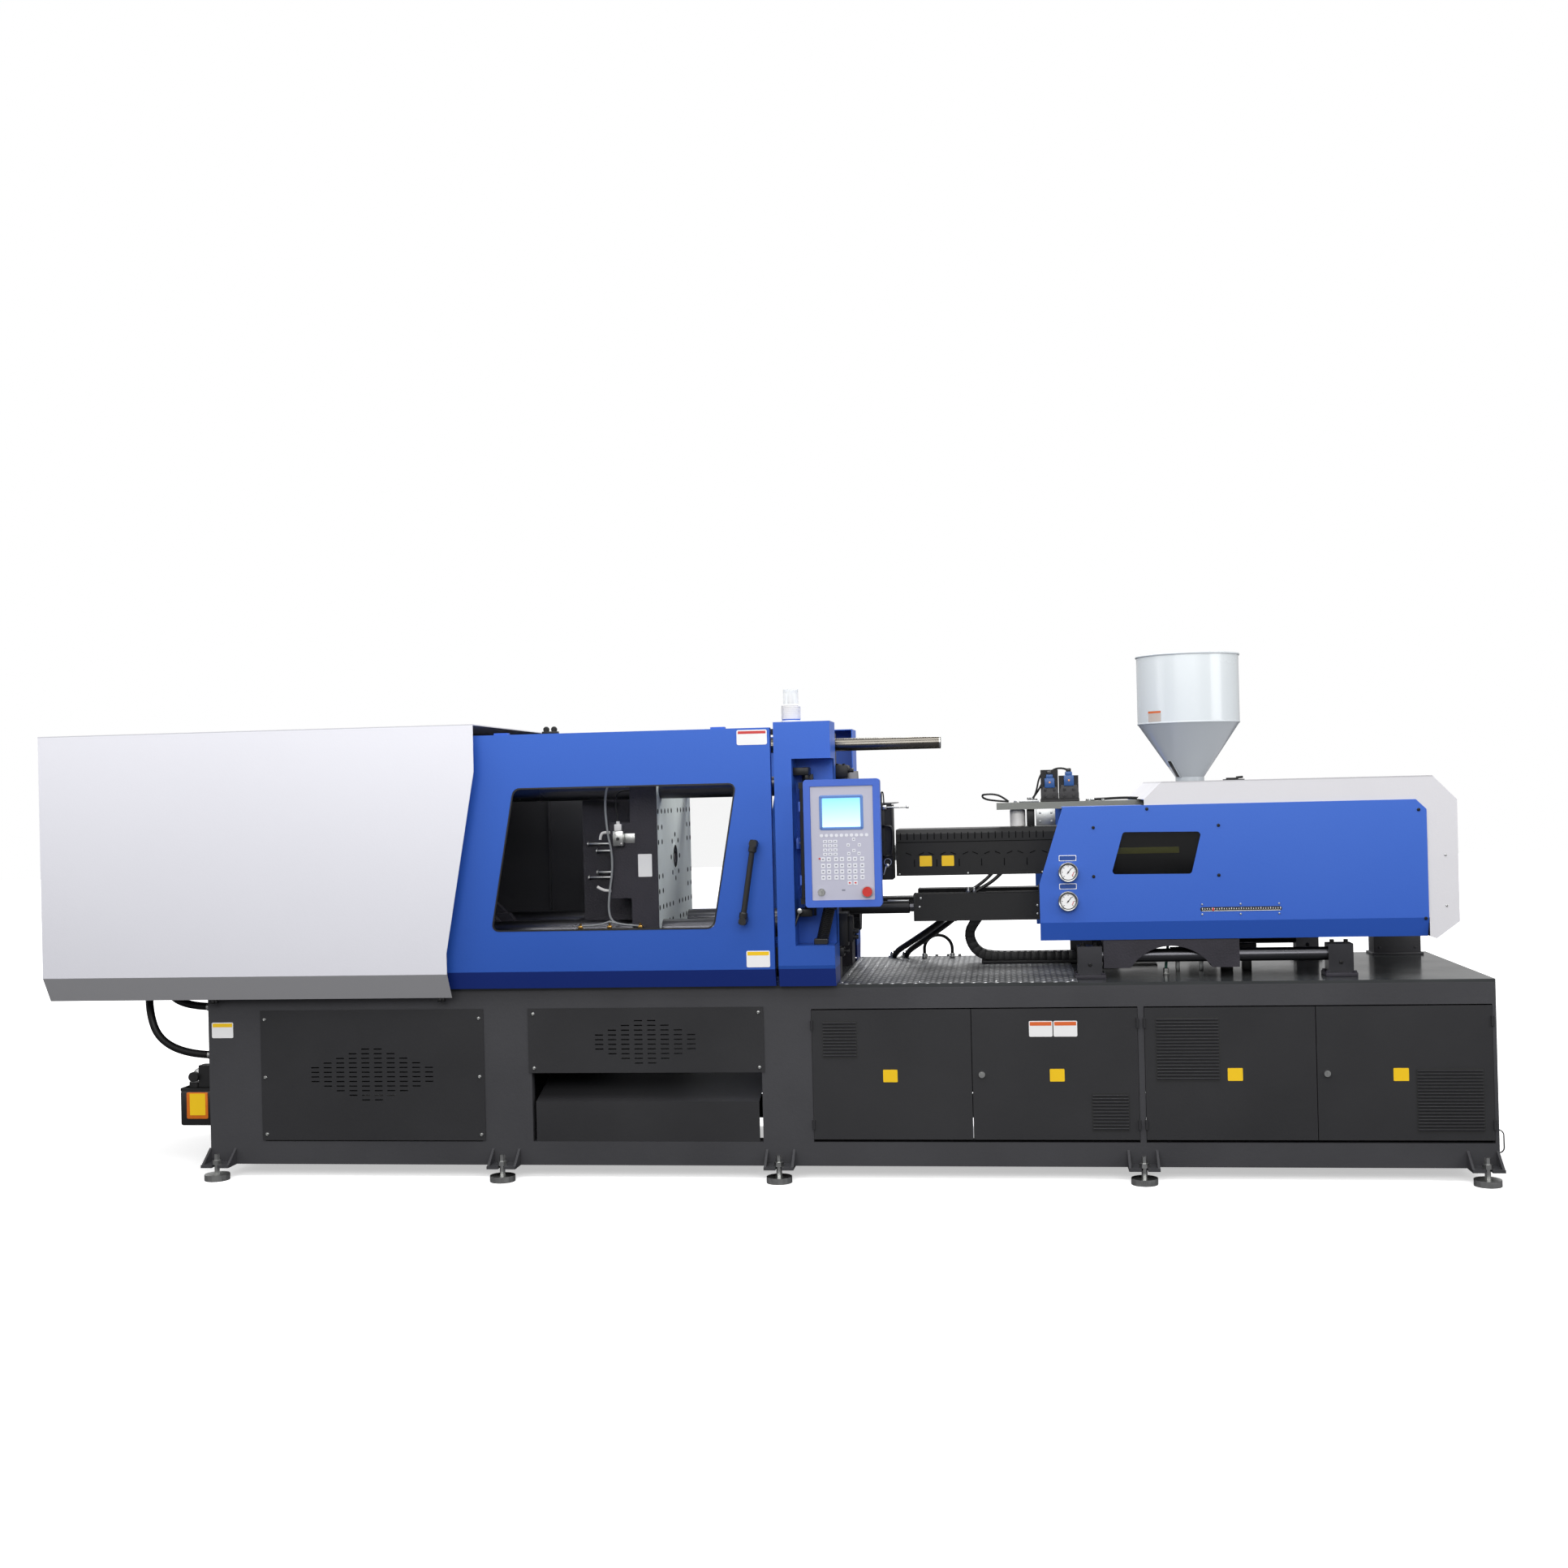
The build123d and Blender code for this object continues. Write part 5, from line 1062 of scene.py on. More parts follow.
@dataclass
class Label:
    """A blank plate or sticker on a face towards the operator."""

    name: str
    low: Spot
    high: Spot
    face_y: float
    body: str
    ground: Shop = Shop.LABEL_WHITE
    strip: Shop | None = None
    strip_share: float = 0.3

    def build(self) -> None:
        """Cut the plate with round corners and put its colour strip on top."""
        (left, foot), (right, head) = self.low, self.high
        plate = Blank(self.name)
        corner = 0.06 * (right - left)
        plate.plate((left, foot), (right, head), self.face_y - 0.8, 0.8, corner=corner)
        finishes = [self.ground]
        if self.strip:
            finishes.append(self.strip)
            inset = 0.04 * (right - left)
            share = (head - foot) * self.strip_share
            plate.paint(1).plate((left + inset, head - share), (right - inset, head - inset), self.face_y - 1.2, 0.5)
        plate.piece(finishes, self.body)


@dataclass
class BaseDress:
    """What is fixed to the welded base: screws, plates, louvres and the grease pump."""

    panel_y: float = -584.0
    door_y: float = -583.0
    slat_pitch: float = 13.0
    fields: tuple[tuple[int, float, float, float, float], ...] = (
        (1, 353, 493, 510, 659), (2, 1461.5, 1606.5, 205, 355), (3, 1724, 1973, 410, 665),
        (4, 2748.5, 3002.5, 202, 452))

    def louvres(self) -> None:
        """Press a field of slanted slats into each cabinet door."""
        turn = Matrix.Rotation(math.radians(38), 3, "X")
        for number, left, right, foot, head in self.fields:
            field = Blank(f"louvre_field_{number}")
            # A black plate behind the slats stands for the shade in the openings between them: painted shade
            field.paint(1).plate((left - 4, foot - 4), (right + 4, head + 4), self.door_y - 1.0, 1.0, corner=4)
            field.paint(0)
            count = int((head - foot) / self.slat_pitch)
            for row in range(count):
                height = foot + (row + 0.5) * (head - foot) / count
                field.block((left, self.door_y - 5.5, height - 5.0), (right, self.door_y - 3.5, height + 5.0),
                            bevel=0.8, turn=turn)
            field.piece([Shop.GREY_PAINT, Shop.INK_AND_SHADE], f"cabinet_door_{number}_body")

    def screws(self) -> None:
        """Fix the sheet panels with screws."""
        places = [(-2100, 686), (-1134, 685), (-2101, 434), (-1135, 434), (-2098, 186), (-1132, 185), (-893, 702),
                  (82, 702), (-893, 470), (82, 470)]
        heads = Blank("panel_screws")
        screw_row(heads, [(x, self.panel_y, z) for x, z in places], 8.0)
        heads.piece(Shop.ZINC, BASE)

    def plates(self) -> None:
        """Put the blank plates on the doors and the base."""
        for number, (x, z) in enumerate(((632, 432), (1320, 433), (2036, 434), (2687, 432)), 1):
            Label(f"door_plate_{number}", (x - 30, z - 26), (x + 30, z + 26), self.door_y,
                  f"cabinet_door_{number}_body", Shop.LABEL_YELLOW).build()
        for side, (low, high) in enumerate((((1209, 592), (1305, 657)), ((1309, 592), (1406, 657))), 1):
            Label(f"cabinet_sticker_{side}", low, high, self.door_y, "cabinet_door_2_body",
                  strip=Shop.LABEL_ORANGE).build()
        Label("base_sticker", (-2344, 606), (-2246, 674), -580.0, BASE, strip=Shop.LABEL_YELLOW).build()

    def grease_pump(self) -> None:
        """Dress the grease pump: amber tank, ribbed cap, gauge and its blank plate."""
        tank = Blank("grease_tank_shell")
        tank.block((-2506, -566, 219), (-2358, -434, 372), bevel=9)
        tank.piece(Shop.BLACK_PLASTIC, BASE)
        window = Blank("grease_tank_window")
        window.plate((-2474, 250), (-2376, 366), -570, 6, bevel=1.2, corner=6)
        window.paint(1).plate((-2459, 266), (-2387, 361), -571, 1, corner=3)
        window.paint(0).block((-2500, -560, 372), (-2364, -440, 384), bevel=3)
        window.piece([Shop.AMBER_TANK, Shop.LABEL_YELLOW], BASE)
        gauge = Blank("grease_gauge")
        gauge.lathe([(0, 18), (20, 18), (22, 20), (25, 19), (26, 4), (20, 0), (0, 0)], (-2428, -520, 444))
        gauge.paint(1).lathe([(0, 18.6), (20.5, 18.6), (20.5, 18)], (-2428, -520, 444), steps=32)
        gauge.paint(0).rod((-2428, -512, 382), (-2428, -512, 424), 7, bevel=1)
        gauge.paint(2).block((-2429, -540, 444), (-2427, -538.8, 460))
        gauge.piece([Shop.ZINC, Shop.LABEL_WHITE, Shop.INK_AND_SHADE], BASE)

    def build(self) -> None:
        """Dress the whole base."""
        self.louvres()
        self.screws()
        self.plates()
        self.grease_pump()


@dataclass
class ClampDress:
    """Guards of the clamp unit: door fittings, window gasket, labels and what shows inside the window."""

    door_y: float = -640.0
    window: tuple[Spot, ...] = ((-943, 1670), (20, 1670), (-87, 1060), (-1052, 1060))
    hole_radius: float = 11.0

    def door(self) -> None:
        """Fit the safety door: gasket, roller, handle ends and stickers."""
        gasket = Blank("window_gasket")
        gasket.slab(self.window, self.door_y - 1.5, 6, corner=34, hole=6)
        gasket.piece(Shop.BLACK_PLASTIC, DOOR)
        roller = Blank("door_roller")
        roller.block((-812, -634, 1896), (-744, -604, 1908), bevel=2)
        for x in (-796, -762):
            roller.lathe([(0, 12), (9, 12), (13, 9), (13, 3), (9, 0), (0, 0)], (x, -612, 1916), steps=24)
        roller.piece(Shop.BLACKED, DOOR)
        ends = Blank("handle_ends")
        top, foot = Vector((95, -686, 1428)), Vector((38, -686, 1081))
        run = (foot - top).normalized()
        for start, way in ((top, run), (foot, -run)):
            ends.lathe([(0, -3), (12, -3), (15.5, 0), (17.5, 4), (17.5, 16), (15.5, 19), (15.5, 24), (17.5, 27),
                        (17.5, 46), (15, 50), (12.5, 50)], tuple(start), tuple(way), 32)
            stand = start + way * 22
            ends.rod((stand.x, -690, stand.z), (stand.x, self.door_y, stand.z), 13, 15, bevel=1)
        ends.piece(Shop.BLACK_PLASTIC, DOOR)
        Label("door_sticker_high", (26, 1827), (154, 1890), self.door_y, DOOR, strip=Shop.LABEL_RED,
              strip_share=0.26).build()
        Label("door_sticker_low", (46, 897), (145, 966), self.door_y, DOOR, strip=Shop.LABEL_YELLOW,
              strip_share=0.28).build()

    def latches(self) -> None:
        """Hang the small catches under the white cover."""
        catches = Blank("cover_catches")
        for x in (-2309, -1285):
            catches.block((x - 16, -632, 762), (x + 16, -612, 783), bevel=3)
            catches.rod((x, -642, 772), (x, -606, 772), 6, sides=20, bevel=1)
        catches.piece(Shop.BLACKED, BASE)

    def inner_screen(self) -> None:
        """Stand the dark sheet that closes the clamp's far side behind the toggle."""
        sheet = Blank("rear_inner_screen")
        sheet.block((-1430, 540, DECK_Z), (-405, 544, 1850), bevel=0.8)
        for x in (-1426, -1100, -760, -409):
            sheet.block((x - 3, 516, DECK_Z), (x + 3, 541, 1850), bevel=0.8)
        sheet.block((-1430, 512, 1846), (-405, 544, 1850), bevel=0.8)
        screw_row(sheet, [(x, 540, z) for x in (-1412, -900, -424) for z in (860, 1320, 1790)], 7.0)
        sheet.piece(Shop.GREY_PAINT, BASE, "dark_steel")

    def mould_face(self) -> None:
        """Mark the tapped holes and the ejector holes, and lay the ground skin with the bore for the ejector rod."""
        # Each hole is a black disc on the face: painted shade for the hole's inside
        face = Blank("mould_face_holes")
        spots: list[Spot] = []
        for row, columns in ((280, (90, 166, 244)), (210, (75, 150, 225, 300, 380)), (140, (225, 300, 380)),
                             (75, (300, 380))):
            spots.extend(
                (side * y, up * row) for y in columns for side in (-1, 1) for up in (-1, 1) if (y, row) != (225, 140))
        spots.extend(
            (100 * math.cos(turn), 100 * math.sin(turn)) for turn in (math.radians(angle)
            for angle in range(0, 360, 45)))
        for y, rise in spots:
            face.lathe([(0.0, 0.9), (self.hole_radius, 0.9), (self.hole_radius + 1.0, 0.2)],
                       (MOULD_FACE_X, y, AXIS_Z + rise), (1, 0, 0), 14)
        face.piece(Shop.SLOT_BLACK, PLATEN)
        skin = Blank("moving_mould_skin")
        for side in (-1, 1):
            rim = [
                (side * 54 * math.sin(turn), AXIS_Z - 54 * math.cos(turn)) for turn in (math.radians(angle)
                for angle in range(0, 181, 15))]
            corners = [(side * y, z) for y, z in ((0, 1744), (361, 1744), (388, 1733), (399, 1706), (399, 984),
                                                  (388, 957), (361, 946), (0, 946))]
            skin.slab(rim + corners, 369.8, 0.8, turn=90.0)
        skin.lathe([(52, 0.3), (52, 1.2), (64, 1.2), (65, 0.3)], (MOULD_FACE_X, 0, AXIS_Z), (1, 0, 0), 48)
        # A black ring round the ejector rod stands for the inside of the bore: painted shade
        skin.paint(1).lathe([(28, 0.5), (52.5, 0.5)], (MOULD_FACE_X, 0, AXIS_Z), (1, 0, 0), 48)
        skin.piece([Shop.MOULD_FACE, Shop.SLOT_BLACK], PLATEN)

    def platen_fittings(self) -> None:
        """Put the switch, the grease block and the blank plate on the moving platen."""
        switch = Blank("platen_switch")
        switch.block((-562, -430, 1409), (-516, -400, 1474), bevel=3)
        switch.block((-520, -404, 1420), (-470, -399, 1462), bevel=1)
        switch.paint(1).block((-556, -426, 1474), (-524, -404, 1504), bevel=4)
        switch.rod((-540, -415, 1504), (-540, -415, 1516), 8, sides=20, bevel=1)
        screw_row(switch, [(-554, -430, 1464), (-524, -430, 1420)], 4.0)
        switch.paint(2).rod((-539, -431, 1440), (-539, -436, 1440), 7, sides=20, bevel=1)
        switch.piece([Shop.ZINC, Shop.WHITE_PLASTIC, Shop.INK_AND_SHADE], PLATEN)
        arm = Blank("grease_block")
        arm.block((-740, -408, 1040), (-440, -400, 1050), bevel=1)
        arm.block((-610, -408, 1690), (-470, -398, 1702), bevel=1)
        for x in (-720, -590, -454):
            arm.paint(1).block((x - 10, -412, 1046), (x + 10, -398, 1062), bevel=2)
            arm.rod((x, -405, 1060), (x, -405, 1072), 5, sides=6)
            arm.paint(0)
        arm.piece([Shop.BLACKED, Shop.BRASS], PLATEN, "machined_steel")
        for name, route in (
            ("grease_branch_left", ((-0.590, -0.406, 1.080), (-0.610, -0.408, 1.072), (-0.660, -0.410, 1.063),
                                    (-0.714, -0.408, 1.062))),
            ("grease_branch_right", ((-0.590, -0.406, 1.080), (-0.570, -0.408, 1.074), (-0.520, -0.410, 1.064),
                                     (-0.460, -0.408, 1.060))),
        ):
            bent_bar(name, route, 0.004, Shop.GREY_LINE, PLATEN)
        for name, route in (
            ("upper_white_lever", ((-0.634, -0.360, 1.436), (-0.631, -0.360, 1.462), (-0.612, -0.360, 1.468),
                                   (-0.572, -0.360, 1.466), (-0.566, -0.360, 1.450))),
            ("lower_white_lever", ((-0.652, -0.360, 1.230), (-0.632, -0.360, 1.216), (-0.600, -0.360, 1.210),
                                   (-0.574, -0.360, 1.212))),
        ):
            bent_bar(name, route, 0.0065, Shop.WHITE_PLASTIC, PLATEN)
        Label("platen_plate", (-458, 1272), (-397, 1371), -400.0, PLATEN).build()
        guides = Blank("ejector_guides")
        for side in (-1, 1):
            guides.paint(1).plate((-760, 1039), (-579, 1675), side * 156 - 6, 12, corner=40)
        guides.paint(0)
        for y, z, low in ((-180, 1381, -690), (-180, 1285, -690), (-176, 1413, -730), (-176, 1262, -730)):
            guides.rod((low, y, z), (-578, y, z), 6, sides=24, bevel=1)
            hex_bolts(guides, [(low, y, z)], 9, 6, (-1, 0, 0))
        guides.piece([Shop.ZINC, Shop.CASTING], PLATEN, "cast_platen")

    def build(self) -> None:
        """Dress the clamp unit."""
        self.door()
        self.latches()
        self.inner_screen()
        self.mould_face()
        self.platen_fittings()


@dataclass
class ColumnDress:
    """The blue column at the fixed platen: beacon, panel arms, conduit and the platen's clamps behind it."""

    notch_y: float = -500.0
    beacon: Spot = (246.0, -541.0)

    def beacon_parts(self) -> None:
        """Ring the beacon's socket with ribs and give the dome its lamp."""
        x, y = self.beacon
        socket = Blank("beacon_socket")
        profile = [(42.0, 1919.0), (42.0, 1926.0), (36.0, 1930.0), (40.5, 1934.0)]
        for rib in range(9):
            height = 1936.0 + rib * 5.8
            profile.extend([(41.0, height), (41.0, height + 3.6), (39.4, height + 4.0), (39.4, height + 5.4)])
        profile.extend([(41.0, 1990.0), (36.0, 1994.0), (33.0, 1994.0)])
        socket.lathe([(reach, height - 1919.0) for reach, height in profile], (x, y, 1919), (0, 0, 1), 48)
        socket.piece(Shop.WHITE_PLASTIC, BASE)
        lamp = Blank("beacon_lamp")
        lamp.lathe([(0, 0), (14, 0), (14, 30), (11, 40), (6, 48), (0, 50)], (x, y, 1990), (0, 0, 1), 32)
        lamp.paint(1)
        for turn in range(12):
            angle = math.radians(30 * turn)
            lamp.block((x + 30.5 * math.cos(angle) - 0.9, y + 30.5 * math.sin(angle) - 0.9, 1993),
                       (x + 30.5 * math.cos(angle) + 0.9, y + 30.5 * math.sin(angle) + 0.9, 2054))
        lamp.lathe([(0, 69.5), (26, 69.8), (31, 67.0), (32.4, 62.0), (32.4, 58.0), (30.0, 57.0)], (x, y, 1990),
                   (0, 0, 1), 48)
        lamp.piece([Shop.WHITE_PLASTIC, Shop.DOME], BASE, "clear_panel")

    def notch(self) -> None:
        """Line the notch and fill it with the panel's mounting strip, brackets, pin and clamping lever."""
        lining = Blank("notch_lining")
        lining.block((254, self.notch_y, 982), (417, self.notch_y + 3, 1766))
        lining.block((251, -639, 982), (254, self.notch_y + 3, 1766))
        lining.block((251, -639, 1764), (417, self.notch_y + 3, 1767))
        lining.block((251, -639, 981), (417, self.notch_y + 3, 984))
        lining.piece(Shop.BLUE_COAT, BASE)
        strip = Blank("panel_mount_strip")
        strip.block((283, -512, 1100), (330, -499, 1700), bevel=2)
        screw_row(strip, [(320, -512, z) for z in (1640, 1560, 1330, 1250, 1180)], 6.0)
        strip.block((251, -590, 1695), (319, -498, 1728), bevel=3)
        strip.rod((308, -575, 1696), (308, -575, 1668), 11, sides=32, bevel=1)
        strip.block((243, -600, 1102), (323, -498, 1134), bevel=3)
        strip.piece(Shop.BLACKED, BASE)
        pin = Blank("panel_lock_pin")
        pin.block((260, -600, 1386), (272, -498, 1432), bevel=2)
        pin.paint(1).rod((270, -560, 1409), (288, -560, 1409), 5.5, sides=24, bevel=1)
        pin.piece([Shop.FRAME_COAT, Shop.ZINC], BASE, "machined_steel")
        lever = Blank("panel_clamp_lever")
        lever.rod((272, -620, 1128), (272, -592, 1128), 11, sides=32, bevel=1.5)
        lever.paint(1).rod((272, -614, 1126), (242, -626, 1046), 4.5, 6.5, sides=24, bevel=1)
        lever.piece([Shop.ZINC, Shop.BLACK_PLASTIC], BASE, "dark_steel")

    def conduit(self) -> None:
        """Run the corrugated conduit from the panel down into the column."""
        pipe = Blank("panel_conduit")
        top, foot = Vector((398, -600, 1149)), Vector((356, -560, 992))
        run = foot - top
        ribs = 20
        profile: list[Spot] = []
        for rib in range(ribs):
            start = run.length * rib / ribs
            step = run.length / ribs
            profile.extend([(21.0, start + 0.1 * step), (25.0, start + 0.3 * step), (25.0, start + 0.65 * step),
                            (21.0, start + 0.85 * step)])
        pipe.lathe(profile, top, run.normalized(), 32)
        pipe.block((326, -590, 984), (384, -530, 1008), bevel=3)
        pipe.rod((400, -600, 1151), (396, -602, 1136), 31, sides=32, bevel=2)
        pipe.piece(Shop.BLACK_PLASTIC, BASE, smooth=20)

    def platen_clamps(self) -> None:
        """Bolt the black clamps on the back face of the fixed platen."""
        clamps = Blank("platen_back_clamps")
        clamps.block((409, -430, 1683), (470, -372, 1735), bevel=3)
        clamps.block((450, -424, 1640), (468, -378, 1722), bevel=2)
        clamps.block((409, -436, 963), (456, -372, 1103), bevel=3)
        clamps.block((456, -430, 979), (477, -378, 1090), bevel=2)
        clamps.block((409, -430, 918), (436, -380, 956), bevel=2)
        hex_bolts(clamps, [(470, -415, 1713), (470, -386, 1713), (477, -418, 1024), (477, -418, 1000),
                           (477, -390, 1024), (436, -410, 940)], 9, 18, (1, 0, 0))
        hex_bolts(clamps, [(424, -402, 1735), (452, -402, 1735)], 7, 6)
        clamps.piece(Shop.BLACKED, BASE)
        ring = Blank("safety_rod_end")
        ring.lathe(
            [(0, 1.5), (20, 1.5), (26, 0.5), (27.6, -1.5), (27.6, -6), (27.4, -6)], (866, -350, 1825), (1, 0, 0), 48)
        ring.piece(Shop.ZINC, PLATEN, "bar_steel")

    def build(self) -> None:
        """Dress the column."""
        self.beacon_parts()
        self.notch()
        self.conduit()
        self.platen_clamps()


@dataclass
class OperatorPanel:
    """Face of the control panel: foil, screen and keys."""

    face_y: float = -730.0
    key: float = 17.0
    columns: tuple[float, ...] = (387, 411, 441, 465, 495, 519, 548)
    body: str = "control_panel_body"

    def foil(self) -> None:
        """Lay the foil with the bezel and the lit screen."""
        sheet = Blank("panel_foil")
        sheet.plate((340, 1178), (597, 1645), self.face_y - 1.0, 1.0, corner=4)
        sheet.piece(Shop.GREY_FOIL, self.body)
        bezel = Blank("screen_bezel")
        bezel.plate((376, 1466), (557, 1609), self.face_y - 2.6, 1.6, corner=9, hole=12, bevel=0.5)
        bezel.piece(Shop.BEZEL_BLUE, self.body)
        screen = Blank("screen")
        screen.plate((387, 1477), (546, 1598), self.face_y - 1.6, 0.6)
        screen.piece(Shop.SCREEN, self.body)

    def keys(self) -> None:
        """Emboss the keys, each with a small plain mark."""
        pads = Blank("panel_keys")
        face = self.face_y - 1.0
        for number in range(10):
            x = 376 + number * 20.6
            pads.plate((x, 1437), (x + 14, 1450), face - 0.8, 0.8, corner=6)
        for row in range(4):
            for column in range(3):
                self.pad(pads, 397 + column * 21, 1419 - row * 17.5, 17, 12)
        for x, z in ((515, 1426), (515, 1380), (492, 1403), (538, 1403), (494, 1368), (536, 1368)):
            self.pad(pads, x, z, 13, 13)
        for row, z in enumerate((1346, 1319, 1295, 1271)):
            for column, x in enumerate(self.columns):
                self.pad(pads, x, z, self.key, self.key + (1 if row else 0))
        for x in (495, 519):
            self.pad(pads, x, 1248, self.key, self.key)
        pads.paint(2)
        for x, z in ((373, 1349), (495, 1248), (519, 1248)):
            pads.plate((x - 4, z - 3), (x + 4, z + 3), face - 1.6, 0.5, corner=1.5)
        pads.paint(1).plate((462, 1215), (476, 1222), face - 0.3, 0.3)
        pads.piece([Shop.KEY_FOIL, Shop.KEY_MARK, Shop.LABEL_RED], self.body)

    def pad(self, blank: Blank, x: float, z: float, width: float, height: float) -> None:
        """Add one key with a plain mark in its middle.

        Args:
            blank: the piece that holds it.
            x: middle.
            z: middle.
            width: key width.
            height: key height.
        """
        face = self.face_y - 1.0
        w, h = width / 2, height / 2
        blank.paint(0).plate((x - w, z - h), (x + w, z + h), face - 0.9, 0.9, corner=2)
        blank.paint(1).plate((x - 0.45 * w, z - 0.3 * h), (x + 0.45 * w, z + 0.3 * h), face - 1.1, 0.3)

    def details(self) -> None:
        """Ring the stop button and the key."""
        rings = Blank("panel_rings")
        rings.lathe([(20.5, 0), (20.5, 2.0), (25, 2.0), (26, 0)], (567, self.face_y - 1, 1211), steps=40)
        rings.paint(1).lathe([(12.4, 0), (12.4, 3.0), (15, 3.0), (16, 0)], (378, self.face_y - 1, 1211), steps=32)
        rings.piece([Shop.RING_FILM, Shop.ZINC], self.body)

    def build(self) -> None:
        """Dress the panel."""
        self.foil()
        self.keys()
        self.details()


@dataclass
class BarrelDress:
    """Barrel cover, purge guard, carriage beams and the energy chain."""

    cover_y: float = -150.0
    beam_y: float = -255.0
    chain_y: float = 220.0

    def cover(self) -> None:
        """Press the barrel cover: fold line, upright ticks, slanted hooks, screws and blank plates."""
        # The fold line, ticks and hooks are thin black strips that stand for the shade in the pressed fold and slots:
        # painted shade
        marks = Blank("barrel_cover_marks")
        face = self.cover_y
        marks.plate((652, 1389), (1404, 1392), face - 1.2, 1.2)
        for number in range(22):
            x = 672 + number * 29.7
            marks.plate((x - 2, 1402), (x + 2, 1432), face - 2.2, 2.2, bevel=0.6)
        for x in (731.6, 829.6, 928, 1025.7, 1124.5, 1223, 1321):
            marks.plate((x - 2, 1283), (x + 2, 1315), face - 2.2, 2.2, bevel=0.6)
        for number, x in enumerate((706, 762, 805, 857, 902, 956, 998, 1050, 1096, 1149, 1195, 1248, 1300, 1350)):
            lean = 8 if number % 2 else -8
            marks.slab([(x - 12, 1338 - lean / 1.6), (x + 12, 1338 + lean / 1.6), (x + 12, 1342 + lean / 1.6),
                        (x - 12, 1342 - lean / 1.6)], face - 2.2, 2.2, bevel=0.5)
        marks.piece(Shop.SLOT_BLACK, CARRIAGE)
        heads = Blank("barrel_cover_screws")
        screw_row(heads, [(x, face, 1251) for x in (664, 965, 1289, 1392)], 4.5)
        screw_row(heads, [(754, self.beam_y, 1112), (760, self.beam_y, 1150), (1262, self.beam_y, 1112),
                          (1262, self.beam_y, 1076)], 5.5)
        heads.piece(Shop.ZINC, CARRIAGE)
        for number, x in enumerate((781, 878), 1):
            Label(f"barrel_plate_{number}", (x - 27, 1284), (x + 27, 1330), face, CARRIAGE, Shop.LABEL_YELLOW).build()

    def purge(self) -> None:
        """Fit the purge guard: upright strip, pull handle, latch bar, key ring and its wire."""
        strip = Blank("purge_strip")
        strip.block((596, -268, 1236), (612, -258, 1566), bevel=1.5)
        strip.block((640, -266, 1236), (646, -150, 1560), bevel=1.5)
        screw_row(strip, [(604, -268, z) for z in (1540, 1400, 1260)], 4.5)
        strip.piece(Shop.BLACK_COAT, GUARD)
        latch = Blank("purge_latch")
        latch.rod((610, -266, 1549), (712, -266, 1549), 4, sides=24, bevel=0.8)
        latch.rod((706, -266, 1549), (718, -266, 1549), 6, sides=24, bevel=1)
        latch.block((604, -274, 1540), (622, -258, 1558), bevel=2)
        latch.piece(Shop.ZINC, GUARD)
        bent_bar(
            "purge_pull", ((0.604, -0.266, 1.468), (0.604, -0.292, 1.468), (0.640, -0.294, 1.468),
            (0.648, -0.294, 1.440), (0.644, -0.294, 1.360), (0.638, -0.294, 1.338), (0.604, -0.292, 1.336),
            (0.604, -0.266, 1.336)), 0.0055, Shop.BLACKED, GUARD)
        bent_bar(
            "purge_top_loop", ((0.599, -0.262, 1.555), (0.599, -0.262, 1.610), (0.602, -0.262, 1.618),
            (0.609, -0.262, 1.612), (0.610, -0.262, 1.555)), 0.003, Shop.BLACKED, GUARD)
        ring = Blank("purge_key")
        ring.lathe([(14, -1.2), (16.5, -1.2), (16.5, 1.2), (14, 1.2), (14, -1.2)], (622, -276, 1311), (0, -1, 0), 32)
        ring.slab([(612, 1296), (618, 1298), (606, 1256), (600, 1254)], -278, 2, bevel=0.4)
        ring.rod((620, -279, 1296), (620, -274, 1296), 8, sides=24, bevel=0.6)
        ring.piece(Shop.ZINC, GUARD)

    def beams(self) -> None:
        """Cap the carriage beams, sheath the rods in front of them and set the fittings on top."""
        caps = Blank("beam_caps")
        for side in (-1, 1):
            low, high = sorted((side * 145, side * 255))
            caps.block((728, low - 1, 1050), (736, high + 1, 1169), bevel=2)
            caps.rod((700, side * 200, 1109), (730, side * 200, 1109), 17, sides=32, bevel=1.5)
        caps.piece(Shop.BLACK_COAT, CARRIAGE)
        sheath = Blank("rod_sheaths")
        for side in (-1, 1):
            sheath.lathe([(20, 0), (27, 1.5), (27, 296), (24, 299), (20, 299), (20, 0)], (410, side * 200, 1109),
                         (1, 0, 0), 40)
        sheath.paint(1).block((612, -214, 1134), (706, -186, 1141), bevel=1)
        sheath.piece([Shop.BLACKED, Shop.MILLED], BASE)
        pads = Blank("beam_top_fittings")
        pads.block((1040, -240, 1168), (1300, -180, 1172), bevel=1)
        pads.block((1268, -230, 1168), (1290, -190, 1200), bevel=2)
        for x in (1296, 1318):
            pads.rod((x, -200, 1040), (x, -200, 1052), 6, sides=24, bevel=1.5)
            pads.rod((x, -160, 1168), (x, -160, 1246), 7, sides=24)
        pads.piece(Shop.BLACKED, CARRIAGE)

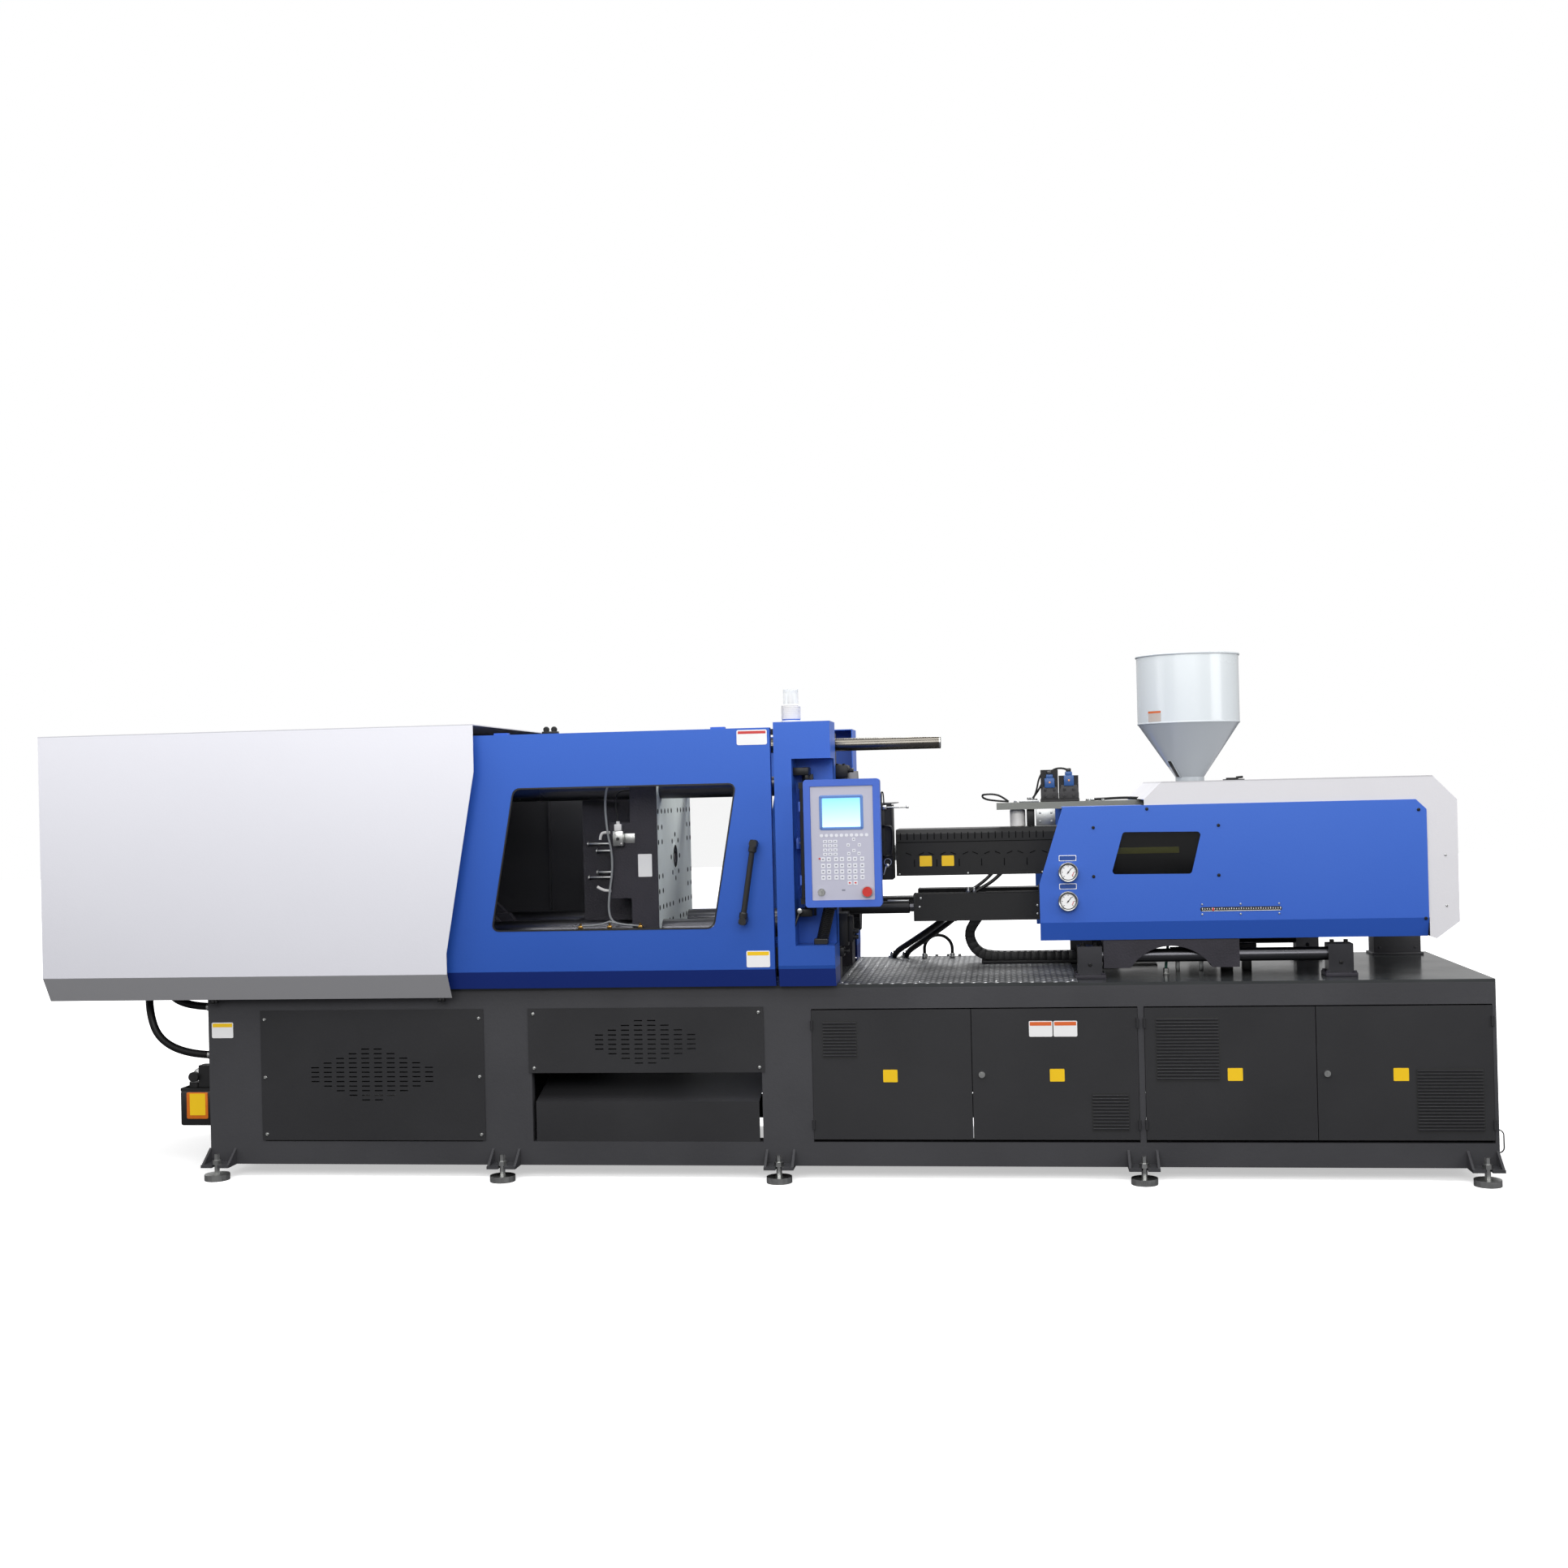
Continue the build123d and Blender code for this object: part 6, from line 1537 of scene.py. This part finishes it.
    def chain(self) -> None:
        """Lay the energy chain: links down from the rear beam, round the bend and along the deck."""
        guide = strand(
            "chain_line", ((1.010, self.chain_y * MILLIMETRE, 1.046), (0.985, 0.22, 1.012), (0.952, 0.22, 0.962),
            (0.968, 0.22, 0.900), (1.010, 0.22, 0.858), (1.080, 0.22, 0.849), (1.180, 0.22, 0.849),
            (1.300, 0.22, 0.849), (1.440, 0.22, 0.849)), 0.0, Shop.BLACK_PLASTIC)
        line = bpy.data.meshes.new_from_object(guide)
        points = [vert.co / MILLIMETRE for vert in line.vertices]
        bpy.data.objects.remove(guide)
        links = Blank("energy_chain")
        walked, start = 0.0, points[0]
        for first, second in zip(points, points[1:]):
            walked += (second - first).length
            if walked < 27.0:
                continue
            middle = (start + second) / 2
            run = second - start
            turn = Matrix.Rotation(math.atan2(run.x, run.z), 3, "Y")
            half = run.length / 2
            for low, high in ((-34, -26), (26, 34)):
                links.block((middle.x - 22, self.chain_y + low, middle.z - half - 4),
                            (middle.x + 22, self.chain_y + high, middle.z + half + 4), bevel=5, turn=turn)
            for side in (-1, 1):
                centre = middle + turn @ Vector((side * 19.0, 0.0, 0.0))
                links.block((centre.x - 2, self.chain_y - 27, centre.z - half * 0.55),
                            (centre.x + 2, self.chain_y + 27, centre.z + half * 0.55), bevel=1.2, turn=turn)
            walked, start = 0.0, second
        links.block((970, self.chain_y - 36, 1040), (1040, self.chain_y + 36, 1052), bevel=2)
        links.piece(Shop.BLACK_PLASTIC, CARRIAGE)
        tray = Blank("chain_tray")
        tray.block((1010, self.chain_y - 42, 818), (1800, self.chain_y + 42, 821), bevel=0.8)
        for side in (-1, 1):
            edge = self.chain_y + side * 42
            tray.block((1010, edge - 1.5, 818), (1800, edge + 1.5, 832), bevel=0.8)
        tray.piece(Shop.BLACKED, BASE)

    def build(self) -> None:
        """Dress the barrel's surroundings."""
        self.cover()
        self.purge()
        self.beams()
        self.chain()


@dataclass
class ValveDress:
    """Valve plate above the injection cylinder."""

    plate_top: float = 1555.0

    def plate(self) -> None:
        """Fix the plate's bolts, edge blocks, oil reservoir and lifting handle."""
        bolts = Blank("valve_plate_bolts")
        hex_bolts(bolts, [(x, y, self.plate_top) for x in (1180, 1232, 1500, 1560) for y in (-84, 84)], 7, 7)
        bolts.piece(Shop.ZINC, CARRIAGE)
        blocks = Blank("valve_plate_blocks")
        blocks.block((1196, -98, self.plate_top - 1), (1282, -30, self.plate_top + 10), bevel=1.5)
        blocks.block((1268, -102, 1452), (1352, -60, 1526), bevel=2)
        blocks.paint(1).block((1228, -70, 1449), (1262, -10, 1526), bevel=2)
        blocks.block((1234, -80, self.plate_top + 9), (1276, -52, self.plate_top + 15), bevel=1)
        blocks.paint(0)
        screw_row(blocks, [(1285, -102, 1508), (1335, -102, 1508), (1285, -102, 1470), (1335, -102, 1470)], 5.0)
        blocks.piece([Shop.MILLED, Shop.BLACKED], CARRIAGE)
        reservoir = Blank("oil_reservoir")
        reservoir.lathe(
            [(0, 0), (31, 0), (34, 3), (34, 70), (32, 74), (24, 76), (0, 76)], (1188, -30, 1449), (0, 0, 1), 40)
        reservoir.piece(Shop.WHITE_PLASTIC, CARRIAGE)
        bent_bar(
            "valve_plate_handle", ((1.150, -0.080, 1.560), (1.118, -0.082, 1.586), (1.080, -0.084, 1.596),
            (1.040, -0.088, 1.594), (1.034, -0.060, 1.590), (1.036, 0.000, 1.578), (1.070, 0.020, 1.566),
            (1.150, 0.020, 1.560)), 0.0045, Shop.BLACKED, CARRIAGE)

    def valves(self) -> None:
        """Give both valves their bodies, screws and blue plugs."""
        for name, left, right, neck, crown in (("front_valve", 1293, 1370, 1621, 1660),
                                               ("rear_valve", 1373, 1459, 1628, 1671)):
            middle = (left + right) / 2
            body = Blank(name)
            body.block((left - 2, -46, self.plate_top), (right + 2, 43, self.plate_top + 14), bevel=2)
            body.slab([(left, self.plate_top + 12), (right, self.plate_top + 12), (right, 1592), (right - 8, neck),
                       (left + 8, neck), (left, 1592)], -52, 11, bevel=3)
            screw_row(body, [(middle + dx, -52, z) for dx in (-20, 20) for z in (1580, 1608)], 6.5)
            body.paint(1).block((middle - 22, -56, neck - 4), (middle + 22, 0, crown), bevel=2.5)
            body.block((middle - 15, -54, crown - 2), (middle + 15, 0, crown + 16), bevel=3)
            body.paint(2).block((middle - 11, -50, crown + 12), (middle + 11, 0, crown + 32), bevel=5)
            body.paint(3).rod((middle, -58, neck + 20), (middle, -55, neck + 20), 4.5, sides=24, bevel=1)
            body.piece([Shop.VALVE_CAST, Shop.PLUG_BLUE, Shop.BLACK_PLASTIC, Shop.LAMP], CARRIAGE)

    def build(self) -> None:
        """Dress the valve plate."""
        self.plate()
        self.valves()


@dataclass
class InjectionDress:
    """Blue cover of the injection unit: window, gauges, ruler, screws and the hood's latch."""

    face_y: float = -480.0
    gauges: tuple[Spot, ...] = ((1388, 1264), (1385, 1143))
    ruler: tuple[float, float, float] = (1931.0, 2251.0, 1100.0)

    def pane(self) -> None:
        """Glaze the window with a smoked pane and hang the olive bar behind it."""
        pane = Blank("unit_window_pane")
        grown = [(1610, 1434), (1946, 1430), (1901, 1240), (1556, 1243)]
        pane.slab(grown, self.face_y + 4.2, 3.0, corner=16)
        pane.piece(Shop.SMOKED, CARRIAGE)
        bar = Blank("unit_window_bar")
        bar.block((1560, -446, 1334), (1848, -438, 1360), bevel=1)
        # A black sheet behind the pane stands for the shade inside the unit: painted shade
        bar.paint(1).block((1540, -436, 1200), (1990, -430, 1460), bevel=1)
        bar.piece([Shop.OLIVE, Shop.INK_AND_SHADE], CARRIAGE)

    def gauge(self, number: int, x: float, z: float) -> None:
        """Build one pressure gauge: bezel, dial, ticks and pointer.

        Args:
            number: which gauge.
            x: middle.
            z: middle.
        """
        front = self.face_y - 22.0
        dial = Blank(f"pressure_gauge_{number}")
        dial.lathe([(34, 0.5), (35, 3.5), (38.5, 5.5), (41, 3.0), (41.5, -6), (41, -20.5)], (x, front, z), steps=64)
        dial.paint(1).lathe([(0, 0.9), (34, 0.9)], (x, front, z), steps=48)
        dial.paint(2).lathe([(31.2, 1.0), (31.2, 1.6), (34.6, 1.6), (34.6, 1.0)], (x, front, z), steps=64)
        for tick in range(31):
            angle = math.radians(225 - 9 * tick)
            inner, width = (22.0, 1.0) if tick % 5 == 0 else (26.5, 0.5)
            self.spoke(dial, x, z, front - 1.0, angle, inner, 30.5, width)
        self.spoke(dial, x, z, front - 1.8, math.radians(52), -9.0, 23.0, 1.3)
        dial.lathe([(0, 3.4), (3.0, 3.2), (3.6, 1.0)], (x, front, z), steps=20)
        dial.paint(3)
        for tick in range(6):
            self.spoke(dial, x, z, front - 1.1, math.radians(-6 - 7 * tick), 19.5, 22.5, 1.1)
        dial.piece([Shop.ZINC, Shop.LABEL_WHITE, Shop.INK_AND_SHADE, Shop.LABEL_RED], CARRIAGE)

    def spoke(self, blank: Blank, x: float, z: float, y: float, angle: float, inner: float, outer: float,
              half: float) -> None:
        """Add a thin mark that points away from the middle of a dial.

        Args:
            blank: the piece that holds it.
            x: the dial's middle.
            z: the dial's middle.
            y: the mark's front.
            angle: its direction.
            inner: where it starts.
            outer: where it ends.
            half: half its width.
        """
        turn = Matrix.Rotation(-angle, 3, "Y")
        middle = (inner + outer) / 2
        centre = Vector((x + middle * math.cos(angle), y, z + middle * math.sin(angle)))
        reach = Vector(((outer - inner) / 2, 0.25, half))
        blank.block(tuple(centre - reach), tuple(centre + reach), turn=turn)

    def plates(self) -> None:
        """Stick the blank strips above the gauges."""
        for number, (x, z) in enumerate(((1387, 1322), (1386, 1204)), 1):
            strip = Blank(f"gauge_strip_{number}")
            strip.plate((x - 36, z - 12), (x + 36, z + 12), self.face_y - 1.2, 1.2, corner=3)
            strip.paint(1).plate((x - 33.5, z - 9.5), (x + 33.5, z + 9.5), self.face_y - 1.7, 0.5, corner=4)
            strip.piece([Shop.LABEL_WHITE, Shop.LABEL_BLUE], CARRIAGE)

    def scale_bar(self) -> None:
        """Set the stroke ruler: dark slot, ticks, red pointer and its six screws."""
        left, right, z = self.ruler
        slot = Blank("stroke_ruler")
        slot.plate((left - 7, z - 9), (right + 2, z + 9), self.face_y - 0.8, 0.8, corner=8.5)
        slot.paint(1)
        for tick in range(33):
            x = left + 2 + tick * (right - left - 6) / 32
            slot.plate((x - 1.2, z - 1), (x + 1.2, z + (6 if tick % 4 == 0 else 4)), self.face_y - 1.2, 0.4)
        slot.plate((left, z - 8), (right - 4, z - 6), self.face_y - 1.2, 0.4)
        slot.paint(2).plate((1973, z - 7), (1980, z + 6), self.face_y - 2.4, 1.6, bevel=0.4)
        slot.piece([Shop.INK_AND_SHADE, Shop.LABEL_WHITE, Shop.LABEL_RED], CARRIAGE)

    def screws(self) -> None:
        """Fix the cover with dark screws and the ruler with bright ones."""
        dark = Blank("unit_cover_screws")
        screw_row(
            dark, [(x, self.face_y, z) for x, z in ((1717, 1520), (1496, 1447), (2006, 1446), (1493, 1243),
            (2003, 1240), (2804, 1493), (2822, 1050))], 7.0)
        dark.piece(Shop.BLACKED, CARRIAGE)
        bright = Blank("ruler_screws")
        screw_row(bright, [(x, self.face_y, z) for x in (1932, 2087, 2242) for z in (1120, 1079)], 4.5)
        bright.piece(Shop.ZINC, CARRIAGE)

    def hood(self) -> None:
        """Fit the hood's latch and screws."""
        latch = Blank("hood_latch")
        latch.block((2040, -420, 1631), (2124, -380, 1636), bevel=1)
        latch.block((2052, -412, 1635), (2100, -388, 1642), bevel=2)
        latch.rod((2092, -400, 1642), (2120, -400, 1644), 5, sides=20, bevel=1)
        latch.piece(Shop.BLACKED, CARRIAGE)
        heads = Blank("hood_screws")
        screw_row(heads, [(2906, -476, 1306), (2906, -476, 1100), (2906, 476, 1306)], 5.0)
        screw_row(heads, [(2906, 476, 1306), (2906, 476, 1100)], 5.0, (0, 1, 0))
        heads.piece(Shop.ZINC, CARRIAGE)

    def build(self) -> None:
        """Dress the injection unit."""
        self.pane()
        for number, (x, z) in enumerate(self.gauges, 1):
            self.gauge(number, x, z)
        self.plates()
        self.scale_bar()
        self.screws()
        self.hood()


@dataclass
class HopperDress:
    """Material hopper: rolled rim, seam, sight slot and its blank plate."""

    centre_x: float = 1945.0
    radius: float = 220.0
    rim: float = 2183.0
    seam: float = 1887.0
    cone_low: float = 1650.0
    neck: float = 62.0
    # The plate's edges as angles round the hopper, from the operator's side
    plate_from: float = -0.95
    plate_to: float = -0.68

    def rims(self) -> None:
        """Roll the rim and bead the seams."""
        beads = Blank("hopper_beads")
        r = self.radius
        beads.lathe([(r - 4, -3), (r - 3, 2), (r, 4.5), (r + 4, 3.5), (r + 5.5, 0), (r + 4, -4), (r + 0.2, -5)],
                    (self.centre_x, 0, self.rim), (0, 0, 1), 96)
        beads.lathe(
            [(r + 0.1, 4), (r + 1.6, 2), (r + 1.6, -1), (r - 1.0, -4)], (self.centre_x, 0, self.seam), (0, 0, 1), 96)
        beads.piece(Shop.HOPPER, CARRIAGE, smooth=60)

    def slot(self) -> None:
        """Frame the sight slot on the cone."""
        slope = math.atan2(self.radius - self.neck, self.seam - self.cone_low)
        turn_round = math.radians(-55)
        out = Vector((math.sin(turn_round), -math.cos(turn_round), 0.0))
        normal = out * math.cos(slope) - Vector((0, 0, 1)) * math.sin(slope)
        down = -out * math.sin(slope) - Vector((0, 0, 1)) * math.cos(slope)
        side = normal.cross(down)
        height = 1688.0
        reach = self.neck + (height - self.cone_low) * math.tan(slope)
        centre = Vector((self.centre_x, 0, height)) + out * reach
        turn = Matrix((side, down, normal)).transposed()
        for name, wide, long, lift, finish in (("hopper_slot_rim", 32, 94, 1.5, Shop.HOPPER),
                                               ("hopper_slot_glass", 20, 84, 2.6, Shop.SMOKED_SOLID)):
            plate = Blank(name)
            low = Vector((-wide / 2, -long / 2, -1.5)) + centre + normal * lift
            high = Vector((wide / 2, long / 2, 1.5)) + centre + normal * lift
            plate.block(tuple(low), tuple(high), bevel=1.0, turn=turn)
            plate.piece(finish, CARRIAGE)

    def plate(self) -> None:
        """Bend the blank plate on the hopper's wall."""
        sticker = Blank("hopper_plate")
        for tone, foot, head, lift in ((0, 1893, 1940, 0.6), (1, 1930, 1938, 1.0)):
            sticker.paint(tone)
            old = len(sticker.mesh.faces)
            sticker.lathe([(self.radius + lift, foot - 1893), (self.radius + lift, head - 1893)],
                          (self.centre_x, 0, 1893), (0, 0, 1), 96)
            sticker.mesh.faces.ensure_lookup_table()
            bearings = [(face, face.calc_center_median()) for face in sticker.mesh.faces[old:]]
            doomed = [
                face for face, spot in bearings if not self.plate_from < math.atan2(spot.x - self.centre_x,
                -spot.y) < self.plate_to]
            bmesh.ops.delete(sticker.mesh, geom=doomed, context="FACES")
        sticker.piece([Shop.LABEL_TAN, Shop.LABEL_ORANGE], CARRIAGE)

    def build(self) -> None:
        """Dress the hopper."""
        self.rims()
        self.slot()
        self.plate()


@dataclass
class UnderUnit:
    """What stands between the deck and the injection unit."""

    def pillars(self) -> None:
        """Bolt the guide pillars to the deck and cap them."""
        bolts = Blank("pillar_bolts")
        for left in (1421, 2440):
            for side in (-1, 1):
                y = side * 400
                hex_bolts(bolts, [(left + 22, y, 948), (left + 78, y, 948)], 10, 12)
                screw_row(bolts, [(left + 50, y - 45, 872)], 9.0)
        bolts.piece(Shop.BLACKED, BASE)
        feet = Blank("pillar_feet")
        for left in (1421, 2440):
            for side in (-1, 1):
                y = side * 400
                feet.block((left - 14, y - 60, DECK_Z), (left + 114, y + 60, DECK_Z + 16), bevel=2)
                hex_bolts(feet, [(left + dx, y + dy, DECK_Z + 16) for dx in (-4, 104) for dy in (-46, 46)], 8, 7)
        feet.piece(Shop.CASTING, BASE)

    def drive(self) -> None:
        """Hang the bright cylinder and the small valves under the unit."""
        motor = Blank("under_unit_cylinder")
        motor.block((1828, -176, 862), (1986, -124, 914), bevel=3)
        for x in (1874, 1900):
            motor.rod((x, -150, 914), (x, -150, 936), 9, sides=24, bevel=1)
        motor.block((1850, -170, DECK_Z), (1866, -130, 862), bevel=1)
        motor.block((1950, -170, DECK_Z), (1966, -130, 862), bevel=1)
        motor.piece(Shop.MILLED, BASE)
        valve = Blank("under_unit_valves")
        valve.block((2030, -180, 880), (2100, -120, 940), bevel=3)
        valve.block((2108, -176, 892), (2190, -124, 930), bevel=3)
        for x in (2042, 2086):
            valve.paint(1).rod((x, -181, 926), (x, -187, 926), 6, sides=20, bevel=1)
            valve.rod((x, -181, 896), (x, -187, 896), 6, sides=20, bevel=1)
            valve.paint(0)
        valve.block((2040, -170, DECK_Z), (2090, -130, 880), bevel=2)
        valve.block((2130, -170, DECK_Z), (2168, -130, 892), bevel=2)
        valve.piece([Shop.BLACKED, Shop.ZINC], BASE)

    def support(self) -> None:
        """Stand the box behind the right end."""
        box = Blank("rear_support_box")
        box.block((2800, 440, DECK_Z), (3009, 560, 966), bevel=3)
        box.block((2790, 430, DECK_Z), (3019, 570, DECK_Z + 10), bevel=2)
        screw_row(box, [(2826, 440, 930), (2984, 440, 930), (2826, 440, 846), (2984, 440, 846)], 6.0)
        box.piece(Shop.GREY_PAINT, BASE)

    def deck_bolts(self) -> None:
        """Lay the tread plate and screw down the fittings along the deck's rear edge."""
        plate = Blank("tread_plate")
        plate.block((417.5, -580.5, DECK_Z + 2), (1412.5, 580.5, DECK_Z + 5.2), bevel=0.6)
        plate.piece(Shop.TREAD, BASE)
        heads = Blank("deck_rear_bolts")
        hex_bolts(heads, [(x, 556, DECK_Z + 5) for x in (740, 790, 845, 900, 1010, 1180, 1350)], 8, 9)
        screw_row(heads, [(x, y, DECK_Z + 5) for x in (436, 760, 1080, 1394) for y in (-548, 548)], 7.0, (0, 0, 1))
        heads.piece(Shop.ZINC, BASE)

    def build(self) -> None:
        """Dress the space under the unit."""
        self.pillars()
        self.drive()
        self.support()
        self.deck_bolts()


def main() -> None:
    """Build every sub-assembly in order."""
    logging.basicConfig(level=logging.INFO, format="%(name)s %(message)s")
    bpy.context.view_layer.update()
    Studio().build()
    Hoses().build()
    Dressing().build()
    for part in (BaseDress(), ClampDress(), ColumnDress(), OperatorPanel(), BarrelDress(), ValveDress(),
                 InjectionDress(), HopperDress(), UnderUnit()):
        part.build()
        log.info("dressed %s", type(part).__name__)


if __name__ == "__main__":
    main()
